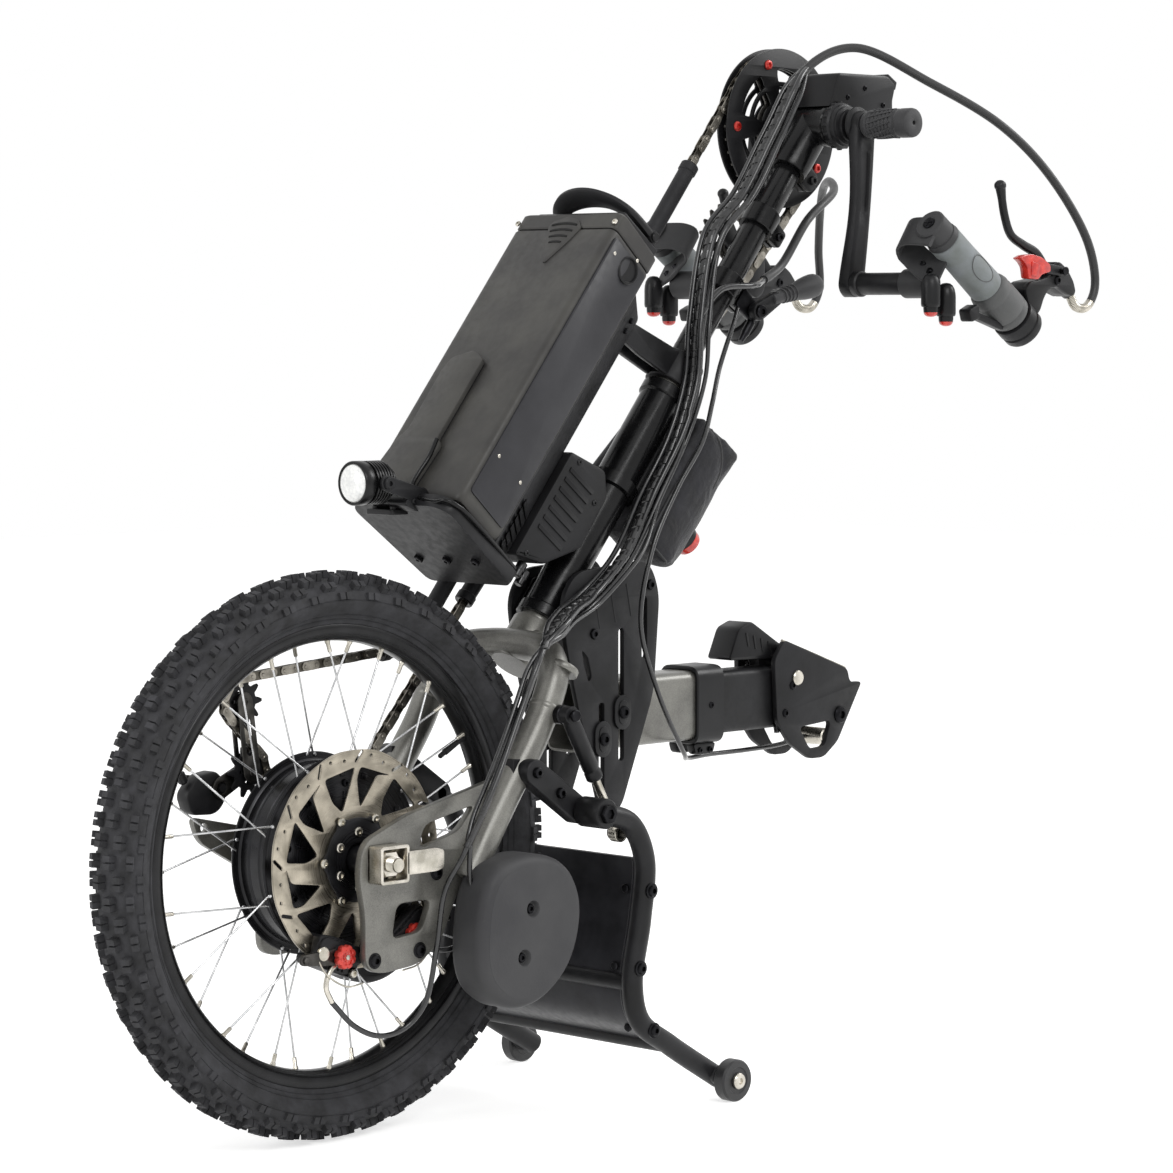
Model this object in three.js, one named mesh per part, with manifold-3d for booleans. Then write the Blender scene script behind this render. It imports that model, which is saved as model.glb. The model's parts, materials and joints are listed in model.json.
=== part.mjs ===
// Clip-on electric handcycle for a wheelchair, standing on its wheel and its parking stand.
// Millimetres. +X points forward, +Y to the rider's left, +Z up.
// The origin is the point where the tyre's lowest tread block meets the ground.
import * as THREE from "three";
import { mergeVertices } from "three/addons/utils/BufferGeometryUtils.js";
import Module from "manifold-3d";

const wasm = await Module();
wasm.setup();

// Clearances shared by all pieces
const GAP = 0.3; // between faces that touch
const RUNNING = 0.4; // round a pin or an axle
const OVERRUN = 3; // how far a cut runs past a face
const FINE = 12; // sides of a turned piece that shows
const COARSE = 8; // sides of a small turned piece
const BEND = 1; // steps round an outline's corner

// The wheel turns about the axle, which sets the height of everything below
const WHEEL = {
  radius: 257,
  tyreWidth: 56,
  treadHeight: 8,
  treadSeat: 4,
  facets: 28,
  lugLength: 24,
  lugWidth: 22,
  lugOverlap: 3,
};
// Shares of the section's height above the bead and of half its width, for the outside and the liner
const CASING_SHARES = [[0, 0.4], [0.24, 0.42], [0.6, 1], [0.96, 0.5]];
const LINER_SHARES = [[0.82, 0.5], [0, 0.2]];
const RIM = { lip: 209, halfWidth: 14, wall: 2.2, bed: 200, inner: 193 };
const SPOKES = {
  count: 36,
  radius: 1.2,
  sides: 3,
  clearance: 0.6,
  bite: 3,
  rimOffset: 3,
  splay: 1.3,
  cross: 13,
};
const HUB = {
  flangeRadius: 92,
  flangeWidth: 3.4,
  halfWidth: 23,
  drumRadius: 84,
  coverRadius: 62,
  coverRise: 2,
  coverEdge: 7,
  leftBossRadius: 34,
  leftBoss: 39.5,
  rightBossRadius: 30,
  rightBoss: 28,
  stubRadius: 13,
  stub: 66,
  sides: 16,
};
const ROTOR = {
  radius: 99,
  thickness: 2.3,
  eye: 16,
  arms: 6,
  corner: 4,
  boltCircle: 25,
  boltRadius: 4,
  boltRise: 2.4,
};
const ROTOR_WINDOW_SHARES = [
  [[0.5, 0.02], [0.82, 0.02], [0.82, 0.42]],
  [[0.82, 0.52], [0.82, 0.92], [0.6, 0.92], [0.42, 0.5]],
];
const AXLE = { radius: 7, halfLength: 98, nutRadius: 13, nutWidth: 10 };
const BRACKET = { size: 34, depth: 18, wall: 3, tail: 42, tailHeight: 20 };

// The frame's round tubes, and the slotted end plates that hold the axle
const FORK = {
  tubeRadius: 14.5,
  legOffset: 78,
  height: 433,
  setback: 231,
  crownRadius: 22,
  crownTop: 618,
  crownBottom: 664,
  steererRadius: 17,
  steererTop: 300,
  steps: 16,
};
// Shares of the setback, of the leg offset and of the height, from the foot to the crown's middle
const LEG_SHARES = [
  [0.44, 1, 0.54], [0.56, 1, 0.64], [0.69, 1, 0.74], [0.81, 1, 0.83], [0.882, 1, 0.9],
  [0.93, 0.95, 0.95], [0.975, 0.72, 0.988], [1, 0.35, 1],
];
const DROPOUT = {
  inner: 67.5,
  thickness: 8,
  reach: 150,
  drop: 92,
  rise: 66,
  corner: 12,
  boltRadius: 6,
  boltRise: 3.5,
};
// Corners as shares of the reach behind the axle and of the rise above or drop below it
const DROPOUT_RIM_SHARES = [
  [1, 1], [0.6, 0.8], [0.2, 0.6], [-0.14, 0.3], [-0.18, -0.1], [-0.13, -0.5], [-0.13, -1], [-0.02, -1.08],
  [0.3, -1.04], [0.48, -0.84], [0.58, -0.5], [0.72, -0.1], [1.06, 0.78],
];
const DROPOUT_WINDOW_SHARES = [
  [[0.3, 0.12], [0.62, 0.3], [0.76, 0.64], [0.34, 0.44]],
  [[0.12, -0.42], [0.4, -0.42], [0.32, -0.72], [0.08, -0.76]],
];
const DROPOUT_BOLT_SHARES = [[0.9, 0.74], [0.44, -0.16], [0.3, -0.9], [-0.06, -0.94]];
const HANGER_SHARES = [[-0.66, 0.56], [-0.6, 0.2], [-0.18, -0.24], [0.1, 0.1], [-0.14, 0.3]];
const BALLAST = {
  inner: 80,
  thickness: 42,
  width: 136,
  height: 145,
  back: 210,
  bottom: 113,
  corner: 24,
  edge: 6,
  face: 0.9,
  clearance: 2,
  recessRadius: 8,
};
const BALLAST_BOLT_SHARES = [[0.5, 0.64], [0.58, 0.34]];
const BALLAST_SHARES = [
  [0.52, 1], [0.92, 0.9], [1, 0.24], [0.7, 0], [0.38, 0.04], [0.1, 0.26], [0, 0.64], [0.16, 0.92],
];
const CALLIPER = {
  radius: 88,
  length: 56,
  height: 30,
  inner: 30,
  outer: 55,
  slot: 7,
  knobRadius: 11,
  knobWidth: 7,
  pivotRadius: 4,
  lugRadius: 6,
  lugShift: 24,
  lugInset: 8,
  armLength: 40,
  armRadius: 8,
  armEnd: 5,
  armThickness: 4,
  angles: [-68, -126],
};
const CALLIPER_SHARES = [
  [0, 0.1], [0.06, 0.8], [0.3, 1], [0.7, 1], [0.94, 0.8], [1, 0.1], [0.7, 0], [0.3, 0],
];

// The mast leans back in the plane Y = 0, and its frame has Z along it and X square to it, forward
const MAST = {
  lean: 39,
  reach: 421,
  rise: 496,
  radius: 14,
  top: 22,
  bottom: 480,
  clampRadius: 20,
  clampLength: 36,
  collarAt: 122,
  collarLength: 22,
  collarRadius: 18,
  earLength: 15,
  earWidth: 16,
};
MAST.crankX = -FORK.setback - MAST.reach;
MAST.crankZ = FORK.height + MAST.rise;
const CRANK = {
  chainLine: 48,
  shellRadius: 21,
  shellHalf: 34,
  spindleRadius: 8.5,
  armInner: 59,
  armThickness: 15,
  rootRadius: 14,
  tipRadius: 13,
  armLength: 158,
  armTilt: 5.4,
  handleRadius: 11,
  handleReach: 205,
  restRadius: 14.5,
  restLength: 60,
};
const CHAIN = { pitch: 12.7, linksEach: 4, height: 8.2, outer: 7, inner: 5, groove: 2.8, grip: 3 };
const SPROCKET_THICKNESS = 2;
const RING = {
  teeth: 36,
  guardRadius: 80,
  guardEye: 46,
  guardThickness: 2.4,
  guardGap: 5,
  bolts: 5,
  boltCircle: 55,
  boltRadius: 5,
  boltRise: 1.6,
  hubRadius: 24,
  windowCorner: 6,
};
const RING_WINDOW_SHARES = [[0.42, 0.1], [0.78, 0.26], [0.78, -0.26], [0.42, -0.1]];
const COG = {
  chainLine: 58,
  spacing: 13,
  teeth: [14, 20, 26],
  boreRadius: 9,
  sleeveRadius: 20,
  overhang: 2,
};
const IDLER = { teeth: 20, forward: -20, below: 137, hubWidth: 6, pinRadius: 5, bossRadius: 11 };
const JOCKEY = { teeth: 10, pinRadius: 2.6 };
const DERAILLEUR = {
  upperX: 49,
  upperZ: 395,
  lowerX: 41,
  lowerZ: 331,
  wall: 2,
  cageGap: 9,
  cageRadius: 10,
  bodyDepth: 16,
  pivotX: 68,
  pivotZ: 318,
  pivotRadius: 4,
  width: 50,
  height: 40,
  lift: 37,
};
const DERAILLEUR_SHARES = [[0, 0.6], [0.26, 1], [0.7, 0.92], [1, 0.5], [0.86, 0.04], [0.3, 0], [0.1, 0.2]];
// Below these two distances along the mast the chain moves sideways from the ring's line to the cog's
const DRIFT = { from: 190, to: 620 };
const CHAIN_TUBE = { radius: 8.4, bore: 7, sides: 8, forwardTop: 95, rearTop: 235, rearBottom: 636 };
const FRONT_BEND = { x: -122, z: 500, radius: 70 };
const REAR_BENDS = { radius: 90, forward: 42, rearward: -14, lowerAt: 600, upperAt: 450 };
const CLIP = { wall: 4, length: 10, frontAt: 410, rearAt: 534 };

// The steering head and the two slotted plates that carry the docking arm
const HEAD = { radius: 20.5, top: 336, bottom: 612, collarRadius: 23, collarLength: 12 };
const WEB = { back: -25, front: 8, top: 566, bottom: 604 };
const PLATE = { middle: 35, thickness: 6, width: 132, height: 239, back: -394, bottom: 269, slotWidth: 7 };
const PLATE_SHARES = [
  [0.11, 1], [0, 0.87], [0.06, 0.47], [0.41, 0], [0.6, 0.01], [0.85, 0.46], [0.95, 0.67], [1, 0.86], [
    0.86, 0.97,
  ],
];
const PLATE_SLOT_SHARES = [
  [[0.4, 0.22], [0.4, 0.72]],
  [[0.6, 0.1], [0.6, 0.43]],
  [[0.16, 0.62], [0.16, 0.84]],
];
const PLATE_BOLT_SHARES = [[0.4, 0.4], [0.6, 0.3]];
const PLATE_BOLT = { radius: 3, bossRadius: 12, headRadius: 7.5, headRise: 4 };
const PLATE_CORNER = 14;
const ARM = {
  bottom: 327,
  height: 68,
  halfWidth: 22,
  front: -300,
  back: -462,
  wall: 3,
  corner: 9,
  clampLength: 52,
  clampWall: 4,
  lugHeight: 11,
  innerFront: -400,
  innerWall: 3,
};
const CLAMP_LUG_SHARES = [[0.04, 0.2], [0.16, -1], [0.86, -1], [1, 0.2]];
const DOCK_HEAD = { halfWidth: 28, thickness: 6, front: -569, back: -701, top: 419, bottom: 297, corner: 9 };
const DOCK_ROLLER = { radius: 9, shareX: 0.64, shareZ: 0.16 };
const DOCK_PIN = { radius: 6, headRadius: 9, headRise: 4, shareX: 0.74, shareZ: 0.34 };
const DOCK_SHARES = [
  [0, 0.84], [0.11, 1], [0.83, 0.72], [0.86, 0.6], [1, 0.6], [0.72, 0.12], [0.56, 0], [0.4, 0],
  [0.18, 0.14], [0.03, 0.34],
];
const DOCK_WINDOW_SHARES = [[0.28, 0.27], [0.64, 0.3], [0.57, 0.09], [0.4, 0.08]];
const LATCH = { halfWidth: 16, length: 90, height: 40, front: -516, bottom: 399, pivotRadius: 5, corner: 5 };
const LATCH_SHARES = [[0, 0.06], [0.16, 0.84], [0.36, 1], [1, 0.16], [1.06, -0.7], [0.87, -0.7], [0.84, 0]];
const LATCH_PIVOT_SHARES = [0.955, -0.475];

// The parking stand, two bent legs with rollers joined by a curved guard
const STAND = {
  offset: 125,
  tubeRadius: 10,
  pivotX: -224,
  pivotZ: 286,
  height: 266,
  setback: 159,
  pinRadius: 5.5,
  lugInner: 86,
  lugOuter: 102,
  lugRadius: 12,
  lugX: -166,
  lugZ: 326,
  earRadius: 14,
  earInner: 104,
  rollerRadius: 20,
  rollerWidth: 15,
  rollerPin: 5,
  steps: 10,
  sides: 8,
};
// Shares of the setback behind the pivot and of the drop below it
const STAND_SHARES = [
  [0, 0], [0.25, 0.05], [0.37, 0.18], [0.34, 0.39], [0.27, 0.61], [0.33, 0.745], [0.58, 0.85], [1, 1],
];
const GUARD = { thickness: 3, rungShare: 0.8 };
// Where the guard starts and ends, as shares of the legs' path
const GUARD_SHARES = [0.3, 0.86];
const STRUT = {
  radius: 8,
  rodRadius: 4,
  middle: 105,
  halfWidth: 5,
  topX: -204,
  topZ: 376,
  eyeX: -268,
  eyeZ: 262,
  pinRadius: 3.5,
  eyeRadius: 8.5,
  bodyLength: 70,
  rodLength: 85,
  boreStart: 11,
  play: 2.4,
};

// The battery in its dock, forward of the mast, in the mast's frame: depths are forward of the mast's axis
const BATTERY = {
  top: 285,
  length: 338,
  back: 134,
  front: 205,
  halfWidth: 68,
  backHalfWidth: 60,
  corner: 5,
  capHeight: 12,
  seam: 34,
  seamWidth: 2,
  seamDepth: 1.6,
  ventHalf: 24,
  ventHeight: 2.4,
  lockRadius: 11,
  lockForward: 165,
  lockAt: 308,
};
const BATTERY_SHARES = [[0.1, 0], [0, 0.04], [0, 1.02], [0.9, 1], [1, 0.98], [1, 0.05], [0.86, 0]];
const BATTERY_VENTS = [0.3, 0.5, 0.7];
const BAIL = {
  width: 8,
  thickness: 7,
  at: 269,
  pivot: 150,
  eyeRadius: 6,
  pinRadius: 2.8,
  lugInner: 42,
  lugWidth: 7,
  setback: 12,
  bow: 8,
};
const DOCK = {
  back: 92,
  top: 322,
  halfWidth: 52,
  lip: 4,
  stemHalf: 12,
  baseThickness: 9,
  strapWidth: 52,
  strapThickness: 7,
  strapTop: 462,
  strapShift: -20,
  collarRadius: 24,
  collarLength: 32,
  clipDepth: 40,
  clipOut: 11,
};
const CONTROLLER = {
  back: 24,
  front: 91.7,
  top: 466,
  bottom: 600,
  halfWidth: 36,
  corner: 7,
  clipBack: 2,
  clipFront: 24,
};
const CONTROLLER_SHARES = [[0.03, 0.86], [0.3, 1], [1, 0.9], [1, 0], [0.44, 0.12], [0, 0.42]];
const LAMP = {
  radius: 20,
  length: 42,
  x: -76,
  z: 590,
  rim: 3,
  lensDepth: 4,
  backShare: 0.7,
  taperShare: 0.3,
  pivotRadius: 4,
  armWidth: 16,
  armThickness: 5,
  armDrop: 8,
  bridge: 14,
};
const BAG = {
  near: 26,
  far: 105,
  top: 333,
  bottom: 490,
  left: 45,
  right: -25,
  corner: 12,
  padHalf: 10,
  padTop: 380,
  padBottom: 440,
};
const BAG_SHARES = [[0, 0.95], [0.1, 1], [0.56, 1], [1, 0.8], [0.88, 0.02], [0.58, 0], [0, 0.08]];
const TAIL_LAMP = { radius: 14, depth: 9, below: 438 };
const DISPLAY = { halfWidth: 34, front: -640, back: -742, top: 982, bottom: 938 };
const DISPLAY_SHARES = [[0, 0.8], [0.12, 1], [0.86, 1], [1, 0.16], [0.9, 0], [0.1, 0]];

// Handles, held by a bearing on the end of each crank arm
const HANDLE = {
  middle: 186,
  gripRadius: 17,
  gripEndRadius: 21,
  gripTopX: -636,
  gripTopZ: 814,
  gripBottomX: -741,
  gripBottomZ: 740,
  wall: 5,
  bearingRadius: 16,
  coreRadius: 10,
  collarLength: 20,
  capRadius: 21,
  lightShare: 0.62,
  yokeHalf: 18,
  yokeWidth: 66,
  yokeHeight: 56,
  yokeCorner: 9,
  buttonRadius: 7,
  buttonLength: 16,
  buttonTravel: 3,
  socketDepth: 8,
};
const YOKE_SHARES = [
  [0.18, 1.12], [0.46, 1.2], [0.86, 1], [1, 0.56], [0.64, 0.16], [0.3, -0.2], [0, 0], [0.1, 0.4],
];
const YOKE_RELIEF_SHARES = [[0.42, 1.06], [0.78, 0.9], [0.88, 0.6], [0.6, 0.34], [0.36, 0.4]];
const BUTTONS = [{ x: -617, z: 757 }, { x: -640, z: 748 }];
// Places on the perch: shares of its length beyond the grip, and of its height above the grip's line
const LEVER = {
  width: 12,
  blade: 9,
  thinning: 0.35,
  perchLength: 60,
  perchHeight: 60,
  perchHalf: 13,
  pivotRadius: 4,
  eyeRadius: 9,
};
const PERCH_SHARES = [
  [0.02, 0], [0.02, 0.45], [0.1, 0.95], [0.3, 1.45], [0.6, 1.62], [1.1, 1.35], [1, 1], [
    0.62, 0.62,
  ], [0.4, 0.1],
  [0.3, -0.3], [0.02, -0.3],
];
const NOTCH_SHARES = [[-0.2, 0.74], [-0.2, 1.5], [0.6, 1.3], [0.62, 0.8]];
const LEVER_SHARES = [[0.42, 1.02], [-0.1, 1.2], [-0.8, 1.07], [-1.49, 1.58]];
const LOCK_SHARES = [0.37, 1.17];
const LOCK_TIP_SHARES = [-0.31, 0.94];
const LOCK = { width: 7, height: 20, pinRadius: 3 };
const RELEASE = {
  below: 205,
  forward: -44,
  inner: 12,
  width: 9,
  cheek: 6,
  pivotRadius: 4,
  eyeRadius: 9,
  endRadius: 7,
  elbow: [-12, 26],
  knob: [-34, 44],
  gripRadius: 8,
  tipRadius: 12,
};

// Cords are routed by hand, so their points are places
const HARNESS_LEFT = [
  [-833.5, 186, 760.7], [-842, 186, 750], [-860, 186, 749], [-874, 186, 768], [-866, 184, 812],
  [-826, 166, 880], [-780, 140, 930], [-722, 96, 972],
  [-662, 50, 1006], [-606, 36, 985], [-560, 30, 920], [-520, 28, 860], [-478, 28, 820], [-453, 30, 736],
  [-446, 30, 678], [-420, 32, 620], [-384, 34, 570], [-338, 46, 516], [-282, 54, 478], [-226, 78, 464],
  [-178, 99, 440], [-150, 102, 392], [-124, 102, 341], [-99, 102, 297], [-80, 100, 266],
];
const HARNESS_RIGHT = [
  [-833.5, -186, 760.7], [-842, -186, 750], [-860, -186, 749], [-874, -186, 768], [-866, -180, 812],
  [-826, -140, 868], [-780, -90, 880], [-730, -40, 866],
  [-668, -20, 836], [-622, -12, 792], [-575, 6, 776], [-534, 30, 770], [-490, 28, 766], [-453, 30, 736],
];
const BRAKE_HOSE = [
  [-84, 100, 272], [-76, 98, 256], [-60, 93, 228], [-56, 86, 176], [-52, 74, 124], [-36, 66, 104], [
    -7, 64, 100,
  ],
  [21, 62, 112], [46, 60, 136],
];
const CORD_SIDES = 6;
const CORD_STEPS = 1.2; // sections for each point of a route
const HARNESS_RADIUS = 5;
const HOSE_RADIUS = 2.6;
const RELEASE_CABLE = [
  [-534.6, 8.7, 749.1], [-522, 14, 732], [-492, 24, 690], [-462, 42, 655], [-436, 54, 620],
  [-400, 55, 576], [-366, 55, 520], [-350, 55, 450],
  [-376, 52, 384],
  [-430, 36, 318], [-462, 10, 309], [-500, 2, 309], [-560, 0, 309], [-610, 0, 311], [-644, 0, 316.5],
];

const FINISHES = {
  greyPaint: { color: 0x73726e, roughness: 0.5, metalness: 0.2 },
  blackPaint: { color: 0x2b2b2d, roughness: 0.55, metalness: 0.2 },
  blackPlastic: { color: 0x303033, roughness: 0.65, metalness: 0 },
  charcoal: { color: 0x3f3f43, roughness: 0.6, metalness: 0 },
  steel: { color: 0xa9a59c, roughness: 0.35, metalness: 0.9 },
  darkSteel: { color: 0x6c6a66, roughness: 0.4, metalness: 0.9 },
  rubber: { color: 0x3a3a3c, roughness: 0.9, metalness: 0 },
  grip: { color: 0x7b7f7d, roughness: 0.8, metalness: 0 },
  red: { color: 0xb8443c, roughness: 0.4, metalness: 0 },
  fabric: { color: 0x27272a, roughness: 0.95, metalness: 0 },
  glass: { color: 0xf4f4ef, roughness: 0.1, metalness: 0 },
};

const TURN = 2 * Math.PI;
const TRACK_STEP = TURN / 30;
const radians = THREE.MathUtils.degToRad;
const vector = (x, y, z) => new THREE.Vector3(x, y, z);
const pitchRadius = (teeth) => (CHAIN.pitch * teeth) / TURN;
// Corner radius of a bore whose flats clear a round pin that turns in it
const bearing = (radius, sides = COARSE) => (radius + RUNNING) / Math.cos(Math.PI / sides);

// Solids: joined and cut as closed bodies
function solid(geometry) {
  const bare = geometry.clone();
  bare.deleteAttribute("normal");
  bare.deleteAttribute("uv");
  const merged = facesOut(mergeVertices(bare));
  return new wasm.Manifold(
    new wasm.Mesh({
      numProp: 3,
      vertProperties: merged.attributes.position.array,
      triVerts: new Uint32Array(merged.index.array),
    }),
  );
}

function facesOut(geometry) {
  const shape = geometry.index ? geometry : mergeVertices(geometry);
  const at = shape.attributes.position;
  const corner = [vector(0, 0, 0), vector(0, 0, 0), vector(0, 0, 0)];
  let volume = 0;
  for (let i = 0; i < shape.index.count; i += 3) {
    corner.forEach((v, k) => v.fromBufferAttribute(at, shape.index.getX(i + k)));
    volume += corner[0].dot(corner[1].cross(corner[2]));
  }
  if (volume < 0) shape.index.array.reverse();
  return shape;
}

function geometryOf(body) {
  const mesh = body.getMesh();
  const geometry = new THREE.BufferGeometry();
  geometry.setAttribute("position", new THREE.BufferAttribute(mesh.vertProperties, 3));
  geometry.setIndex(new THREE.BufferAttribute(mesh.triVerts, 1));
  return geometry;
}

function join(...pieces) {
  return geometryOf(pieces.flat().map(solid).reduce((whole, next) => whole.add(next)));
}

function cut(base, ...tools) {
  return geometryOf(tools.flat().map(solid).reduce((whole, next) => whole.subtract(next), solid(base)));
}

function common(first, second) {
  return geometryOf(solid(first).intersect(solid(second)));
}

// Outlines: closed shapes from corner points, rounded at each corner
function rounded(points, radius) {
  const shape = new THREE.Shape();
  const area = points.reduce((sum, [x, y], i) => {
    const [nextX, nextY] = points[(i + 1) % points.length];
    return sum + x * nextY - nextX * y;
  }, 0);
  const corners = area < 0 ? [...points].reverse() : points;
  const count = corners.length;
  const towards = (from, to) => {
    const length = Math.hypot(to[0] - from[0], to[1] - from[1]);
    const share = Math.min(radius / length, 0.45);
    return [from[0] + (to[0] - from[0]) * share, from[1] + (to[1] - from[1]) * share];
  };
  corners.forEach((corner, i) => {
    const start = towards(corner, corners[(i + count - 1) % count]);
    const end = towards(corner, corners[(i + 1) % count]);
    if (i) shape.lineTo(...start);
    else shape.moveTo(...start);
    if (radius) shape.quadraticCurveTo(...corner, ...end);
  });
  shape.closePath();
  return shape;
}

function spread(shares, width, height, x = 0, y = 0) {
  return shares.map(([across, up]) => [x + across * width, y + up * height]);
}

function circle(radius, sides = FINE, x = 0, y = 0) {
  const shape = new THREE.Shape();
  for (let i = 0; i < sides; i++) {
    const angle = (i / sides) * TURN;
    const point = [x + radius * Math.cos(angle), y + radius * Math.sin(angle)];
    if (i) shape.lineTo(...point);
    else shape.moveTo(...point);
  }
  shape.closePath();
  return shape;
}

// A capsule outline between two points, for slots and links
function slot(from, to, radius, sides = 4) {
  const shape = new THREE.Shape();
  const along = Math.atan2(to[1] - from[1], to[0] - from[0]);
  const points = [];
  [[to, -0.25], [from, 0.25]].forEach(([centre, start]) => {
    for (let i = 0; i <= sides; i++) {
      const angle = along + (start + (0.5 * i) / sides) * TURN;
      points.push([centre[0] + radius * Math.cos(angle), centre[1] + radius * Math.sin(angle)]);
    }
  });
  points.forEach((point, i) => (i ? shape.lineTo(...point) : shape.moveTo(...point)));
  shape.closePath();
  return shape;
}

function extrude(shape, depth, steps = BEND) {
  return new THREE.ExtrudeGeometry(shape, { depth, bevelEnabled: false, curveSegments: steps });
}

// Plates: an outline in the X-Z plane between two values of Y, or in the Y-Z plane between two of X
function sidePlate(shape, low, high, steps = BEND) {
  return extrude(shape, high - low, steps).rotateX(Math.PI / 2).translate(0, high, 0);
}

function crossPlate(shape, low, high, steps = BEND) {
  const turn = new THREE.Matrix4().makeBasis(vector(0, 1, 0), vector(0, 0, 1), vector(1, 0, 0));
  return extrude(shape, high - low, steps).applyMatrix4(turn).translate(low, 0, 0);
}

function box(fromX, toX, fromY, toY, fromZ, toZ) {
  const size = [toX - fromX, toY - fromY, toZ - fromZ];
  return new THREE.BoxGeometry(...size).translate((fromX + toX) / 2, (fromY + toY) / 2, (fromZ + toZ) / 2);
}

// Rods: along Y at a place, or between two points
function crossRod(radius, low, high, x = 0, z = 0, sides = COARSE) {
  return new THREE.CylinderGeometry(radius, radius, high - low, sides).translate(x, (low + high) / 2, z);
}

function rod(from, to, radius, sides = COARSE, endRadius = radius) {
  const along = vector(...to).sub(vector(...from));
  const length = along.length();
  const turn = new THREE.Quaternion().setFromUnitVectors(vector(0, 1, 0), along.normalize());
  return new THREE.CylinderGeometry(endRadius, radius, length, sides)
    .translate(0, length / 2, 0)
    .applyQuaternion(turn)
    .translate(...from);
}

function turned(profile, sides = FINE) {
  const points = profile.map(([r, y]) => new THREE.Vector2(r, y));
  if (profile[0][0] > 0) points.push(points[0].clone());
  return facesOut(
    mergeVertices(new THREE.LatheGeometry(points, sides).deleteAttribute("normal").deleteAttribute("uv")),
  );
}

function curveThrough(points) {
  return new THREE.CatmullRomCurve3(points.map((p) => vector(...p)), false, "centripetal");
}

function tube(points, radius, steps, sides = COARSE, bore = 0) {
  const section = circle(radius, sides);
  if (bore) section.holes.push(circle(bore, sides));
  return new THREE.ExtrudeGeometry(
    section, { steps, extrudePath: curveThrough(points), bevelEnabled: false },
  );
}

// Toothed wheels about Y: each tooth has one root point and one tip point
function toothed(teeth, sprocketThickness, middle, boreRadius, holes = [], sides = COARSE) {
  const root = pitchRadius(teeth) - CHAIN.grip;
  const tip = pitchRadius(teeth) + CHAIN.grip - GAP;
  const shape = new THREE.Shape();
  for (let i = 0; i < teeth; i++) {
    [[0, root], [0.5, tip]].forEach(([share, r], k) => {
      const angle = ((i + share) / teeth) * TURN;
      const point = [r * Math.cos(angle), r * Math.sin(angle)];
      if (i + k) shape.lineTo(...point);
      else shape.moveTo(...point);
    });
  }
  shape.closePath();
  shape.holes.push(circle(boreRadius, sides), ...holes);
  return sidePlate(shape, middle - sprocketThickness / 2, middle + sprocketThickness / 2);
}

function polar(shares, radius, unit, index, corner) {
  const points = shares.map(([r, a]) => {
    const angle = (index + a) * unit;
    return [radius * r * Math.cos(angle), radius * r * Math.sin(angle)];
  });
  return rounded(points, corner);
}

function piece(name, geometry, finish) {
  const mesh = new THREE.Mesh(geometry, new THREE.MeshStandardMaterial(FINISHES[finish]));
  mesh.name = name;
  return mesh;
}

// Places in the mast's frame, as a point of the machine's frame
const leanAngle = radians(MAST.lean);
const mastToMachine = (forward, below, y = 0) => [
  MAST.crankX + below * Math.sin(leanAngle) + forward * Math.cos(leanAngle),
  y,
  MAST.crankZ - below * Math.cos(leanAngle) + forward * Math.sin(leanAngle),
];
const mastMatrix = new THREE.Matrix4()
  .makeRotationY(-leanAngle)
  .setPosition(MAST.crankX, 0, MAST.crankZ);
const onMast = (geometry) => geometry.applyMatrix4(mastMatrix);
const belowAt = (x, z) => (x - MAST.crankX) * Math.sin(leanAngle) - (z - MAST.crankZ) * Math.cos(leanAngle);

// A cylinder along the mast, between two distances below the crank's axis
function mastRod(radius, from, to, forward = 0, y = 0, sides = FINE) {
  return rod([forward, y, -from], [forward, y, -to], radius, sides);
}

// An outline in the plane square to the mast, between two distances below the crank's axis
function mastPlate(shape, from, to) {
  return extrude(shape, to - from).translate(0, 0, -to);
}

const atWheel = (geometry) => geometry.translate(0, 0, WHEEL.radius);
const mirrored = (geometry) => facesOut(
  mergeVertices(geometry.clone().applyMatrix4(new THREE.Matrix4().makeScale(1, -1, 1))),
);

// Wheel
function tyre() {
  const bead = RIM.bed + GAP;
  const height = WHEEL.radius - WHEEL.treadHeight - bead;
  const half = WHEEL.tyreWidth / 2;
  const at = (side) => ([up, out]) => [bead + up * height, side * out * half];
  const left = CASING_SHARES.map(at(1));
  const right = CASING_SHARES.map(at(-1)).reverse();
  const linerRight = LINER_SHARES.map(at(-1)).reverse();
  const linerLeft = LINER_SHARES.map(at(1));
  const casing = turned([...left, ...right, ...linerRight, ...linerLeft], WHEEL.facets);
  const crown = bead + height;
  const length = WHEEL.lugLength;
  const lugs = [];
  for (let i = 0; i < WHEEL.facets; i++) {
    const side = i % 2 ? 1 : -1;
    const [near, far] = [-side * WHEEL.lugOverlap, side * (WHEEL.lugWidth - WHEEL.lugOverlap)];
    const block = box(
      -length / 2, length / 2, Math.min(near, far), Math.max(near, far), crown - WHEEL.treadSeat,
      WHEEL.radius,
    );
    lugs.push(block.rotateY((i / WHEEL.facets) * TURN));
  }
  return atWheel(join(casing, lugs));
}

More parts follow.
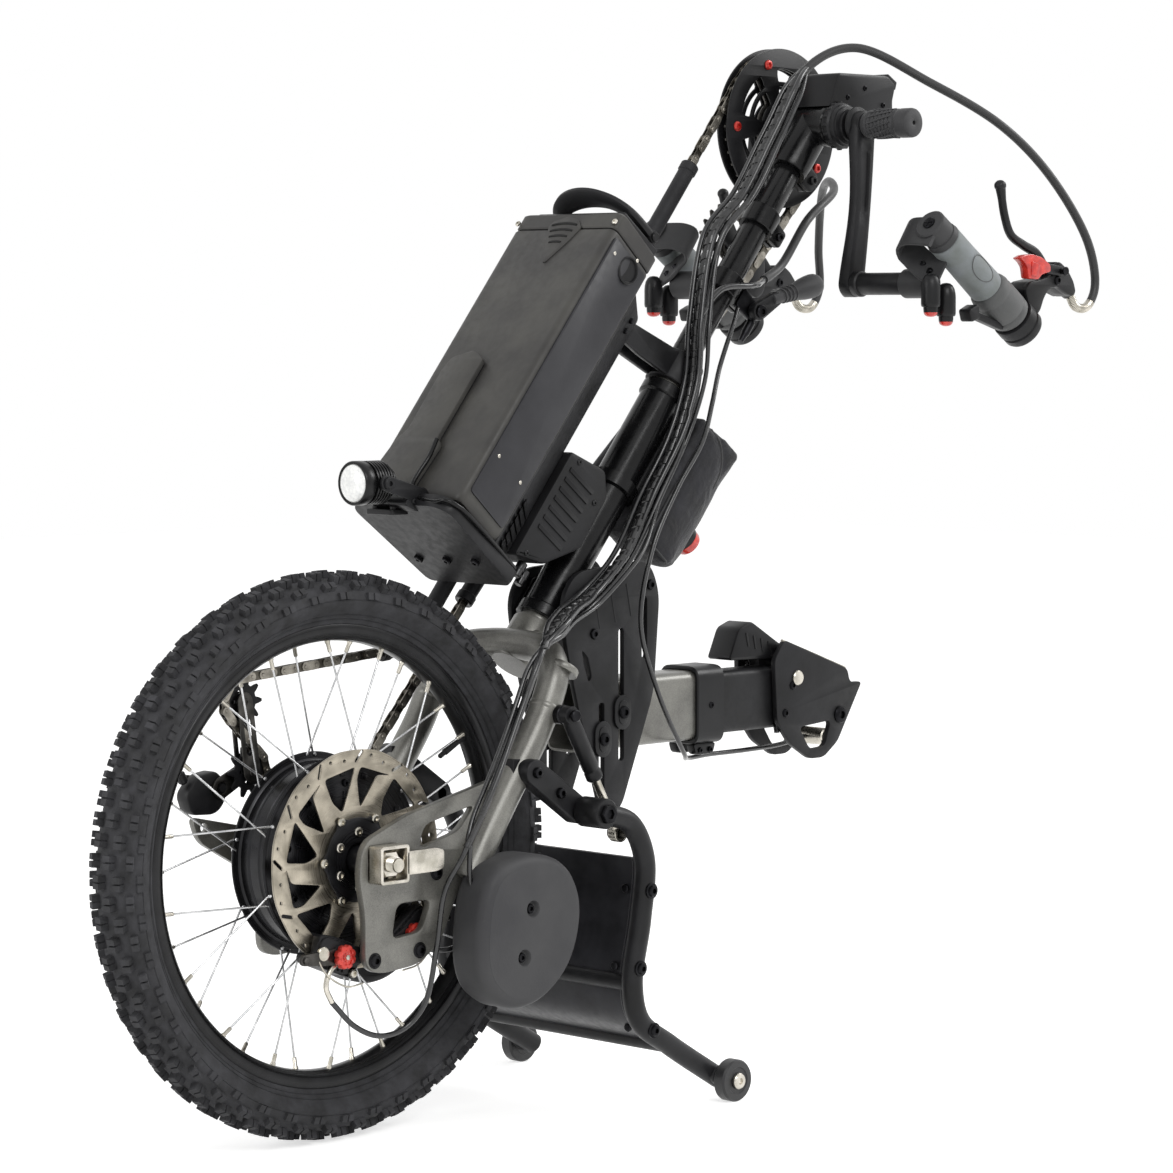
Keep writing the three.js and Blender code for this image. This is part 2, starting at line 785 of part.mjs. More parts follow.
function rim() {
  const inside = RIM.halfWidth - RIM.wall;
  const section = [
    [RIM.inner, -RIM.halfWidth],
    [RIM.inner, RIM.halfWidth],
    [RIM.lip, RIM.halfWidth],
    [RIM.lip, inside],
    [RIM.bed, inside],
    [RIM.bed, -inside],
    [RIM.lip, -inside],
    [RIM.lip, -RIM.halfWidth],
  ];
  const spokes = [];
  for (let i = 0; i < SPOKES.count; i++) {
    const side = i % 2 ? 1 : -1;
    const lead = i % 4 < 2 ? 1 : -1;
    const outer = (i / SPOKES.count) * TURN;
    const inner = outer + lead * radians(SPOKES.cross);
    const foot = HUB.flangeRadius + SPOKES.clearance;
    const top = RIM.inner + SPOKES.bite;
    const y = side * (HUB.halfWidth - SPOKES.splay + lead * SPOKES.splay - SPOKES.radius);
    const from = [foot * Math.cos(inner), y, foot * Math.sin(inner)];
    const to = [top * Math.cos(outer), side * SPOKES.rimOffset, top * Math.sin(outer)];
    spokes.push(rod(from, to, SPOKES.radius, SPOKES.sides));
  }
  return atWheel(join(turned(section, WHEEL.facets), spokes));
}

function hubMotor() {
  const bore = AXLE.radius + RUNNING;
  const cover = HUB.halfWidth + HUB.coverRise;
  const step = HUB.halfWidth - HUB.flangeWidth;
  const profile = [
    [bore, -HUB.rightBoss],
    [HUB.rightBossRadius, -HUB.rightBoss],
    [HUB.rightBossRadius, -cover],
    [HUB.coverRadius, -cover],
    [HUB.coverRadius + HUB.coverEdge, -HUB.halfWidth],
    [HUB.flangeRadius, -HUB.halfWidth],
    [HUB.flangeRadius, -step],
    [HUB.drumRadius, -step],
    [HUB.drumRadius, step],
    [HUB.flangeRadius, step],
    [HUB.flangeRadius, HUB.halfWidth],
    [HUB.coverRadius + HUB.coverEdge, HUB.halfWidth],
    [HUB.coverRadius, cover],
    [HUB.leftBossRadius, cover],
    [HUB.leftBossRadius, HUB.leftBoss],
    [HUB.stubRadius, HUB.leftBoss],
    [HUB.stubRadius, HUB.stub],
    [bore, HUB.stub],
  ];
  return atWheel(turned(profile, HUB.sides));
}

const rotorLow = HUB.leftBoss + GAP;
const rotorHigh = rotorLow + ROTOR.thickness;

function brakeRotor() {
  const shape = circle(ROTOR.radius, FINE * 2);
  shape.holes.push(circle(ROTOR.eye, COARSE));
  const unit = TURN / ROTOR.arms;
  for (let i = 0; i < ROTOR.arms; i++) {
    ROTOR_WINDOW_SHARES.forEach((shares) => shape.holes.push(
      polar(shares, ROTOR.radius, unit, i, ROTOR.corner),
    ));
  }
  const bolts = [];
  for (let i = 0; i < ROTOR.arms; i++) {
    const x = ROTOR.boltCircle * Math.cos(i * unit);
    const z = ROTOR.boltCircle * Math.sin(i * unit);
    bolts.push(crossRod(ROTOR.boltRadius, rotorLow + GAP, rotorHigh + ROTOR.boltRise, x, z, ROTOR.arms));
  }
  return atWheel(join(sidePlate(shape, rotorLow, rotorHigh), bolts));
}

function axle() {
  const parts = [crossRod(AXLE.radius, -AXLE.halfLength, AXLE.halfLength)];
  const inner = DROPOUT.inner + DROPOUT.thickness + GAP;
  const outer = inner + AXLE.nutWidth;
  parts.push(crossRod(AXLE.nutRadius, inner, outer, 0, 0, ROTOR.arms));
  parts.push(crossRod(AXLE.nutRadius, -outer, -inner, 0, 0, ROTOR.arms));
  return atWheel(join(parts));
}

function cassette() {
  const parts = COG.teeth.map((teeth, i) =>
    toothed(teeth, SPROCKET_THICKNESS, COG.spacing * i - COG.chainLine, COG.boreRadius),
  );
  const last = COG.chainLine - COG.spacing * (COG.teeth.length - 1) - COG.overhang;
  const first = COG.chainLine + COG.overhang;
  parts.push(
    turned([
      [COG.boreRadius, -first],
      [COG.sleeveRadius, -first],
      [COG.sleeveRadius, -last],
      [COG.boreRadius, -last],
    ], COARSE),
  );
  return atWheel(join(parts));
}

// Fork, end plates and what hangs on them
const legPoint = ([back, out, up]) => [-back * FORK.setback, out * FORK.legOffset, up * FORK.height];
const footRod = (radius) => rod(legPoint(LEG_SHARES[0]), legPoint(LEG_SHARES[2]), radius);

function fork() {
  const left = LEG_SHARES.map(legPoint);
  const right = left.map(([x, y, z]) => [x, -y, z]).reverse();
  const frame = [tube([...left, ...right], FORK.tubeRadius, FORK.steps)];
  const foot = left[0];
  const slotTop = left[3];
  [1, -1].forEach((side) => {
    const lug = slot([STAND.lugX, STAND.lugZ], [STAND.pivotX, STAND.pivotZ], STAND.lugRadius);
    const [low, high] = side > 0 ? [STAND.lugInner, STAND.lugOuter] : [-STAND.lugOuter, -STAND.lugInner];
    frame.push(sidePlate(lug, low, high));
    const pinEnd = STAND.offset + STAND.tubeRadius;
    const [pinLow, pinHigh] = side > 0 ? [STAND.lugInner, pinEnd] : [-pinEnd, -STAND.lugInner];
    frame.push(crossRod(STAND.pinRadius, pinLow, pinHigh, STAND.pivotX, STAND.pivotZ));
  });
  const strutPinEnd = STRUT.middle + STRUT.halfWidth + OVERRUN;
  frame.push(crossRod(STRUT.pinRadius, FORK.legOffset, strutPinEnd, STRUT.topX, STRUT.topZ));
  const crown = onMast(mastRod(FORK.crownRadius, FORK.crownTop, FORK.crownBottom));
  const steerer = onMast(mastRod(FORK.steererRadius, FORK.steererTop, FORK.crownTop + OVERRUN));
  const bore = onMast(
    mastRod(MAST.radius + GAP, FORK.steererTop - OVERRUN, FORK.crownTop - FORK.crownRadius),
  );
  const cuts = [bore];
  [1, -1].forEach((side) => {
    const plane = DROPOUT.inner + DROPOUT.thickness;
    const [low, high] = side > 0 ? [DROPOUT.inner - GAP, plane + GAP] : [-plane - GAP, GAP - DROPOUT.inner];
    const beyond = [foot[0] - foot[0] / 2, foot[2] - foot[2] / 3];
    cuts.push(sidePlate(slot(beyond, [slotTop[0], slotTop[2]], FORK.tubeRadius + OVERRUN), low, high));
  });
  return cut(join(frame, crown, steerer), cuts);
}

const dropoutPoint = ([back, up]) => [
  -back * DROPOUT.reach,
  WHEEL.radius + up * (up > 0 ? DROPOUT.rise : DROPOUT.drop),
];

function dropoutShape(withHanger) {
  const rim = DROPOUT_RIM_SHARES.map(dropoutPoint);
  const shape = rounded(rim, 0);
  const bore = circle(AXLE.radius + RUNNING, COARSE, 0, WHEEL.radius);
  shape.holes.push(bore);
  DROPOUT_WINDOW_SHARES.forEach((shares) => shape.holes.push(
    rounded(shares.map(dropoutPoint), DROPOUT.corner / 2),
  ));
  const plate = sidePlate(shape, DROPOUT.inner, DROPOUT.inner + DROPOUT.thickness);
  if (!withHanger) return plate;
  const hanger = rounded(HANGER_SHARES.map(dropoutPoint), DROPOUT.corner / 2);
  return cut(join(plate, sidePlate(hanger, DROPOUT.inner, DROPOUT.inner + DROPOUT.thickness)), axleHole());
}

function axleHole() {
  return crossRod(AXLE.radius + RUNNING, -AXLE.halfLength, AXLE.halfLength, 0, WHEEL.radius);
}

function dropoutLeft() {
  const outer = DROPOUT.inner + DROPOUT.thickness;
  const half = BRACKET.size / 2;
  const cup = box(-half, half, outer - GAP, outer + BRACKET.depth, WHEEL.radius - half, WHEEL.radius + half);
  const inside = half - BRACKET.wall;
  const hollow = box(
    -inside, inside, outer, outer + BRACKET.depth + OVERRUN, WHEEL.radius - inside, WHEEL.radius + inside,
  );
  const tail = box(
    -half - BRACKET.tail, -inside, outer + BRACKET.depth - BRACKET.wall, outer + BRACKET.depth,
    WHEEL.radius - BRACKET.tailHeight / 2, WHEEL.radius + BRACKET.tailHeight / 2,
  );
  const bolts = DROPOUT_BOLT_SHARES.slice(1).map((shares) => {
    const [x, z] = dropoutPoint(shares);
    return crossRod(DROPOUT.boltRadius, outer - GAP, outer + DROPOUT.boltRise, x, z, ROTOR.arms);
  });
  return cut(join(dropoutShape(false), cup, tail, bolts), hollow, axleHole());
}

function dropoutRight() {
  return mirrored(dropoutShape(true));
}

function ballast() {
  const outline = spread(BALLAST_SHARES, BALLAST.width, BALLAST.height, -BALLAST.back, BALLAST.bottom);
  const outer = BALLAST.inner + BALLAST.thickness;
  const low = BALLAST.inner + BALLAST.edge;
  const high = outer - BALLAST.edge;
  const middle = [-BALLAST.back + BALLAST.width / 2, BALLAST.bottom + BALLAST.height / 2];
  const inset = (share) => outline.map(([x, z]) => [
    middle[0] + (x - middle[0]) * share, middle[1] + (z - middle[1]) * share,
  ]);
  const full = sidePlate(rounded(outline, BALLAST.corner), low, high);
  const faces = sidePlate(rounded(inset(BALLAST.face), BALLAST.corner), BALLAST.inner, outer);
  const leg = footRod(FORK.tubeRadius + BALLAST.clearance);
  const below = footRod(FORK.tubeRadius + BALLAST.clearance).translate(
    BALLAST.clearance, 0, -BALLAST.clearance,
  );
  const recesses = BALLAST_BOLT_SHARES.map(([across, up]) => crossRod(
    BALLAST.recessRadius, outer - BALLAST.edge, outer + OVERRUN,
    BALLAST.width * across - BALLAST.back, BALLAST.height * up + BALLAST.bottom,
  ));
  return cut(join(full, faces), leg, below, recesses);
}

// Callipers straddle the rotor: each is built at the top of the rotor and turned to its place
function calliper(index) {
  const angle = radians(CALLIPER.angles[index]);
  const half = CALLIPER.length / 2;
  const bottom = CALLIPER.radius - CALLIPER.height / 2;
  const outline = spread(CALLIPER_SHARES, CALLIPER.length, CALLIPER.height, -half, bottom);
  const body = sidePlate(rounded(outline, 0), CALLIPER.inner, CALLIPER.outer);
  const slotMiddle = (rotorLow + rotorHigh) / 2;
  const gap = cut(
    crossRod(
      ROTOR.radius + GAP + OVERRUN, slotMiddle - CALLIPER.slot / 2, slotMiddle + CALLIPER.slot / 2, 0, 0,
      FINE * 2,
    ),
  );
  const side = index ? -1 : 1;
  const lug = crossRod(
    CALLIPER.lugRadius, CALLIPER.outer - OVERRUN, DROPOUT.inner - GAP,
    side * CALLIPER.lugShift, CALLIPER.radius - CALLIPER.lugInset,
  );
  const pin = crossRod(CALLIPER.pivotRadius, CALLIPER.outer - OVERRUN, knobHigh, 0, CALLIPER.radius);
  const knob = crossRod(CALLIPER.knobRadius, knobLow, knobHigh, 0, CALLIPER.radius);
  return atWheel(join(cut(body, gap), lug, pin, knob).rotateY(Math.PI / 2 - angle));
}

const armLow = CALLIPER.outer + GAP;
const knobLow = armLow + CALLIPER.armThickness + GAP;
const knobHigh = knobLow + CALLIPER.knobWidth;

function calliperArm(index) {
  const angle = radians(CALLIPER.angles[index]);
  const side = index ? 1 : -1;
  const reach = [side * CALLIPER.armLength, CALLIPER.radius + CALLIPER.height / 2];
  const shape = taper([0, CALLIPER.radius], reach, CALLIPER.armRadius, CALLIPER.armEnd);
  shape.holes.push(circle(bearing(CALLIPER.pivotRadius), COARSE, 0, CALLIPER.radius));
  const arm = sidePlate(shape, armLow, armLow + CALLIPER.armThickness);
  return atWheel(arm.rotateY(Math.PI / 2 - angle));
}

// A link outline whose two ends have their own radii
function taper(from, to, radius, endRadius, sides = 5) {
  const shape = new THREE.Shape();
  const along = Math.atan2(to[1] - from[1], to[0] - from[0]);
  const points = [];
  [[to, endRadius, -0.25], [from, radius, 0.25]].forEach(([centre, size, start]) => {
    for (let i = 0; i <= sides; i++) {
      const angle = along + (start + (0.5 * i) / sides) * TURN;
      points.push([centre[0] + size * Math.cos(angle), centre[1] + size * Math.sin(angle)]);
    }
  });
  points.forEach((point, i) => (i ? shape.lineTo(...point) : shape.moveTo(...point)));
  shape.closePath();
  return shape;
}

// The chain's track runs round seven circles, each turned one way or the other
const ringRadius = pitchRadius(RING.teeth);
const idlerRadius = pitchRadius(IDLER.teeth);
const cogRadius = pitchRadius(COG.teeth[0]);
const jockeyRadius = pitchRadius(JOCKEY.teeth);
const circleOnMast = (forward, below, radius, turn) => {
  const [x, , z] = mastToMachine(forward, below);
  return { x, z, radius, turn };
};
const TRACK_CIRCLES = [
  circleOnMast(0, 0, ringRadius, -1),
  { ...FRONT_BEND, turn: 1 },
  { x: DERAILLEUR.upperX, z: DERAILLEUR.upperZ, radius: jockeyRadius, turn: -1 },
  { x: DERAILLEUR.lowerX, z: DERAILLEUR.lowerZ, radius: jockeyRadius, turn: 1 },
  { x: 0, z: WHEEL.radius, radius: cogRadius, turn: -1 },
  circleOnMast(REAR_BENDS.forward - REAR_BENDS.radius, REAR_BENDS.lowerAt, REAR_BENDS.radius, 1),
  circleOnMast(REAR_BENDS.rearward + REAR_BENDS.radius, REAR_BENDS.upperAt, REAR_BENDS.radius, -1),
  circleOnMast(IDLER.forward, IDLER.below, idlerRadius, -1),
];

function chainTrack() {
  const count = TRACK_CIRCLES.length;
  const runs = TRACK_CIRCLES.map((from, i) => {
    const to = TRACK_CIRCLES[(i + 1) % count];
    const start = from.radius * from.turn;
    const end = to.radius * to.turn;
    const apart = Math.hypot(to.x - from.x, to.z - from.z);
    const angle = Math.atan2(to.z - from.z, to.x - from.x) - Math.acos((start - end) / apart);
    const [across, up] = [Math.cos(angle), Math.sin(angle)];
    return {
      from: [from.x + start * across, from.z + start * up],
      to: [to.x + end * across, to.z + end * up],
    };
  });
  const points = [];
  const marks = [];
  runs.forEach((run, i) => {
    points.push(run.from);
    const belowFrom = belowAt(...run.from);
    const fall = belowAt(...run.to) - belowFrom;
    const stops = [DRIFT.from, DRIFT.to].map((below) => (below - belowFrom) / fall);
    stops.filter((share) => share > 0 && share < 1).sort((a, b) => a - b).forEach((share) => {
      points.push([0, 1].map((k) => run.from[k] + (run.to[k] - run.from[k]) * share));
    });
    const next = TRACK_CIRCLES[(i + 1) % count];
    const leave = runs[(i + 1) % count].from;
    const begin = Math.atan2(run.to[1] - next.z, run.to[0] - next.x);
    const finish = Math.atan2(leave[1] - next.z, leave[0] - next.x);
    const sweep = ((next.turn * (finish - begin)) % TURN + TURN) % TURN;
    const steps = Math.max(2, Math.ceil(sweep / TRACK_STEP));
    for (let k = 0; k < steps; k++) {
      const angle = begin + (next.turn * sweep * k) / steps;
      points.push([next.x + next.radius * Math.cos(angle), next.z + next.radius * Math.sin(angle)]);
    }
    marks.push(points.length);
  });
  points.push(points[0]);
  const lengths = [0];
  points.slice(1).forEach(([x, z], i) => lengths.push(
    lengths[i] + Math.hypot(x - points[i][0], z - points[i][1]),
  ));
  return { points, marks, lengths, total: lengths[lengths.length - 1] };
}

const track = chainTrack();

function chainPlace(distance) {
  const wanted = ((distance % track.total) + track.total) % track.total;
  const i = Math.max(1, track.lengths.findIndex((length) => length > wanted));
  const share = (wanted - track.lengths[i - 1]) / (track.lengths[i] - track.lengths[i - 1]);
  const [from, to] = [track.points[i - 1], track.points[i]];
  const x = from[0] + (to[0] - from[0]) * share;
  const z = from[1] + (to[1] - from[1]) * share;
  const drift = THREE.MathUtils.clamp((belowAt(x, z) - DRIFT.from) / (DRIFT.to - DRIFT.from), 0, 1);
  return vector(x, -CRANK.chainLine - drift * (COG.chainLine - CRANK.chainLine), z);
}

// A section carried along the track; a closed sweep joins its last section to its first
function sweep(stations, closed) {
  const positions = [];
  const faces = [];
  const size = stations[0].section.length;
  const count = stations.length * size;
  const reach = CHAIN.pitch / 8;
  stations.forEach(({ distance, section }) => {
    const at = chainPlace(distance);
    const along = chainPlace(distance + reach).sub(chainPlace(distance - reach)).normalize();
    const side = vector(along.z, 0, -along.x).normalize();
    section.forEach(([up, out]) => positions.push(at.x + side.x * up, at.y + out, at.z + side.z * up));
  });
  const last = closed ? stations.length : stations.length - 1;
  for (let i = 0; i < last; i++) {
    for (let k = 0; k < size; k++) {
      const near = size * i + k;
      const beside = size * i + ((k + 1) % size);
      faces.push(
        near, beside, (beside + size) % count, near, (beside + size) % count, (near + size) % count,
      );
    }
  }
  if (!closed) {
    for (let k = 1; k < size - 1; k++) {
      faces.push(0, k + 1, k, count - size, count - size + k, count - size + k + 1);
    }
  }
  const band = new THREE.BufferGeometry();
  band.setAttribute("position", new THREE.Float32BufferAttribute(positions, 3));
  band.setIndex(faces);
  return facesOut(band);
}

function chain() {
  const links = 2 * Math.round(track.total / CHAIN.pitch / CHAIN.linksEach);
  const stations = [];
  const hidden = (distance) => [[frontFrom, frontStraight], [rearStraight, rearTo]].some(
    ([from, to]) => distance > from + CHAIN.pitch && distance < to - CHAIN.pitch,
  );
  for (let i = 0; i < links; i++) {
    if (i % 4 && hidden((i / links) * track.total)) continue;
    const half = (i % 2 ? CHAIN.outer : CHAIN.inner) / 2;
    const rise = CHAIN.height / 2;
    stations.push(
      { distance: (i / links) * track.total, section: [
        [rise, half], [rise, -half], [-rise, -half], [-rise, half],
      ] },
    );
  }
  const band = sweep(stations, true);
  const groove = ([x, z], radius, line) => {
    const size = (radius + CHAIN.grip) / Math.cos(Math.PI / (FINE * 2));
    return crossRod(size, -line - CHAIN.groove / 2, CHAIN.groove / 2 - line, x, z, FINE * 2);
  };
  const [idlerX, , idlerZ] = mastToMachine(IDLER.forward, IDLER.below);
  return cut(
    band,
    groove([MAST.crankX, MAST.crankZ], ringRadius, CRANK.chainLine),
    groove([idlerX, idlerZ], idlerRadius, CRANK.chainLine),
    groove([0, WHEEL.radius], cogRadius, COG.chainLine),
    groove([DERAILLEUR.upperX, DERAILLEUR.upperZ], jockeyRadius, COG.chainLine),
    groove([DERAILLEUR.lowerX, DERAILLEUR.lowerZ], jockeyRadius, COG.chainLine),
  );
}

// A guide tube covers the chain between two distances along its track
function guideTube(from, to, radius) {
  const section = [];
  for (let i = 0; i < CHAIN_TUBE.sides; i++) {
    const angle = ((i + 0.5) / CHAIN_TUBE.sides) * TURN;
    section.push([radius * Math.cos(angle), radius * Math.sin(angle)]);
  }
  const between = track.lengths.filter((length) => length > from + CHAIN.grip && length < to - CHAIN.grip);
  return sweep([from, ...between, to].map((distance) => ({ distance, section })), false);
}

function distanceAt(below, first) {
  const index = track.points.findIndex(([x, z], i) => i > first && belowAt(x, z) < below);
  const previous = belowAt(...track.points[index - 1]);
  const share = (previous - below) / (previous - belowAt(...track.points[index]));
  return track.lengths[index - 1] + share * (track.lengths[index] - track.lengths[index - 1]);
}

const frontFrom = CHAIN_TUBE.forwardTop;
const frontTo = track.lengths[track.marks[0]];
const rearFrom = distanceAt(CHAIN_TUBE.rearBottom, track.marks[3]);
const rearTo = distanceAt(CHAIN_TUBE.rearTop, track.marks[3]);
const frontStraight = distanceAt(DRIFT.to, 0) > frontTo ? frontTo : track.lengths[3];
const rearStraight = track.lengths[track.marks[5]];

const tubeAround = (from, to) => cut(
  guideTube(from, to, CHAIN_TUBE.radius),
  guideTube(from - OVERRUN, to + OVERRUN, CHAIN_TUBE.bore),
);
const frontTube = () => tubeAround(frontFrom, frontTo);
const rearTube = () => tubeAround(rearFrom, rearTo);
const frontTubeHole = () => guideTube(frontFrom, frontTo, CHAIN_TUBE.radius + GAP);
const rearTubeHole = () => guideTube(rearFrom, rearTo, CHAIN_TUBE.radius + GAP);

function pulley(x, z) {
  const wheel = toothed(JOCKEY.teeth, SPROCKET_THICKNESS, -COG.chainLine, bearing(JOCKEY.pinRadius));
  return wheel.translate(x, 0, z);
}

function derailleurCage() {
  const upper = [DERAILLEUR.upperX, DERAILLEUR.upperZ];
  const lower = [DERAILLEUR.lowerX, DERAILLEUR.lowerZ];
  const pivot = [DERAILLEUR.pivotX, DERAILLEUR.pivotZ];
  const near = DERAILLEUR.cageGap / 2;
  const far = near + DERAILLEUR.wall;
  const link = slot(lower, upper, DERAILLEUR.cageRadius);
  const inner = sidePlate(link, near - COG.chainLine, far - COG.chainLine);
  const outer = sidePlate(link, -COG.chainLine - far, -COG.chainLine - near);
  const lobe = sidePlate(
    slot(lower, pivot, DERAILLEUR.cageRadius), -COG.chainLine - far, -COG.chainLine - near,
  );
  const pins = [upper, lower].map(([x, z]) =>
    crossRod(JOCKEY.pinRadius, -COG.chainLine - far, far - COG.chainLine, x, z),
  );
  const hole = crossRod(
    bearing(DERAILLEUR.pivotRadius), -COG.chainLine - far - OVERRUN, -COG.chainLine - near + OVERRUN,
    ...pivot,
  );
  return cut(join(inner, outer, lobe, pins), hole);
}

function derailleurBody() {
  const near = COG.chainLine + DERAILLEUR.cageGap / 2 + DERAILLEUR.wall + GAP;
  const corner = [DERAILLEUR.pivotX - DERAILLEUR.cageRadius, WHEEL.radius + DERAILLEUR.lift];
  const outline = spread(DERAILLEUR_SHARES, DERAILLEUR.width, DERAILLEUR.height, ...corner);
  const body = sidePlate(rounded(outline, 0), -near - DERAILLEUR.bodyDepth, -near);
  const pin = crossRod(
    DERAILLEUR.pivotRadius, -near - DERAILLEUR.bodyDepth / 2, GAP - near + DERAILLEUR.wall,
    DERAILLEUR.pivotX, DERAILLEUR.pivotZ,
  );
  return join(body, pin);
}

// Steering head and the plates that carry the docking arm
function headTube() {
  const tubeBody = mastRod(HEAD.radius, HEAD.top, HEAD.bottom);
  const upper = mastRod(HEAD.collarRadius, HEAD.top, HEAD.top + HEAD.collarLength);
  const lower = mastRod(HEAD.collarRadius, HEAD.bottom - HEAD.collarLength, HEAD.bottom);
  const reach = PLATE.middle - PLATE.thickness / 2 - GAP;
  const web = box(WEB.back, WEB.front, -reach, reach, -WEB.bottom, -WEB.top);
  const bore = mastRod(bearing(FORK.steererRadius, FINE), HEAD.top - OVERRUN, HEAD.bottom + OVERRUN);
  return onMast(cut(join(tubeBody, upper, lower, web), bore));
}

const platePoint = ([across, up]) => [PLATE.back + across * PLATE.width, PLATE.bottom + up * PLATE.height];

function couplingPlate() {
  const shape = rounded(PLATE_SHARES.map(platePoint), PLATE_CORNER);
  PLATE_SLOT_SHARES.forEach((ends) => {
    const [from, to] = ends.map(platePoint);
    shape.holes.push(slot(from, to, PLATE.slotWidth / 2));
  });
  return sidePlate(shape, PLATE.middle - PLATE.thickness / 2, PLATE.middle + PLATE.thickness / 2);
}

function armSection(grow) {
  const half = ARM.halfWidth + grow;
  const low = ARM.bottom - grow;
  const high = ARM.bottom + ARM.height + grow;
  return rounded([[half, low], [half, high], [-half, high], [-half, low]], ARM.corner + grow);
}

function armOuter() {
  const outer = armSection(0);
  outer.holes.push(armSection(-ARM.wall));
  const tubeBody = crossPlate(outer, ARM.back, ARM.front);
  const sleeve = armSection(ARM.clampWall);
  sleeve.holes.push(armSection(-ARM.wall));
  const clampBack = ARM.back - ARM.clampLength;
  const clamp = crossPlate(sleeve, clampBack, ARM.back + ARM.clampWall);
  const lugOutline = spread(
    CLAMP_LUG_SHARES, ARM.clampLength, ARM.lugHeight, clampBack, ARM.bottom - ARM.clampWall,
  );
  const lug = sidePlate(rounded(lugOutline, ARM.clampWall / 2), -ARM.halfWidth / 2, ARM.halfWidth / 2);
  const near = PLATE.middle - PLATE.thickness / 2 - GAP;
  const far = PLATE.middle + PLATE.thickness / 2 + GAP;
  const bolts = PLATE_BOLT_SHARES.map(platePoint).flatMap(([x, z]) => {
    const boss = crossRod(PLATE_BOLT.bossRadius, ARM.halfWidth - ARM.wall / 2, near, x, z);
    const shank = crossRod(
      PLATE_BOLT.radius, ARM.halfWidth, far + PLATE_BOLT.headRise / 2, x, z, COARSE / 2,
    );
    const head = crossRod(PLATE_BOLT.headRadius, far, far + PLATE_BOLT.headRise, x, z, COARSE / 2);
    const left = join(boss, shank, head);
    return [left, mirrored(left)];
  });
  return join(tubeBody, clamp, lug, bolts);
}

const dockPoint = ([across, up]) => [
  DOCK_HEAD.front - across * (DOCK_HEAD.front - DOCK_HEAD.back),
  DOCK_HEAD.bottom + up * (DOCK_HEAD.top - DOCK_HEAD.bottom),
];

function armInner() {
  const outer = armSection(-ARM.wall - GAP);
  outer.holes.push(armSection(-ARM.wall - GAP - ARM.innerWall));
  const overlap = DOCK_HEAD.front - DOCK_HEAD.thickness * 2;
  const tubeBody = crossPlate(outer, overlap, ARM.innerFront);
  const shape = rounded(DOCK_SHARES.map(dockPoint), 0);
  const windowShape = rounded(DOCK_WINDOW_SHARES.map(dockPoint), DOCK_HEAD.corner / 2);
  shape.holes.push(windowShape);
  const low = DOCK_HEAD.halfWidth - DOCK_HEAD.thickness;
  const left = sidePlate(shape, low, DOCK_HEAD.halfWidth);
  const inside = ARM.halfWidth - ARM.wall - GAP - ARM.innerWall;
  const cheek = box(
    overlap, DOCK_HEAD.front + DOCK_HEAD.thickness, inside, DOCK_HEAD.halfWidth,
    ARM.bottom + ARM.corner, ARM.bottom + ARM.height - ARM.corner,
  );
  const rollerAt = dockPoint([DOCK_ROLLER.shareX, DOCK_ROLLER.shareZ]);
  const roller = crossRod(DOCK_ROLLER.radius, -low - GAP, low + GAP, ...rollerAt);
  const pinAt = dockPoint([DOCK_PIN.shareX, DOCK_PIN.shareZ]);
  const pin = crossRod(DOCK_PIN.radius, -DOCK_HEAD.halfWidth, DOCK_HEAD.halfWidth, ...pinAt);
  const reach = DOCK_HEAD.halfWidth + DOCK_PIN.headRise;
  const heads = crossRod(DOCK_PIN.headRadius, DOCK_HEAD.halfWidth - GAP, reach, ...pinAt);
  const latchAt = latchPivot();
  const latchPin = crossRod(LATCH.pivotRadius, -DOCK_HEAD.halfWidth, DOCK_HEAD.halfWidth, ...latchAt);
  return join(
    tubeBody, left, mirrored(left), cheek, mirrored(cheek), roller, pin, heads, mirrored(heads), latchPin,
  );
}

const latchPoint = ([back, up]) => [LATCH.front - back * LATCH.length, LATCH.bottom + up * LATCH.height];
const latchPivot = () => latchPoint(LATCH_PIVOT_SHARES);

function latchLever() {
  const shape = rounded(LATCH_SHARES.map(latchPoint), LATCH.corner);
  const wedge = sidePlate(shape, -LATCH.halfWidth, LATCH.halfWidth);
  const [x, z] = latchPivot();
  return cut(wedge, crossRod(bearing(LATCH.pivotRadius), -ARM.halfWidth * 2, ARM.halfWidth * 2, x, z));
}

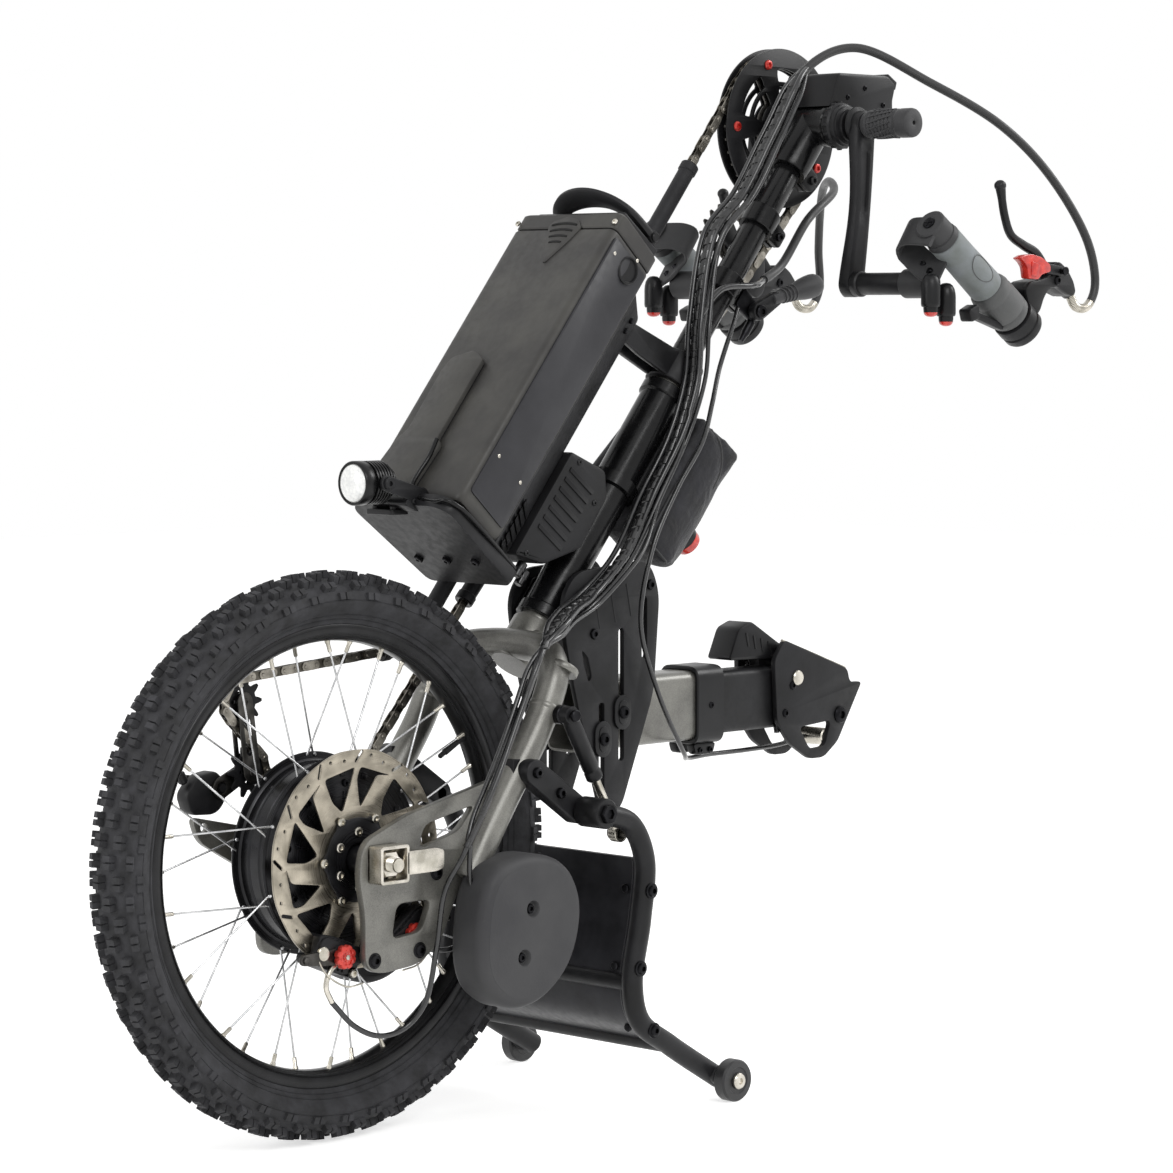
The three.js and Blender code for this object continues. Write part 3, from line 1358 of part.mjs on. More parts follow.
// Mast with its clamp collars
function mast() {
  const pole = mastRod(MAST.radius, MAST.top, MAST.bottom);
  const low = MAST.collarAt - MAST.collarLength / 2;
  const high = MAST.collarAt + MAST.collarLength / 2;
  const collar = mastRod(MAST.collarRadius, low, high);
  const ear = box(
    -MAST.collarRadius - MAST.earLength, 0, -MAST.earWidth / 2, MAST.earWidth / 2, -high, -low,
  );
  const boltReach = MAST.earWidth / 2 + CLIP.wall;
  const bolt = crossRod(
    CLIP.wall, -boltReach, boltReach, -MAST.collarRadius - MAST.earLength / 2, -MAST.collarAt,
  );
  const pinEnd = CRANK.chainLine + IDLER.hubWidth / 2 + OVERRUN;
  const hanger = crossRod(
    IDLER.bossRadius, -CRANK.chainLine + IDLER.hubWidth / 2 + GAP, 0, IDLER.forward, -IDLER.below,
  );
  const pin = crossRod(IDLER.pinRadius, -pinEnd, 0, IDLER.forward, -IDLER.below);
  const holderAt = RELEASE.below;
  const holder = mastRod(
    MAST.collarRadius, holderAt - MAST.collarLength / 2, holderAt + MAST.collarLength / 2,
  );
  const bracket = box(
    RELEASE.forward, 0, RELEASE.inner - GAP - RELEASE.cheek, RELEASE.inner - GAP,
    -holderAt - RELEASE.pivotRadius * 2, RELEASE.pivotRadius * 2 - holderAt,
  );
  const pivot = crossRod(
    RELEASE.pivotRadius, RELEASE.inner - RELEASE.cheek, RELEASE.inner + RELEASE.width + OVERRUN,
    RELEASE.forward + RELEASE.pivotRadius, -holderAt,
  );
  return onMast(join(pole, collar, ear, bolt, hanger, pin, holder, bracket, pivot));
}

function idler() {
  const wheel = toothed(IDLER.teeth, SPROCKET_THICKNESS, -CRANK.chainLine, bearing(IDLER.pinRadius));
  return onMast(wheel.translate(IDLER.forward, 0, -IDLER.below));
}

function crankHousing() {
  const shell = crossRod(CRANK.shellRadius, -CRANK.shellHalf, CRANK.shellHalf, 0, 0, FINE);
  const sleeve = mastRod(MAST.clampRadius, 0, MAST.top + MAST.clampLength);
  const earTop = MAST.top + MAST.clampLength - MAST.collarLength;
  const ear = box(
    -MAST.clampRadius - MAST.earLength, 0, -MAST.earWidth / 2, MAST.earWidth / 2,
    -MAST.top - MAST.clampLength, -earTop,
  );
  const boltReach = MAST.earWidth / 2 + CLIP.wall;
  const boltAt = [-MAST.clampRadius - MAST.earLength / 2, -earTop - MAST.collarLength / 2];
  const bolt = crossRod(CLIP.wall, -boltReach, boltReach, ...boltAt);
  const socket = mastRod(MAST.radius + GAP, MAST.top - GAP, MAST.top + MAST.clampLength + OVERRUN);
  const bore = crossRod(bearing(CRANK.spindleRadius), -CRANK.shellHalf * 2, CRANK.shellHalf * 2);
  return onMast(cut(join(shell, sleeve, ear, bolt), socket, bore));
}

function display() {
  const outline = spread(
    DISPLAY_SHARES, DISPLAY.front - DISPLAY.back, DISPLAY.top - DISPLAY.bottom, DISPLAY.back, DISPLAY.bottom,
  );
  const wedge = sidePlate(rounded(outline, CLIP.wall), -DISPLAY.halfWidth, DISPLAY.halfWidth);
  const seat = crossRod(
    CRANK.shellRadius / Math.cos(Math.PI / FINE) + GAP, -DISPLAY.halfWidth * 2, DISPLAY.halfWidth * 2,
    MAST.crankX, MAST.crankZ, FINE,
  );
  return cut(wedge, seat);
}

// The release lever turns on the mast's lower holder
function releaseLever() {
  const pivot = [RELEASE.forward + RELEASE.pivotRadius, -RELEASE.below];
  const high = RELEASE.inner + RELEASE.width;
  const elbow = [pivot[0] + RELEASE.elbow[0], pivot[1] + RELEASE.elbow[1]];
  const knob = [elbow[0] + RELEASE.knob[0], elbow[1] + RELEASE.knob[1]];
  const body = taper(pivot, elbow, RELEASE.eyeRadius, RELEASE.endRadius);
  body.holes.push(circle(bearing(RELEASE.pivotRadius), COARSE, ...pivot));
  const plate = sidePlate(body, RELEASE.inner, high);
  const middle = (RELEASE.inner + high) / 2;
  const gripRod = rod(
    [elbow[0], middle, elbow[1]], [knob[0], middle, knob[1]], RELEASE.gripRadius, COARSE, RELEASE.tipRadius,
  );
  return onMast(join(plate, gripRod));
}

// Battery, its bail, and the dock that holds them
const batteryBottom = BATTERY.top + BATTERY.length;

function batteryCase() {
  const outline = spread(
    BATTERY_SHARES, BATTERY.front - BATTERY.back, BATTERY.length, BATTERY.back, -batteryBottom,
  );
  const side = sidePlate(rounded(outline, BATTERY.corner), -BATTERY.halfWidth, BATTERY.halfWidth);
  const plan = rounded([
    [BATTERY.back, -BATTERY.backHalfWidth],
    [BATTERY.front, -BATTERY.halfWidth],
    [BATTERY.front, BATTERY.halfWidth],
    [BATTERY.back, BATTERY.backHalfWidth],
  ], BATTERY.corner * 2);
  const above = BATTERY.top - BATTERY.capHeight;
  const body = common(side, mastPlate(plan, above, batteryBottom + OVERRUN));
  const seamAt = BATTERY.top + BATTERY.seam;
  const seam = cut(
    box(0, BATTERY.front * 2, -BATTERY.front, BATTERY.front, -seamAt - BATTERY.seamWidth, -seamAt),
    mastPlate(
      inset(plan, BATTERY, BATTERY.seamDepth), seamAt - OVERRUN, seamAt + BATTERY.seamWidth + OVERRUN,
    ),
  );
  const vents = BATTERY_VENTS.map((share) => {
    const at = BATTERY.top + BATTERY.seam * share;
    return box(
      BATTERY.front - BATTERY.seamDepth * 2, BATTERY.front + OVERRUN, -BATTERY.ventHalf, BATTERY.ventHalf,
      -at - BATTERY.ventHeight, -at,
    );
  });
  const lugs = [1, -1].map((side) => {
    const inner = BAIL.lugInner;
    const [low, high] = side > 0 ? [inner, inner + BAIL.lugWidth] : [-inner - BAIL.lugWidth, -inner];
    return box(
      BAIL.pivot - BAIL.eyeRadius, BAIL.pivot + BAIL.eyeRadius, low, high, -BATTERY.top - OVERRUN,
      -BAIL.at + BAIL.eyeRadius,
    );
  });
  const pins = [1, -1].map((side) => {
    const [from, to] = [BAIL.lugInner, BAIL.lugInner + BAIL.lugWidth + BAIL.width - GAP];
    return crossRod(
      BAIL.pinRadius, side > 0 ? from : -to, side > 0 ? to : -from, BAIL.pivot, -BAIL.at, COARSE / 2,
    );
  });
  const lock = crossRod(
    BATTERY.lockRadius, 0, BATTERY.halfWidth + GAP * 2, BATTERY.lockForward, -BATTERY.lockAt,
  );
  return onMast(join(cut(body, seam, vents), lugs, pins, lock));
}

// The battery's plan, drawn in by a depth, for the groove of its cap
function inset(plan, size, depth) {
  return rounded([
    [size.back + depth, depth - size.backHalfWidth],
    [size.front - depth, depth - size.halfWidth],
    [size.front - depth, size.halfWidth - depth],
    [size.back + depth, size.backHalfWidth - depth],
  ], size.corner * 2);
}

function batteryHandle() {
  const inner = BAIL.lugInner + BAIL.lugWidth + GAP;
  const outer = inner + BAIL.width;
  const back = BAIL.pivot - BAIL.eyeRadius;
  const front = BATTERY.front - BAIL.setback;
  const outline = rounded([
    [back, outer], [front, outer], [front + BAIL.bow, 0], [front, -outer], [back, -outer],
    [back, -inner], [front - BAIL.width * 2, -inner], [front - BAIL.width * 2 + BAIL.bow, 0],
    [front - BAIL.width * 2, inner], [back, inner],
  ], BAIL.width);
  const strap = mastPlate(outline, BAIL.at - BAIL.thickness / 2, BAIL.at + BAIL.thickness / 2);
  const holes = crossRod(BAIL.pinRadius + RUNNING, -outer * 2, outer * 2, BAIL.pivot, -BAIL.at, COARSE);
  return onMast(cut(strap, holes));
}

function batteryDock() {
  const plan = rounded([
    [DOCK.back, -DOCK.stemHalf * 2],
    [BATTERY.back - GAP, -DOCK.halfWidth],
    [BATTERY.back - GAP, DOCK.halfWidth],
    [DOCK.back, DOCK.stemHalf * 2],
  ], DOCK.lip);
  const back = mastPlate(plan, DOCK.top, batteryBottom + GAP + DOCK.baseThickness);
  const base = box(
    DOCK.back + DOCK.lip, BATTERY.front + GAP + DOCK.strapThickness, -DOCK.halfWidth, DOCK.halfWidth,
    -batteryBottom - GAP - DOCK.baseThickness, -batteryBottom - GAP,
  );
  const low = DOCK.strapShift - DOCK.strapWidth / 2;
  const strap = box(
    BATTERY.front + GAP, BATTERY.front + GAP + DOCK.strapThickness, low, low + DOCK.strapWidth,
    -batteryBottom - GAP * 2, -DOCK.strapTop,
  );
  const collarTop = FORK.steererTop;
  const collar = mastRod(DOCK.collarRadius, collarTop, collarTop + DOCK.collarLength);
  const stem = box(
    0, DOCK.back + DOCK.lip * 2, -DOCK.stemHalf, DOCK.stemHalf, -collarTop - DOCK.collarLength, -collarTop,
  );
  const bore = mastRod(
    FORK.steererRadius + GAP, collarTop - OVERRUN, collarTop + DOCK.collarLength + OVERRUN,
  );
  const clipReach = DOCK.back + DOCK.lip * 2;
  const clip = box(
    clipReach - DOCK.clipDepth, clipReach, -DOCK.halfWidth - DOCK.clipOut, -DOCK.stemHalf,
    -CLIP.frontAt - CLIP.length, -CLIP.frontAt,
  );
  const whole = onMast(cut(join(back, base, strap, collar, stem, clip), bore));
  const lampBack = LAMP.x - LAMP.armThickness;
  const near = LAMP.radius + GAP * 2;
  const far = near + LAMP.armThickness;
  const arms = [[near, far], [-far, -near]].map(([from, to]) =>
    sidePlate(
      slot(
        [lampBack - LAMP.armWidth, LAMP.z - LAMP.armDrop], [LAMP.x + LAMP.length / 2, LAMP.z],
        LAMP.armWidth / 2,
      ),
      from, to,
    ),
  );
  const bridge = box(
    lampBack - LAMP.bridge, lampBack, -far, far, LAMP.z - LAMP.armWidth, LAMP.z - LAMP.armWidth / 4,
  );
  const holes = crossRod(bearing(LAMP.pivotRadius), -far * 2, far * 2, LAMP.x + LAMP.length / 2, LAMP.z);
  return cut(join(whole, arms, bridge), frontTubeHole(), holes, onMast(batteryClear()));
}

// The room that the battery takes in its dock
function batteryClear() {
  return box(
    BATTERY.back - GAP, BATTERY.front + GAP, -BATTERY.halfWidth * 2, BATTERY.halfWidth * 2,
    -batteryBottom - GAP, OVERRUN - BATTERY.top,
  );
}

function controllerBox() {
  const outline = spread(
    CONTROLLER_SHARES, CONTROLLER.front - CONTROLLER.back, CONTROLLER.bottom - CONTROLLER.top,
    CONTROLLER.back, -CONTROLLER.bottom,
  );
  const body = sidePlate(rounded(outline, CONTROLLER.corner), -CONTROLLER.halfWidth, CONTROLLER.halfWidth);
  const clip = box(
    CONTROLLER.back - CONTROLLER.clipBack, CONTROLLER.back + CONTROLLER.clipFront,
    -COG.chainLine - CHAIN_TUBE.radius - CLIP.wall, -CONTROLLER.halfWidth / 2,
    -CLIP.rearAt - CLIP.length, -CLIP.rearAt,
  );
  return cut(onMast(join(body, clip)), rearTubeHole());
}

function headlight() {
  const profile = [];
  const room = LAMP.length - LAMP.lensDepth - GAP;
  profile.push([0, 0], [LAMP.radius * LAMP.backShare, 0]);
  profile.push([LAMP.radius, room * LAMP.taperShare], [LAMP.radius, LAMP.length]);
  const inside = LAMP.radius - LAMP.rim;
  profile.push([inside, LAMP.length], [inside, room], [0, room]);
  const body = alongX(turned(profile, FINE));
  const reach = LAMP.radius + LAMP.armThickness;
  const pins = crossRod(LAMP.pivotRadius, -reach, reach, LAMP.x + LAMP.length / 2, LAMP.z);
  const hollow = alongX(
    turned([[0, room], [inside, room], [inside, LAMP.length * 2], [0, LAMP.length * 2]], FINE),
  );
  return cut(join(body, pins), hollow);
}

// A piece turned about Y from zero is laid along X at the lamp's place
function alongX(geometry) {
  return geometry.rotateZ(-Math.PI / 2).translate(LAMP.x, 0, LAMP.z);
}

function headlightLens() {
  const inside = LAMP.radius - LAMP.rim - GAP;
  const room = LAMP.length - LAMP.lensDepth;
  return alongX(turned([
    [0, room],
    [inside, room],
    [inside, LAMP.length - GAP],
    [inside * LAMP.backShare, LAMP.length + LAMP.lensDepth / 2],
    [0, LAMP.length + LAMP.lensDepth],
  ], FINE));
}

function bag() {
  const outline = spread(BAG_SHARES, BAG.far - BAG.near, BAG.bottom - BAG.top, -BAG.far, -BAG.bottom);
  const side = sidePlate(rounded(outline, BAG.corner), BAG.right, BAG.left);
  const plan = rounded([
    [-BAG.far, BAG.right], [-BAG.near, BAG.right], [-BAG.near, BAG.left], [-BAG.far, BAG.left],
  ], BAG.corner);
  const body = common(side, mastPlate(plan, BAG.top - OVERRUN, BAG.bottom + OVERRUN));
  const pad = box(
    -BAG.near - BAG.corner, -HEAD.radius - GAP, -BAG.padHalf, BAG.padHalf, -BAG.padBottom, -BAG.padTop,
  );
  const round = mastRod(HEAD.radius + GAP, BAG.top - OVERRUN, BAG.bottom + OVERRUN);
  return onMast(cut(join(body, pad), round));
}

function tailLight() {
  const [x, , z] = mastToMachine(-BAG.far - GAP, TAIL_LAMP.below);
  const profile = [
    [0, 0],
    [TAIL_LAMP.radius, 0],
    [TAIL_LAMP.radius, TAIL_LAMP.depth / 2],
    [TAIL_LAMP.radius / 2, TAIL_LAMP.depth],
    [0, TAIL_LAMP.depth],
  ];
  const lamp = turned(profile, FINE).rotateZ(Math.PI / 2);
  return lamp.rotateY(-leanAngle).translate(x, (BAG.left + BAG.right) / 2, z);
}

// Chainring between its two guards, and the crank arms
function chainring() {
  const unit = TURN / RING.bolts;
  const bore = CRANK.spindleRadius + GAP;
  const windows = [];
  for (let i = 0; i < RING.bolts; i++) {
    windows.push(polar(RING_WINDOW_SHARES, ringRadius, unit, i + 0.5, RING.windowCorner));
  }
  const ring = toothed(RING.teeth, SPROCKET_THICKNESS, -CRANK.chainLine, bore, windows);
  const guards = [1, -1].map((side) => {
    const shape = circle(RING.guardRadius, FINE * 2);
    shape.holes.push(circle(RING.guardEye, FINE));
    const from = side * RING.guardGap - CRANK.chainLine;
    const to = from + side * RING.guardThickness;
    return sidePlate(shape, Math.min(from, to), Math.max(from, to));
  });
  const reach = RING.guardGap + RING.guardThickness;
  const bosses = [];
  for (let i = 0; i < RING.bolts; i++) {
    const x = RING.boltCircle * Math.cos(i * unit);
    const z = RING.boltCircle * Math.sin(i * unit);
    const low = -CRANK.chainLine - reach - RING.boltRise;
    bosses.push(crossRod(RING.boltRadius, low, reach + RING.boltRise - CRANK.chainLine, x, z, COARSE / 2));
  }
  const hub = cut(
    crossRod(RING.hubRadius, -CRANK.armInner + GAP * 2, reach - CRANK.chainLine, 0, 0, FINE),
    crossRod(bore, -CRANK.armInner * 2, 0, 0, 0, COARSE),
  );
  return join(ring, guards, bosses, hub).translate(MAST.crankX, 0, MAST.crankZ);
}

const armTilt = radians(CRANK.armTilt);
const handleX = MAST.crankX + CRANK.armLength * Math.sin(armTilt);
const handleZ = MAST.crankZ - CRANK.armLength * Math.cos(armTilt);
const armOuterFace = CRANK.armInner + CRANK.armThickness;

function crankArm() {
  const link = taper([MAST.crankX, MAST.crankZ], [handleX, handleZ], CRANK.rootRadius, CRANK.tipRadius);
  const plate = sidePlate(link, CRANK.armInner, armOuterFace);
  const pin = crossRod(CRANK.handleRadius, CRANK.armInner + OVERRUN, CRANK.handleReach, handleX, handleZ);
  return join(plate, pin);
}

function crankRight() {
  const spindle = crossRod(
    CRANK.spindleRadius, -CRANK.armInner - OVERRUN, armOuterFace - GAP, MAST.crankX, MAST.crankZ,
  );
  return join(mirrored(crankArm()), spindle);
}

// The left arm turns on the spindle, and a rest for the idle hand stands out where the two meet
function crankLeft() {
  const hole = crossRod(CRANK.spindleRadius + GAP, 0, armOuterFace, MAST.crankX, MAST.crankZ);
  const rest = turned([
    [0, armOuterFace - OVERRUN],
    [CRANK.rootRadius - OVERRUN, armOuterFace - OVERRUN],
    [CRANK.restRadius, armOuterFace + OVERRUN],
    [CRANK.restRadius, armOuterFace + CRANK.restLength],
    [0, armOuterFace + CRANK.restLength],
  ], FINE).translate(MAST.crankX, 0, MAST.crankZ);
  return cut(join(crankArm(), rest), hole);
}

// Handles: a bearing on the crank's pin, a yoke, a grip on a core, and a perch for the brake lever
const gripTop = [HANDLE.gripTopX, HANDLE.gripTopZ];
const gripBottom = [HANDLE.gripBottomX, HANDLE.gripBottomZ];
const gripLength = Math.hypot(gripTop[0] - gripBottom[0], gripTop[1] - gripBottom[1]);
const gripWay = [(gripBottom[0] - gripTop[0]) / gripLength, (gripBottom[1] - gripTop[1]) / gripLength];
const alongGrip = (distance, offset = 0) => [
  gripTop[0] + gripWay[0] * distance - gripWay[1] * offset,
  gripTop[1] + gripWay[1] * distance + gripWay[0] * offset,
];

function gripRod(from, to, radius, sides = COARSE, endRadius = radius) {
  const [a, b] = [alongGrip(from), alongGrip(to)];
  return rod([a[0], HANDLE.middle, a[1]], [b[0], HANDLE.middle, b[1]], radius, sides, endRadius);
}

function handleFrame(withButtons) {
  const low = HANDLE.middle - HANDLE.yokeHalf;
  const high = HANDLE.middle + HANDLE.yokeHalf;
  const yokePoint = ([across, up]) => [
    handleX + across * HANDLE.yokeWidth, handleZ + up * HANDLE.yokeHeight,
  ];
  const outer = rounded(YOKE_SHARES.map(yokePoint), HANDLE.yokeCorner);
  const strap = sidePlate(outer, low, high);
  const gripRoom = gripRod(-GAP, gripLength, HANDLE.gripEndRadius + GAP, COARSE);
  const relief = sidePlate(
    rounded(YOKE_RELIEF_SHARES.map(yokePoint), HANDLE.yokeCorner / 2), low - OVERRUN, high + OVERRUN,
  );
  const barrel = crossRod(HANDLE.bearingRadius, low, high, handleX, handleZ, FINE);
  const core = gripRod(-HANDLE.wall, gripLength + HANDLE.wall, HANDLE.coreRadius);
  const cap = gripRod(-HANDLE.wall - GAP, -GAP, HANDLE.gripRadius);
  const collar = gripRod(gripLength + GAP, gripLength + HANDLE.collarLength, HANDLE.capRadius);
  const perch = sidePlate(
    rounded(PERCH_SHARES.map(perchPoint), 0), HANDLE.middle - LEVER.perchHalf,
    HANDLE.middle + LEVER.perchHalf,
  );
  const notch = sidePlate(
    rounded(NOTCH_SHARES.map(perchPoint), 0), HANDLE.middle - LEVER.blade / 2 - RUNNING,
    HANDLE.middle + LEVER.blade / 2 + RUNNING,
  );
  const pinHole = crossRod(bearing(LEVER.pivotRadius), low, high + LEVER.perchHalf, ...leverPivot());
  const axleBore = crossRod(bearing(CRANK.handleRadius), low - OVERRUN, high + OVERRUN, handleX, handleZ);
  const pieces = [cut(strap, relief, gripRoom), barrel, core, cap, collar, cut(perch, notch, pinHole)];
  const cuts = [axleBore];
  if (withButtons) {
    const [lockX, lockZ] = lockPivot();
    const cheek = HANDLE.middle + LEVER.blade / 2 + RUNNING * 2;
    pieces.push(
      crossRod(LOCK.pinRadius, cheek, HANDLE.middle + LEVER.perchHalf + LOCK.width + GAP, lockX, lockZ),
    );
  }
  BUTTONS.forEach(({ x, z }) => {
    const socketTop = z + HANDLE.buttonTravel + GAP;
    const block = rod(
      [x, HANDLE.middle, z - HANDLE.socketDepth], [x, HANDLE.middle, handleZ],
      HANDLE.buttonRadius + HANDLE.wall / 2,
    );
    pieces.push(cut(block, crossRod(HANDLE.bearingRadius - GAP, low, high, handleX, handleZ, FINE)));
    if (withButtons) {
      cuts.push(
        rod(
          [x, HANDLE.middle, z - HANDLE.buttonLength], [x, HANDLE.middle, socketTop],
          HANDLE.buttonRadius + GAP,
        ),
      );
    } else {
      pieces.push(
        rod([x, HANDLE.middle, z - HANDLE.buttonLength], [x, HANDLE.middle, z], HANDLE.buttonRadius),
      );
    }
  });
  return cut(join(pieces), cuts);
}

function handleButton({ x, z }) {
  return rod([x, HANDLE.middle, z - HANDLE.buttonLength], [x, HANDLE.middle, z], HANDLE.buttonRadius);
}

function handleGrip() {
  const bore = (HANDLE.coreRadius + GAP) / Math.cos(Math.PI / FINE);
  const step = gripLength * HANDLE.lightShare;
  const profile = [
    [bore, 0],
    [HANDLE.gripRadius, 0],
    [HANDLE.gripRadius, step],
    [HANDLE.gripEndRadius, step + HANDLE.wall],
    [HANDLE.gripEndRadius, gripLength - HANDLE.wall],
    [HANDLE.gripRadius, gripLength],
    [bore, gripLength],
  ];
  const turn = new THREE.Quaternion().setFromUnitVectors(vector(0, 1, 0), vector(gripWay[0], 0, gripWay[1]));
  return turned(profile).applyQuaternion(turn).translate(gripTop[0], HANDLE.middle, gripTop[1]);
}

const perchPoint = ([along, out]) => alongGrip(
  gripLength + along * LEVER.perchLength, -out * LEVER.perchHeight,
);
const lockPivot = () => perchPoint(LOCK_SHARES);
const leverPivot = () => perchPoint(LEVER_SHARES[0]);

function brakeLever() {
  const path = LEVER_SHARES.map(perchPoint);
  const left = [];
  const right = [];
  path.forEach((point, i) => {
    const before = path[Math.max(i - 1, 0)];
    const after = path[Math.min(i + 1, path.length - 1)];
    const way = [after[0] - before[0], after[1] - before[1]];
    const size = (LEVER.width / 2) * (1 - (LEVER.thinning * i) / path.length) / Math.hypot(...way);
    left.push([point[0] - way[1] * size, point[1] + way[0] * size]);
    right.unshift([point[0] + way[1] * size, point[1] - way[0] * size]);
  });
  const blade = sidePlate(
    rounded([...left, ...right], LEVER.width / 4), HANDLE.middle - LEVER.blade / 2,
    HANDLE.middle + LEVER.blade / 2,
  );
  const eye = crossRod(
    LEVER.eyeRadius, HANDLE.middle - LEVER.blade / 2, HANDLE.middle + LEVER.blade / 2, ...leverPivot(),
  );
  const pin = crossRod(
    LEVER.pivotRadius, HANDLE.middle - LEVER.perchHalf, HANDLE.middle + LEVER.perchHalf, ...leverPivot(),
  );
  return join(blade, eye, pin);
}

function parkingLock() {
  const low = HANDLE.middle + LEVER.perchHalf + GAP;
  const [x, z] = lockPivot();
  const tip = perchPoint(LOCK_TIP_SHARES);
  const shape = taper([x, z], tip, LOCK.height / 2, LOCK.height / 3);
  shape.holes.push(circle(bearing(LOCK.pinRadius), COARSE, x, z));
  return sidePlate(shape, low, low + LOCK.width);
}

// Parking stand with its guard and rollers, and the strut that steadies it
const standPath = STAND_SHARES.map(([back, down]) => [
  STAND.pivotX - back * STAND.setback, STAND.pivotZ - down * STAND.height,
]);

function stand() {
  const legs = [1, -1].flatMap((side) => {
    const points = standPath.map(([x, z]) => [x, side * STAND.offset, z]);
    const [low, high] = side > 0
      ? [STAND.earInner, STAND.offset + STAND.tubeRadius]
      : [-STAND.offset - STAND.tubeRadius, -STAND.earInner];
    const ear = crossRod(STAND.earRadius, low, high, STAND.pivotX, STAND.pivotZ);
    const foot = standPath[standPath.length - 1];
    const pinEnd = STAND.offset + STAND.tubeRadius + STAND.rollerWidth + 2 * OVERRUN;
    const [pinLow, pinHigh] = side > 0 ? [STAND.offset, pinEnd] : [-pinEnd, -STAND.offset];
    return [
      tube(points, STAND.tubeRadius, STAND.steps, STAND.sides), ear,
      crossRod(STAND.rollerPin, pinLow, pinHigh, ...foot),
    ];
  });
  const [first, last] = GUARD_SHARES.map((share) => Math.round(share * (standPath.length - 1)));
  const middle = standPath.slice(first, last + 1);
  const front = middle.map(([x, z]) => [x + GUARD.thickness / 2, z]);
  const back = middle.map(([x, z]) => [x - GUARD.thickness / 2, z]).reverse();
  const guard = sidePlate(rounded([...front, ...back], 0), -STAND.offset, STAND.offset);
  const rungs = [Math.round((first + last) / 2), last].map((i) =>
    crossRod(STAND.tubeRadius * GUARD.rungShare, -STAND.offset, STAND.offset, ...standPath[i]),
  );
  const strutPin = crossRod(
    STRUT.pinRadius, STRUT.middle - STRUT.halfWidth - OVERRUN, STAND.offset, STRUT.eyeX, STRUT.eyeZ,
  );
  const bores = crossRod(
    bearing(STAND.pinRadius), -STAND.offset * 2, STAND.offset * 2, STAND.pivotX, STAND.pivotZ,
  );
  return cut(join(legs, guard, rungs, strutPin), bores);
}

function roller(side) {
  const foot = standPath[standPath.length - 1];
  const low = STAND.offset + STAND.tubeRadius + OVERRUN / 2;
  const bore = STAND.rollerPin + RUNNING;
  const wheel = turned([
    [bore, low],
    [STAND.rollerRadius, low],
    [STAND.rollerRadius, low + STAND.rollerWidth],
    [bore, low + STAND.rollerWidth],
  ], FINE).translate(foot[0], 0, foot[1]);
  return side > 0 ? wheel : mirrored(wheel);
}

const strutTop = [STRUT.topX, STRUT.topZ];
const strutEye = [STRUT.eyeX, STRUT.eyeZ];
const strutLength = Math.hypot(strutTop[0] - strutEye[0], strutTop[1] - strutEye[1]);
const onStrut = (distance) => {
  const share = distance / strutLength;
  return [
    strutTop[0] + (strutEye[0] - strutTop[0]) * share,
    STRUT.middle,
    strutTop[1] + (strutEye[1] - strutTop[1]) * share,
  ];
};

function strutCylinder() {
  const low = STRUT.middle - STRUT.halfWidth;
  const high = STRUT.middle + STRUT.halfWidth;
  const eye = crossRod(STRUT.eyeRadius, low, high, ...strutTop);
  const body = rod(onStrut(0), onStrut(STRUT.bodyLength), STRUT.radius);
  const bore = rod(onStrut(STRUT.boreStart), onStrut(STRUT.bodyLength + OVERRUN), STRUT.rodRadius + RUNNING);
  const hole = crossRod(bearing(STRUT.pinRadius), low - OVERRUN * 2, high + OVERRUN * 2, ...strutTop);
  return cut(join(eye, body), bore, hole);
}

function strutRod() {
  const low = STRUT.middle - STRUT.halfWidth;
  const high = STRUT.middle + STRUT.halfWidth;
  const eye = crossRod(STRUT.eyeRadius, low, high, ...strutEye);
  const body = rod(onStrut(strutLength), onStrut(strutLength - STRUT.rodLength), STRUT.rodRadius);
  const hole = crossRod(STRUT.pinRadius + STRUT.play, low - OVERRUN, high + OVERRUN, ...strutEye);
  return cut(join(eye, body), hole);
}

// Cords
function cableHarness() {
  const main = tube(HARNESS_LEFT, HARNESS_RADIUS, Math.round(HARNESS_LEFT.length * CORD_STEPS), CORD_SIDES);
  const branch = tube(
    HARNESS_RIGHT, HARNESS_RADIUS, Math.round(HARNESS_RIGHT.length * CORD_STEPS), CORD_SIDES,
  );
  const hose = tube(BRAKE_HOSE, HOSE_RADIUS, Math.round(BRAKE_HOSE.length * CORD_STEPS), CORD_SIDES);
  return join(main, branch, hose);
}

function releaseCable() {
  return tube(RELEASE_CABLE, HOSE_RADIUS, Math.round(RELEASE_CABLE.length * CORD_STEPS), CORD_SIDES);
}

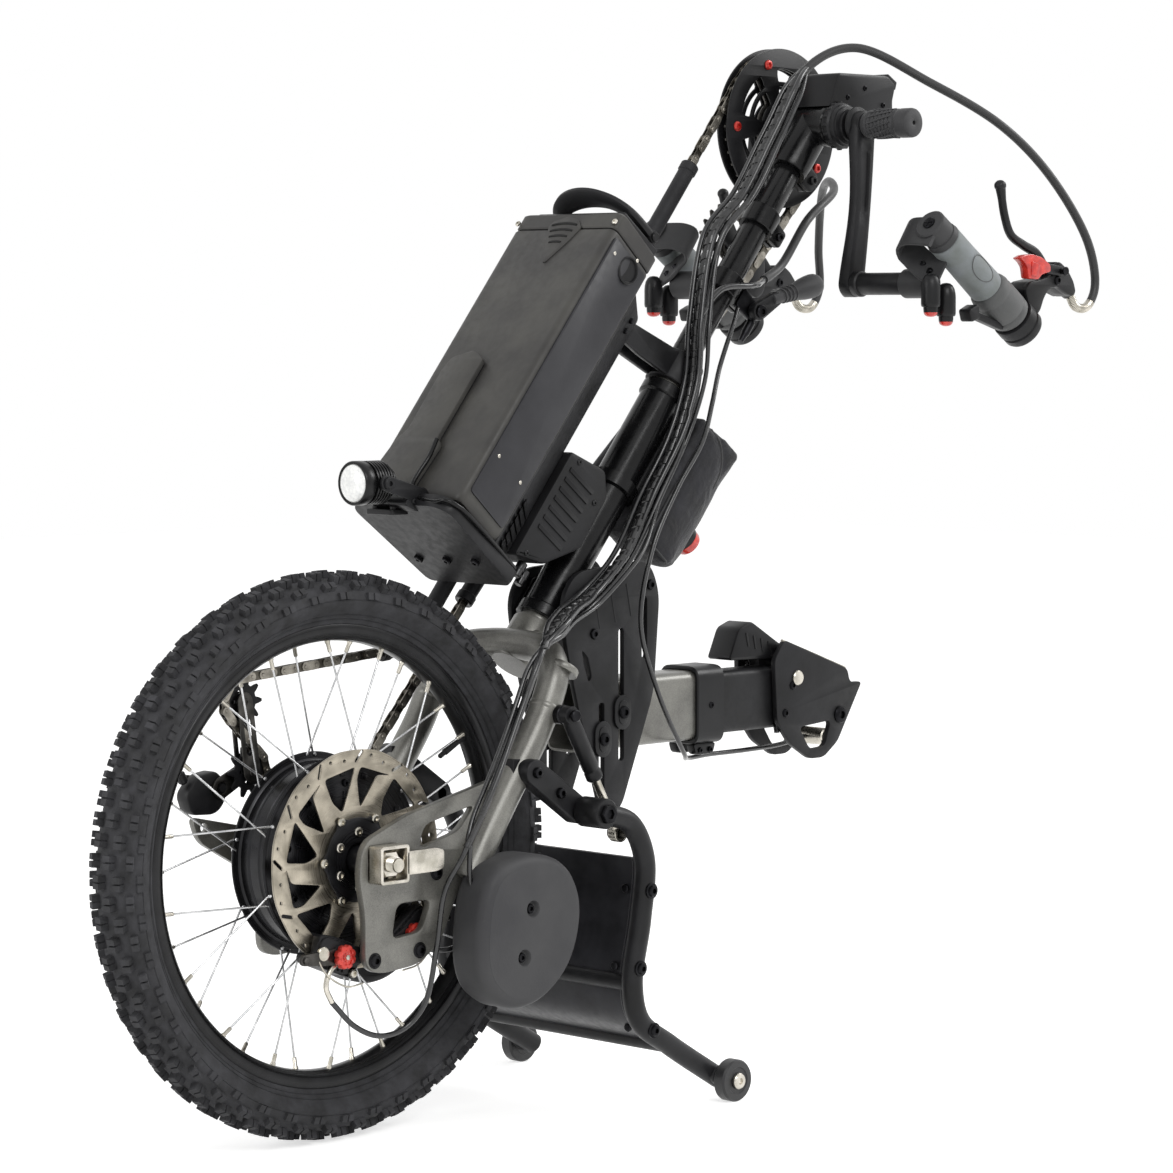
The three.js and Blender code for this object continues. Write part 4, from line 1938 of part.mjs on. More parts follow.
const group = new THREE.Group();
const mirroredPiece = (name, geometry, finish) => piece(name, mirrored(geometry), finish);
group.add(
  piece("tyre", tyre(), "rubber"),
  piece("rim", rim(), "blackPaint"),
  piece("hub_motor", hubMotor(), "blackPaint"),
  piece("brake_rotor", brakeRotor(), "steel"),
  piece("axle", axle(), "darkSteel"),
  piece("cassette", cassette(), "darkSteel"),
  piece("fork", fork(), "greyPaint"),
  piece("dropout_left", dropoutLeft(), "blackPaint"),
  piece("dropout_right", dropoutRight(), "blackPaint"),
  piece("ballast_left", ballast(), "blackPaint"),
  mirroredPiece("ballast_right", ballast(), "blackPaint"),
  piece("calliper_front", calliper(0), "blackPaint"),
  piece("calliper_rear", calliper(1), "blackPaint"),
  piece("calliper_arm_front", calliperArm(0), "darkSteel"),
  piece("calliper_arm_rear", calliperArm(1), "darkSteel"),
  piece("derailleur_body", derailleurBody(), "blackPaint"),
  piece("derailleur_cage", derailleurCage(), "darkSteel"),
  piece("pulley_upper", pulley(DERAILLEUR.upperX, DERAILLEUR.upperZ), "blackPlastic"),
  piece("pulley_lower", pulley(DERAILLEUR.lowerX, DERAILLEUR.lowerZ), "blackPlastic"),
  piece("head_tube", headTube(), "blackPaint"),
  piece("coupling_plate_left", couplingPlate(), "blackPaint"),
  mirroredPiece("coupling_plate_right", couplingPlate(), "blackPaint"),
  piece("arm_outer", armOuter(), "greyPaint"),
  piece("arm_inner", armInner(), "blackPaint"),
  piece("latch_lever", latchLever(), "blackPlastic"),
  piece("mast", mast(), "blackPaint"),
  piece("crank_housing", crankHousing(), "blackPaint"),
  piece("display", display(), "blackPlastic"),
  piece("idler", idler(), "darkSteel"),
  piece("release_lever", releaseLever(), "blackPlastic"),
  piece("battery_case", batteryCase(), "charcoal"),
  piece("battery_handle", batteryHandle(), "blackPlastic"),
  piece("battery_dock", batteryDock(), "blackPlastic"),
  piece("controller_box", controllerBox(), "blackPlastic"),
  piece("headlight", headlight(), "blackPaint"),
  piece("headlight_lens", headlightLens(), "glass"),
  piece("bag", bag(), "fabric"),
  piece("tail_light", tailLight(), "red"),
  piece("chain", chain(), "steel"),
  piece("chain_tube_front", frontTube(), "blackPlastic"),
  piece("chain_tube_rear", rearTube(), "blackPlastic"),
  piece("chainring", chainring(), "darkSteel"),
  piece("crank_right", crankRight(), "blackPaint"),
  piece("crank_left", crankLeft(), "blackPaint"),
  piece("handle_frame_left", handleFrame(true), "blackPlastic"),
  mirroredPiece("handle_frame_right", handleFrame(false), "blackPlastic"),
  piece("grip_left", handleGrip(), "grip"),
  mirroredPiece("grip_right", handleGrip(), "grip"),
  piece("brake_lever_left", brakeLever(), "blackPaint"),
  mirroredPiece("brake_lever_right", brakeLever(), "blackPaint"),
  piece("parking_lock", parkingLock(), "red"),
  piece("button_front", handleButton(BUTTONS[0]), "blackPlastic"),
  piece("button_rear", handleButton(BUTTONS[1]), "blackPlastic"),
  piece("stand", stand(), "greyPaint"),
  piece("roller_left", roller(1), "blackPlastic"),
  piece("roller_right", roller(-1), "blackPlastic"),
  piece("strut_cylinder", strutCylinder(), "blackPaint"),
  piece("strut_rod", strutRod(), "steel"),
  piece("cable_harness", cableHarness(), "blackPlastic"),
  piece("release_cable", releaseCable(), "blackPlastic"),
);

export default group;
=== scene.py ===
# The looks of a clip-on wheelchair handcycle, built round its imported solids.
# Shapes are worked in millimetres: +X forward, +Y to the rider's left, +Z up from the ground.
import json
import math
import random

import bmesh
import bpy
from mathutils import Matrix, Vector
from mathutils.bvhtree import BVHTree
from mathutils.geometry import interpolate_bezier

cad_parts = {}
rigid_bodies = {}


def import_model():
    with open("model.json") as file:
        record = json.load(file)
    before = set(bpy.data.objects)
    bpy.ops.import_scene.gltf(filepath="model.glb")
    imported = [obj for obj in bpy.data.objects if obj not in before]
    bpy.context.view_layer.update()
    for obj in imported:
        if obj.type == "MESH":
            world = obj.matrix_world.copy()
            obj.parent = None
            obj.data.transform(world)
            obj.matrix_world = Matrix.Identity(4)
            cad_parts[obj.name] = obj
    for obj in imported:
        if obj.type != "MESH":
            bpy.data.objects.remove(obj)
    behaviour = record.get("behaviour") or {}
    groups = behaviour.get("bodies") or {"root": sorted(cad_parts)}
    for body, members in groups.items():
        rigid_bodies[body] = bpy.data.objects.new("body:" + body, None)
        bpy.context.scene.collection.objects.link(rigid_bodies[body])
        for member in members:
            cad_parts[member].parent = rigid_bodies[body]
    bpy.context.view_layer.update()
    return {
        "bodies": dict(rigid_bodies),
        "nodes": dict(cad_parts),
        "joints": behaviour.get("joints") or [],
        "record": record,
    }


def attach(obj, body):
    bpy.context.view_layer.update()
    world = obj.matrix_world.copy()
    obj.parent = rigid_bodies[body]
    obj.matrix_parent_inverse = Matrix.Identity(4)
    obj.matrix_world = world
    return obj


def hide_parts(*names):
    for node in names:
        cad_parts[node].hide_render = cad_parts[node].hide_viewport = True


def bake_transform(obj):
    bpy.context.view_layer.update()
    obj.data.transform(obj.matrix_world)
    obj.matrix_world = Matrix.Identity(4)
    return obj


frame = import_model()

MM = 0.001
TURN = 2 * math.pi
LEAN = math.radians(39)
CHAIN_PITCH = 12.7
SIDEWAYS = (0, 1, 0)
HANDS = (("left", 1), ("right", -1))
# The two axles as they are seen from the left: how far forward, and how high
AXLE = (0, 257)
CRANK = (-652, 929)
AXLE_PLACE = (AXLE[0], 0, AXLE[1])
CRANK_PLACE = (CRANK[0], 0, CRANK[1])
random.seed(7)


# Shapes
def flat_shape(points, radius=0.0, steps=4):
    """A closed outline whose corners are rounded."""
    count = len(points)
    made = []
    for i, corner in enumerate(points):
        if not radius:
            made.append(tuple(corner))
            continue
        ends = []
        for other in (points[i - 1], points[(i + 1) % count]):
            length = math.dist(corner, other)
            share = min(radius / length, 0.48)
            ends.append([corner[k] + (other[k] - corner[k]) * share for k in (0, 1)])
        for step in range(steps + 1):
            t = step / steps
            made.append(tuple(
                (1 - t) ** 2 * ends[0][k] + 2 * t * (1 - t) * corner[k] + t * t * ends[1][k] for k in (0, 1)
            ))
    return made


def polar_place(radius, angle, centre=CRANK):
    return (centre[0] + radius * math.cos(angle), centre[1] + radius * math.sin(angle))


def ring_shape(radius, sides=48, x=0.0, y=0.0):
    return [polar_place(radius, TURN * i / sides, (x, y)) for i in range(sides)]


def link_shape(first, second, radius, end_radius=None, steps=10):
    """A capsule outline between two centres."""
    end_radius = radius if end_radius is None else end_radius
    along = math.atan2(second[1] - first[1], second[0] - first[0])
    made = []
    for centre, size, start in ((second, end_radius, -0.25), (first, radius, 0.25)):
        for i in range(steps + 1):
            made.append(polar_place(size, along + (start + 0.5 * i / steps) * TURN, centre))
    return made


def spread(shares, width, height, x=0.0, y=0.0):
    return [(x + across * width, y + up * height) for across, up in shares]


def smooth_route(points, step=6.0):
    """Points close together on the centripetal curve through a few places."""
    places = [Vector(p) for p in points]
    # The curve leaves and arrives as if one more place stood beyond each end
    places = [places[0] * 2 - places[1], *places, places[-1] * 2 - places[-2]]
    made = []
    for p0, p1, p2, p3 in zip(places, places[1:], places[2:], places[3:]):
        gaps = [max((b - a).length, 1e-4) ** 0.5 for a, b in ((p0, p1), (p1, p2), (p2, p3))]
        start = ((p1 - p0) / gaps[0] - (p2 - p0) / (gaps[0] + gaps[1]) + (p2 - p1) / gaps[1]) * gaps[1]
        end = ((p2 - p1) / gaps[1] - (p3 - p1) / (gaps[1] + gaps[2]) + (p3 - p2) / gaps[2]) * gaps[1]
        parts = max(2, math.ceil((p2 - p1).length / step))
        made += interpolate_bezier(p1, p1 + start / 3, p2 - end / 3, p2, parts + 1)[:-1]
    return made + [places[-2]]


def heading(route, i):
    """The way that an open route runs at one of its places."""
    return (route[min(i + 1, len(route) - 1)] - route[max(i - 1, 0)]).normalized()


def mast_place(forward, below, y=0.0):
    """A place given by its distance forward of the mast's axis and below the crank."""
    return (
        CRANK[0] + below * math.sin(LEAN) + forward * math.cos(LEAN),
        y,
        CRANK[1] - below * math.cos(LEAN) + forward * math.sin(LEAN),
    )


MAST_DOWN = Vector(mast_place(0, 1)) - Vector(mast_place(0, 0))
MAST_FORWARD = Vector(mast_place(1, 0)) - Vector(mast_place(0, 0))


# Each of these lays a flat drawing in one plane, at a depth
def on_side(a, b, depth):
    return (a, depth, b)


def on_floor(a, b, depth):
    return (a, b, depth)


def on_mast_side(a, b, depth):
    return mast_place(a, -b, depth)


def on_mast_plan(a, b, depth):
    return mast_place(a, depth, b)


def on_mast_front(a, b, depth):
    return mast_place(depth, -b, a)


def square_to(axis):
    axis = Vector(axis).normalized()
    first = axis.cross(Vector((0, 0, 1)) if abs(axis.z) < 0.9 else Vector((1, 0, 0))).normalized()
    return axis, first, axis.cross(first)


class Body:
    """The points and faces of one piece, in millimetres."""

    def __init__(self):
        self.points = []
        self.faces = []

    def add(self, points, faces):
        start = len(self.points)
        self.points += [tuple(p) for p in points]
        self.faces += [tuple(start + i for i in face) for face in faces]
        return self

    def rows(self, rows, closed_ends=False, caps=True):
        """Skins a row of points to the next one."""
        size = len(rows[0])
        count = len(rows)
        faces = []
        for i in range(count if closed_ends else count - 1):
            low, high = i * size, ((i + 1) % count) * size
            for k in range(size):
                faces.append((low + k, low + (k + 1) % size, high + (k + 1) % size, high + k))
        if caps and not closed_ends:
            faces.append(tuple(range(size))[::-1])
            faces.append(tuple((count - 1) * size + k for k in range(size)))
        return self.add([p for row in rows for p in row], faces)

    def turned(self, profile, centre=(0, 0, 0), axis=SIDEWAYS, sides=64, ring=False, both=False):
        """Turns a profile of (radius, place along the axis) about an axis, and again the other way if both."""
        way, across, up = square_to(axis)
        centre = Vector(centre)
        rows = []
        for radius, along in profile:
            rows.append([
                centre + way * along
                + (across * math.cos(TURN * i / sides) + up * math.sin(TURN * i / sides)) * radius
                for i in range(sides)
            ])
        self.rows(rows, closed_ends=ring, caps=not ring)
        return self.turned(profile, centre, -way, sides, ring) if both else self

    def tube(self, route, radius, sides=16, closed=False):
        """A round section carried along a route without twisting."""
        places = [Vector(p) for p in route]
        count = len(places)
        ways = []
        for i in range(count):
            before = places[i - 1] if closed or i else places[i]
            after = places[(i + 1) % count] if closed or i + 1 < count else places[i]
            ways.append((after - before).normalized())
        _, across, _ = square_to(ways[0])
        rows = []
        for i, place in enumerate(places):
            if i:
                across = ways[i - 1].rotation_difference(ways[i]) @ across
            across = (across - ways[i] * across.dot(ways[i])).normalized()
            up = ways[i].cross(across)
            size = radius[i] if isinstance(radius, (list, tuple)) else radius
            rows.append([
                place + (across * math.cos(TURN * k / sides) + up * math.sin(TURN * k / sides)) * size
                for k in range(sides)
            ])
        return self.rows(rows, closed_ends=closed)

    def plate(self, outlines, low, high, place=on_side, bevel=0.0, both=False):
        """A flat plate: the first outline is its edge and the others are its holes."""
        curve = bpy.data.curves.new("outline", "CURVE")
        curve.dimensions = "2D"
        curve.fill_mode = "BOTH"
        curve.extrude = max((high - low) / 2 - bevel, 0.0)
        curve.bevel_depth = bevel
        curve.bevel_resolution = 1
        curve.offset = -bevel
        for outline in outlines:
            spline = curve.splines.new("POLY")
            spline.points.add(len(outline) - 1)
            for point, (a, b) in zip(spline.points, outline):
                point.co = (a, b, 0, 1)
            spline.use_cyclic_u = True
        drawn = bpy.data.objects.new("outline", curve)
        mesh = bpy.data.meshes.new_from_object(drawn)
        middle = (low + high) / 2
        self.add(
            [place(v.co.x, v.co.y, v.co.z + middle) for v in mesh.vertices],
            [tuple(p.vertices) for p in mesh.polygons],
        )
        bpy.data.objects.remove(drawn)
        bpy.data.curves.remove(curve)
        bpy.data.meshes.remove(mesh)
        return self.plate(outlines, -high, -low, place, bevel) if both else self

    def band(self, outer, inner, low, high):
        """A flat ring between two outlines that have as many points as each other."""
        rows = [[on_side(*p, depth) for p in line] for line, depth in (
            (outer, low), (outer, high), (inner, high), (inner, low),
        )]
        return self.rows(rows, closed_ends=True)

    def block(self, low, high, place=on_floor):
        """A box between two corners."""
        corners = [
            place(*((low, high)[i][0], (low, high)[j][1], (low, high)[k][2]))
            for i in (0, 1) for j in (0, 1) for k in (0, 1)
        ]
        sides = [(0, 1, 3, 2), (4, 6, 7, 5), (0, 4, 5, 1), (2, 3, 7, 6), (0, 2, 6, 4), (1, 5, 7, 3)]
        return self.add(corners, sides)

    def screw(self, x, z, low, high, radius, sides=24, both=False):
        """A button-headed screw with a socket, whose head rises sideways from low to high."""
        self.rows([
            [on_side(*p, low + (high - low) * share) for p in ring_shape(radius * size, sides, x, z)]
            for size, share in ((1, 0), (1, 0.45), (0.86, 0.85), (0.62, 1), (0.46, 1), (0.44, 0.35))
        ])
        return self.screw(x, z, -low, -high, radius, sides) if both else self

    def mirrored(self):
        """The same shape on the other side of the wheel's middle plane."""
        made = Body()
        made.add([(x, -y, z) for x, y, z in self.points], [face[::-1] for face in self.faces])
        return made


def piece(name, shape, material, body, replaces=(), bevel=0.0, level=0, angle=32, segments=2):
    """Makes an object of a shape and shades it. It rides on its body when body is a name.
    When body is a pair of bodies with two places, the pair is not used and the piece stays where it is drawn."""
    mesh = bpy.data.meshes.new(name)
    mesh.from_pydata([[c * MM for c in p] for p in shape.points], [], shape.faces)
    work = bmesh.new()
    work.from_mesh(mesh)
    bmesh.ops.remove_doubles(work, verts=work.verts, dist=0.004 * MM)
    bmesh.ops.dissolve_degenerate(work, edges=work.edges, dist=0.002 * MM)
    bmesh.ops.recalc_face_normals(work, faces=work.faces)
    work.to_mesh(mesh)
    work.free()
    mesh.shade_smooth()
    mesh.set_sharp_from_angle(angle=math.radians(angle))
    thing = bpy.data.objects.new(name, mesh)
    bpy.context.scene.collection.objects.link(thing)
    mesh.materials.append(material)
    if bevel:
        edges = thing.modifiers.new("softened edges", "BEVEL")
        edges.width = bevel * MM
        edges.segments = segments
        edges.limit_method = "ANGLE"
        edges.angle_limit = math.radians(angle)
        edges.harden_normals = False
    if level:
        finer = thing.modifiers.new("finer surface", "SUBSURF")
        finer.levels = level
        finer.render_levels = level
    if isinstance(body, str):
        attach(thing, body)
    else:
        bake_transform(thing)
    if replaces:
        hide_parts(*([replaces] if isinstance(replaces, str) else replaces))
    return thing


# Camera: the photograph's own view
def camera_at(azimuth, elevation, distance, aim, lens):
    a, e = math.radians(azimuth), math.radians(elevation)
    away = Vector((math.sin(a) * math.cos(e), math.cos(a) * math.cos(e), math.sin(e)))
    data = bpy.data.cameras.new("photograph view")
    data.lens = lens
    data.sensor_width = 36
    data.clip_end = 60
    thing = bpy.data.objects.new("photograph view", data)
    thing.location = (Vector(aim) + away * distance) * MM
    thing.rotation_euler = (-away).to_track_quat("-Z", "Y").to_euler()
    bpy.context.scene.collection.objects.link(thing)
    bpy.context.scene.camera = thing


camera_at(45.1, 3.88, 3814.1, (-332.35, 0, 482.8), 36 * 4000 / 1173)
bpy.context.view_layer.update()


# Surfaces
def linear(hexes):
    """An sRGB colour written as hexadecimal, as the linear values that a shader takes."""
    parts = [int(hexes[i:i + 2], 16) / 255 for i in (0, 2, 4)]
    return tuple(c / 12.92 if c <= 0.04045 else ((c + 0.055) / 1.055) ** 2.4 for c in parts) + (1.0,)


def put(tree, kind, settings=None, links=None):
    """Adds a node with its settings and joins its inputs to other nodes' outputs."""
    made = tree.nodes.new(kind)
    for name, value in (settings or {}).items():
        if isinstance(name, str) and hasattr(made, name):
            setattr(made, name, value)
        else:
            made.inputs[name].default_value = value
    for name, socket in (links or {}).items():
        tree.links.new(socket, made.inputs[name])
    return made


def surface(name, **sockets):
    """A material with its shader's plain sockets set, and the place on the piece in millimetres."""
    material = bpy.data.materials.new(name)
    material.use_nodes = True
    tree = material.node_tree
    shader = tree.nodes["Principled BSDF"]
    for socket, value in sockets.items():
        shader.inputs[socket.replace("_", " ")].default_value = value
    place = put(tree, "ShaderNodeTexCoord").outputs["Object"]
    scaled = put(tree, "ShaderNodeVectorMath", {"operation": "SCALE", "Scale": 1 / MM}, {0: place})
    return material, tree, shader, scaled.outputs[0]


def shade_between(tree, shader, factor, low, high, socket="Base Color", start=0.0, end=1.0):
    """Runs a socket of the shader from one value to another as a factor goes from start to end."""
    spread_out = put(
        tree, "ShaderNodeMapRange",
        {"From Min": start, "From Max": end}, {"Value": factor},
    ).outputs[0]
    if socket == "Base Color":
        mixed = put(
            tree, "ShaderNodeMix", {"data_type": "RGBA", 6: linear(low), 7: linear(high)}, {0: spread_out},
        ).outputs[2]
    else:
        mixed = put(
            tree, "ShaderNodeMapRange", {"To Min": low, "To Max": high}, {"Value": spread_out},
        ).outputs[0]
    tree.links.new(mixed, shader.inputs[socket])
    return mixed


def relief(tree, shader, height, depth, under=None):
    """Raises the surface by a height, whose depth is in millimetres."""
    links = {"Height": height}
    if under:
        links["Normal"] = under
    bump = put(tree, "ShaderNodeBump", {"Strength": 1.0, "Distance": depth * MM}, links)
    tree.links.new(bump.outputs[0], shader.inputs["Normal"])
    return bump.outputs[0]


def tread_rubber():
    """Vulcanised rubber: near black, dull, with a bloom of grey dust and fine mould grain."""
    material, tree, shader, place = surface("vulcanised tyre rubber", IOR=1.52, Specular_IOR_Level=0.22)
    dust = put(tree, "ShaderNodeTexNoise", {"Scale": 1 / 18, "Detail": 6.0, "Roughness": 0.62}, {"Vector": place})
    shade_between(tree, shader, dust.outputs[0], "2b2b2c", "47474a", start=0.32, end=0.7)
    shade_between(tree, shader, dust.outputs[0], 0.62, 0.86, "Roughness", 0.3, 0.7)
    grain = put(tree, "ShaderNodeTexNoise", {"Scale": 1 / 0.9, "Detail": 3.0}, {"Vector": place})
    relief(tree, shader, grain.outputs[0], 0.22)
    return material


def powder_coat(name, dark, light, rough, depth=0.05):
    """Powder coated metal: an even satin skin with a faint orange peel a millimetre or two across."""
    material, tree, shader, place = surface(name, IOR=1.5, Specular_IOR_Level=0.24)
    cloud = put(tree, "ShaderNodeTexNoise", {"Scale": 1 / 45, "Detail": 4.0}, {"Vector": place})
    shade_between(tree, shader, cloud.outputs[0], dark, light, start=0.35, end=0.65)
    fine = put(tree, "ShaderNodeTexNoise", {"Scale": 1 / 7, "Detail": 5.0}, {"Vector": place})
    shade_between(tree, shader, fine.outputs[0], rough - 0.05, rough + 0.07, "Roughness", 0.35, 0.65)
    peel = put(tree, "ShaderNodeTexNoise", {"Scale": 1 / 1.6, "Detail": 2.0}, {"Vector": place})
    relief(tree, shader, peel.outputs[0], depth)
    return material


def gunmetal_paint():
    """Metallic gunmetal lacquer over aluminium: warm grey flakes under a satin clear coat."""
    material, tree, shader, place = surface(
        "gunmetal metallic lacquer", Metallic=0.55, Coat_Weight=0.35, Coat_Roughness=0.22, IOR=1.5,
    )
    flake = put(tree, "ShaderNodeTexVoronoi", {"Scale": 1 / 0.7}, {"Vector": place})
    cloud = put(tree, "ShaderNodeTexNoise", {"Scale": 1 / 30, "Detail": 4.0}, {"Vector": place})
    both = put(
        tree, "ShaderNodeMath", {"operation": "MULTIPLY_ADD", 1: 0.35},
        {0: flake.outputs["Color"], 2: cloud.outputs[0]},
    )
    shade_between(tree, shader, both.outputs[0], "5c5b57", "82817b", start=0.4, end=0.95)
    shade_between(tree, shader, cloud.outputs[0], 0.36, 0.47, "Roughness", 0.35, 0.65)
    peel = put(tree, "ShaderNodeTexNoise", {"Scale": 1 / 2.4, "Detail": 2.0}, {"Vector": place})
    relief(tree, shader, peel.outputs[0], 0.04)
    return material


def moulded_plastic(name, dark, light, rough, grain_size=0.8, depth=0.06):
    """Injection moulded ABS or nylon: dull, with a spark eroded grain under a millimetre across."""
    material, tree, shader, place = surface(name, IOR=1.53, Specular_IOR_Level=0.22)
    cloud = put(tree, "ShaderNodeTexNoise", {"Scale": 1 / 60, "Detail": 5.0}, {"Vector": place})
    shade_between(tree, shader, cloud.outputs[0], dark, light, start=0.35, end=0.65)
    shade_between(tree, shader, cloud.outputs[0], rough - 0.04, rough + 0.06, "Roughness", 0.4, 0.6)
    grain = put(tree, "ShaderNodeTexVoronoi", {"Scale": 1 / grain_size}, {"Vector": place})
    relief(tree, shader, grain.outputs["Distance"], depth)
    return material


def bare_metal(name, dark, light, rough, line_size=0.5, depth=0.02):
    """Bare worked metal: bright, with fine tool marks and a little staining."""
    material, tree, shader, place = surface(name, Metallic=1.0)
    line = put(tree, "ShaderNodeTexNoise", {"Scale": 1 / line_size, "Detail": 4.0}, {"Vector": place})
    stain = put(tree, "ShaderNodeTexNoise", {"Scale": 1 / 14, "Detail": 5.0}, {"Vector": place})
    shade_between(tree, shader, stain.outputs[0], dark, light, start=0.35, end=0.66)
    shade_between(tree, shader, line.outputs[0], rough - 0.06, rough + 0.1, "Roughness", 0.35, 0.65)
    relief(tree, shader, line.outputs[0], depth)
    return material


def turned_metal(name, dark, light, rough, metallic, centre, spacing=0.8, depth=0.03):
    """Metal turned or ground about an axle: fine rings round the centre catch the light."""
    material, tree, shader, place = surface(name, Metallic=metallic, IOR=1.5)
    moved = put(tree, "ShaderNodeVectorMath", {"operation": "SUBTRACT", 1: centre}, {0: place})
    split = put(tree, "ShaderNodeSeparateXYZ", {}, {0: moved.outputs[0]})
    flat = put(tree, "ShaderNodeCombineXYZ", {}, {0: split.outputs[0], 1: split.outputs[2]})
    radius = put(tree, "ShaderNodeVectorMath", {"operation": "LENGTH"}, {0: flat.outputs[0]})
    rings = put(
        tree, "ShaderNodeTexNoise", {"noise_dimensions": "1D", "Scale": 1 / spacing, "Detail": 3.0},
        {"W": radius.outputs["Value"]},
    )
    cloud = put(tree, "ShaderNodeTexNoise", {"Scale": 1 / 20, "Detail": 4.0}, {"Vector": place})
    shade_between(tree, shader, cloud.outputs[0], dark, light, start=0.34, end=0.66)
    shade_between(tree, shader, rings.outputs[0], rough - 0.07, rough + 0.1, "Roughness", 0.35, 0.65)
    relief(tree, shader, rings.outputs[0], depth)
    return material


def soft_rubber(name, dark, light, rough=0.7):
    """Moulded thermoplastic rubber: dull and slightly sheeny, with a fine pebble."""
    material, tree, shader, place = surface(name, IOR=1.5, Sheen_Weight=0.15, Sheen_Roughness=0.5)
    cloud = put(tree, "ShaderNodeTexNoise", {"Scale": 1 / 25, "Detail": 5.0}, {"Vector": place})
    shade_between(tree, shader, cloud.outputs[0], dark, light, start=0.35, end=0.65)
    shade_between(tree, shader, cloud.outputs[0], rough - 0.06, rough + 0.08, "Roughness", 0.4, 0.6)
    pebble = put(tree, "ShaderNodeTexVoronoi", {"Scale": 1 / 1.1}, {"Vector": place})
    relief(tree, shader, pebble.outputs["Distance"], 0.09)
    return material


def woven_nylon():
    """Coated pack cloth: black 0.6 mm threads drawn at 1.1 mm so that the weave shows, with a dull sheen."""
    material, tree, shader, place = surface(
        "woven pack cloth", IOR=1.5, Specular_IOR_Level=0.25, Sheen_Weight=0.25, Sheen_Roughness=0.4,
    )
    threads = []
    for direction in ("X", "Y", "Z"):
        wave = put(
            tree, "ShaderNodeTexWave",
            {"wave_type": "BANDS", "bands_direction": direction, "Scale": 1 / 1.1 / TURN * 2, "Distortion": 0.6,
             "Detail": 1.0},
            {"Vector": place},
        )
        threads.append(wave.outputs["Fac"])
    first = put(tree, "ShaderNodeMath", {"operation": "MAXIMUM"}, {0: threads[0], 1: threads[1]})
    weave = put(tree, "ShaderNodeMath", {"operation": "ADD"}, {0: first.outputs[0], 1: threads[2]})
    fade = put(tree, "ShaderNodeTexNoise", {"Scale": 1 / 22, "Detail": 6.0}, {"Vector": place})
    shade_between(tree, shader, fade.outputs[0], "19191b", "313135", start=0.34, end=0.68)
    shade_between(tree, shader, fade.outputs[0], 0.6, 0.8, "Roughness", 0.3, 0.7)
    crease = put(tree, "ShaderNodeTexNoise", {"Scale": 1 / 12, "Detail": 3.0, "Distortion": 0.8}, {"Vector": place})
    soft = relief(tree, shader, crease.outputs[0], 1.6)
    relief(tree, shader, weave.outputs[0], 0.12, soft)
    return material


def glowing_lens():
    """A moulded polycarbonate lens over a white reflector, with shallow prisms; a faint emission paints the glow of
    light thrown back by the reflector.
    """
    material, tree, shader, place = surface(
        "frosted polycarbonate lens with painted glow", Roughness=0.12, IOR=1.58, Coat_Weight=1.0, Coat_Roughness=0.05,
        Emission_Strength=0.18,
    )
    # A faint white emission: painted glow, not a lit lamp
    shader.inputs["Emission Color"].default_value = linear("fbfbf6")
    prism = put(tree, "ShaderNodeTexVoronoi", {"Scale": 1 / 3.2}, {"Vector": place})
    shade_between(tree, shader, prism.outputs["Distance"], "f4f4f1", "d9dada", start=0.1, end=0.7)
    relief(tree, shader, prism.outputs["Distance"], 0.2)
    return material


def dyed_gloss(name, dark, light, rough=0.28, metallic=0.0):
    """A glossy dyed or anodised surface with a slight mottle."""
    material, tree, shader, place = surface(
        name, IOR=1.5, Metallic=metallic, Coat_Weight=0.4, Coat_Roughness=0.12,
    )
    mottle = put(tree, "ShaderNodeTexNoise", {"Scale": 1 / 6, "Detail": 4.0}, {"Vector": place})
    shade_between(tree, shader, mottle.outputs[0], dark, light, start=0.34, end=0.66)
    shade_between(tree, shader, mottle.outputs[0], rough - 0.04, rough + 0.08, "Roughness", 0.4, 0.6)
    ripple = put(tree, "ShaderNodeTexNoise", {"Scale": 1 / 2.5, "Detail": 2.0}, {"Vector": place})
    relief(tree, shader, ripple.outputs[0], 0.03)
    return material


TYRE_RUBBER = tread_rubber()
BLACK_COAT = powder_coat("satin black powder coat", "141415", "212123", 0.4)
DULL_BLACK = powder_coat("matt black powder coat", "1b1b1d", "29292b", 0.55, 0.08)
GUNMETAL = gunmetal_paint()
CASE_FINISH = powder_coat("charcoal enamel on aluminium", "3c3b3a", "4b4a47", 0.42)
BLACK_PLASTIC = moulded_plastic("grained black nylon", "171718", "232325", 0.5)
SATIN_PLASTIC = moulded_plastic("satin black acetal", "111112", "1c1c1e", 0.34, 1.6, 0.02)
ROTOR_STEEL = turned_metal("ground stainless rotor steel", "8a8478", "b3ab9c", 0.34, 1.0, (0, 0, 257))
HUB_BLACK = turned_metal("black anodised turned aluminium", "161617", "242427", 0.33, 0.6, (0, 0, 257), 1.6, 0.05)
RIM_BLACK = turned_metal("black anodised rim aluminium", "101011", "1d1d1f", 0.3, 0.5, (0, 0, 257), 2.2, 0.03)
SPOKE_STEEL = bare_metal("drawn stainless spoke wire", "a9aaab", "d5d5d6", 0.26)
NICKEL = bare_metal("nickel plated steel", "a5a196", "cfcac0", 0.27)
CHAIN_STEEL = bare_metal("oiled chain steel", "77736b", "aca79d", 0.33, 0.9, 0.05)
DARK_STEEL = bare_metal("phosphated dark steel", "3b3a38", "5a5855", 0.42, 0.9, 0.04)
BLACK_SCREW = bare_metal("blackened screw steel", "18181a", "29292b", 0.36, 0.7, 0.03)
GRIP_GREY = soft_rubber("grey grip rubber", "6c716f", "82878a")
GRIP_DARK = soft_rubber("dark grip rubber", "1c1c1e", "2b2b2d", 0.62)
ROLLER_RUBBER = soft_rubber("cast black polyurethane", "141415", "222224", 0.45)
BAG_CLOTH = woven_nylon()
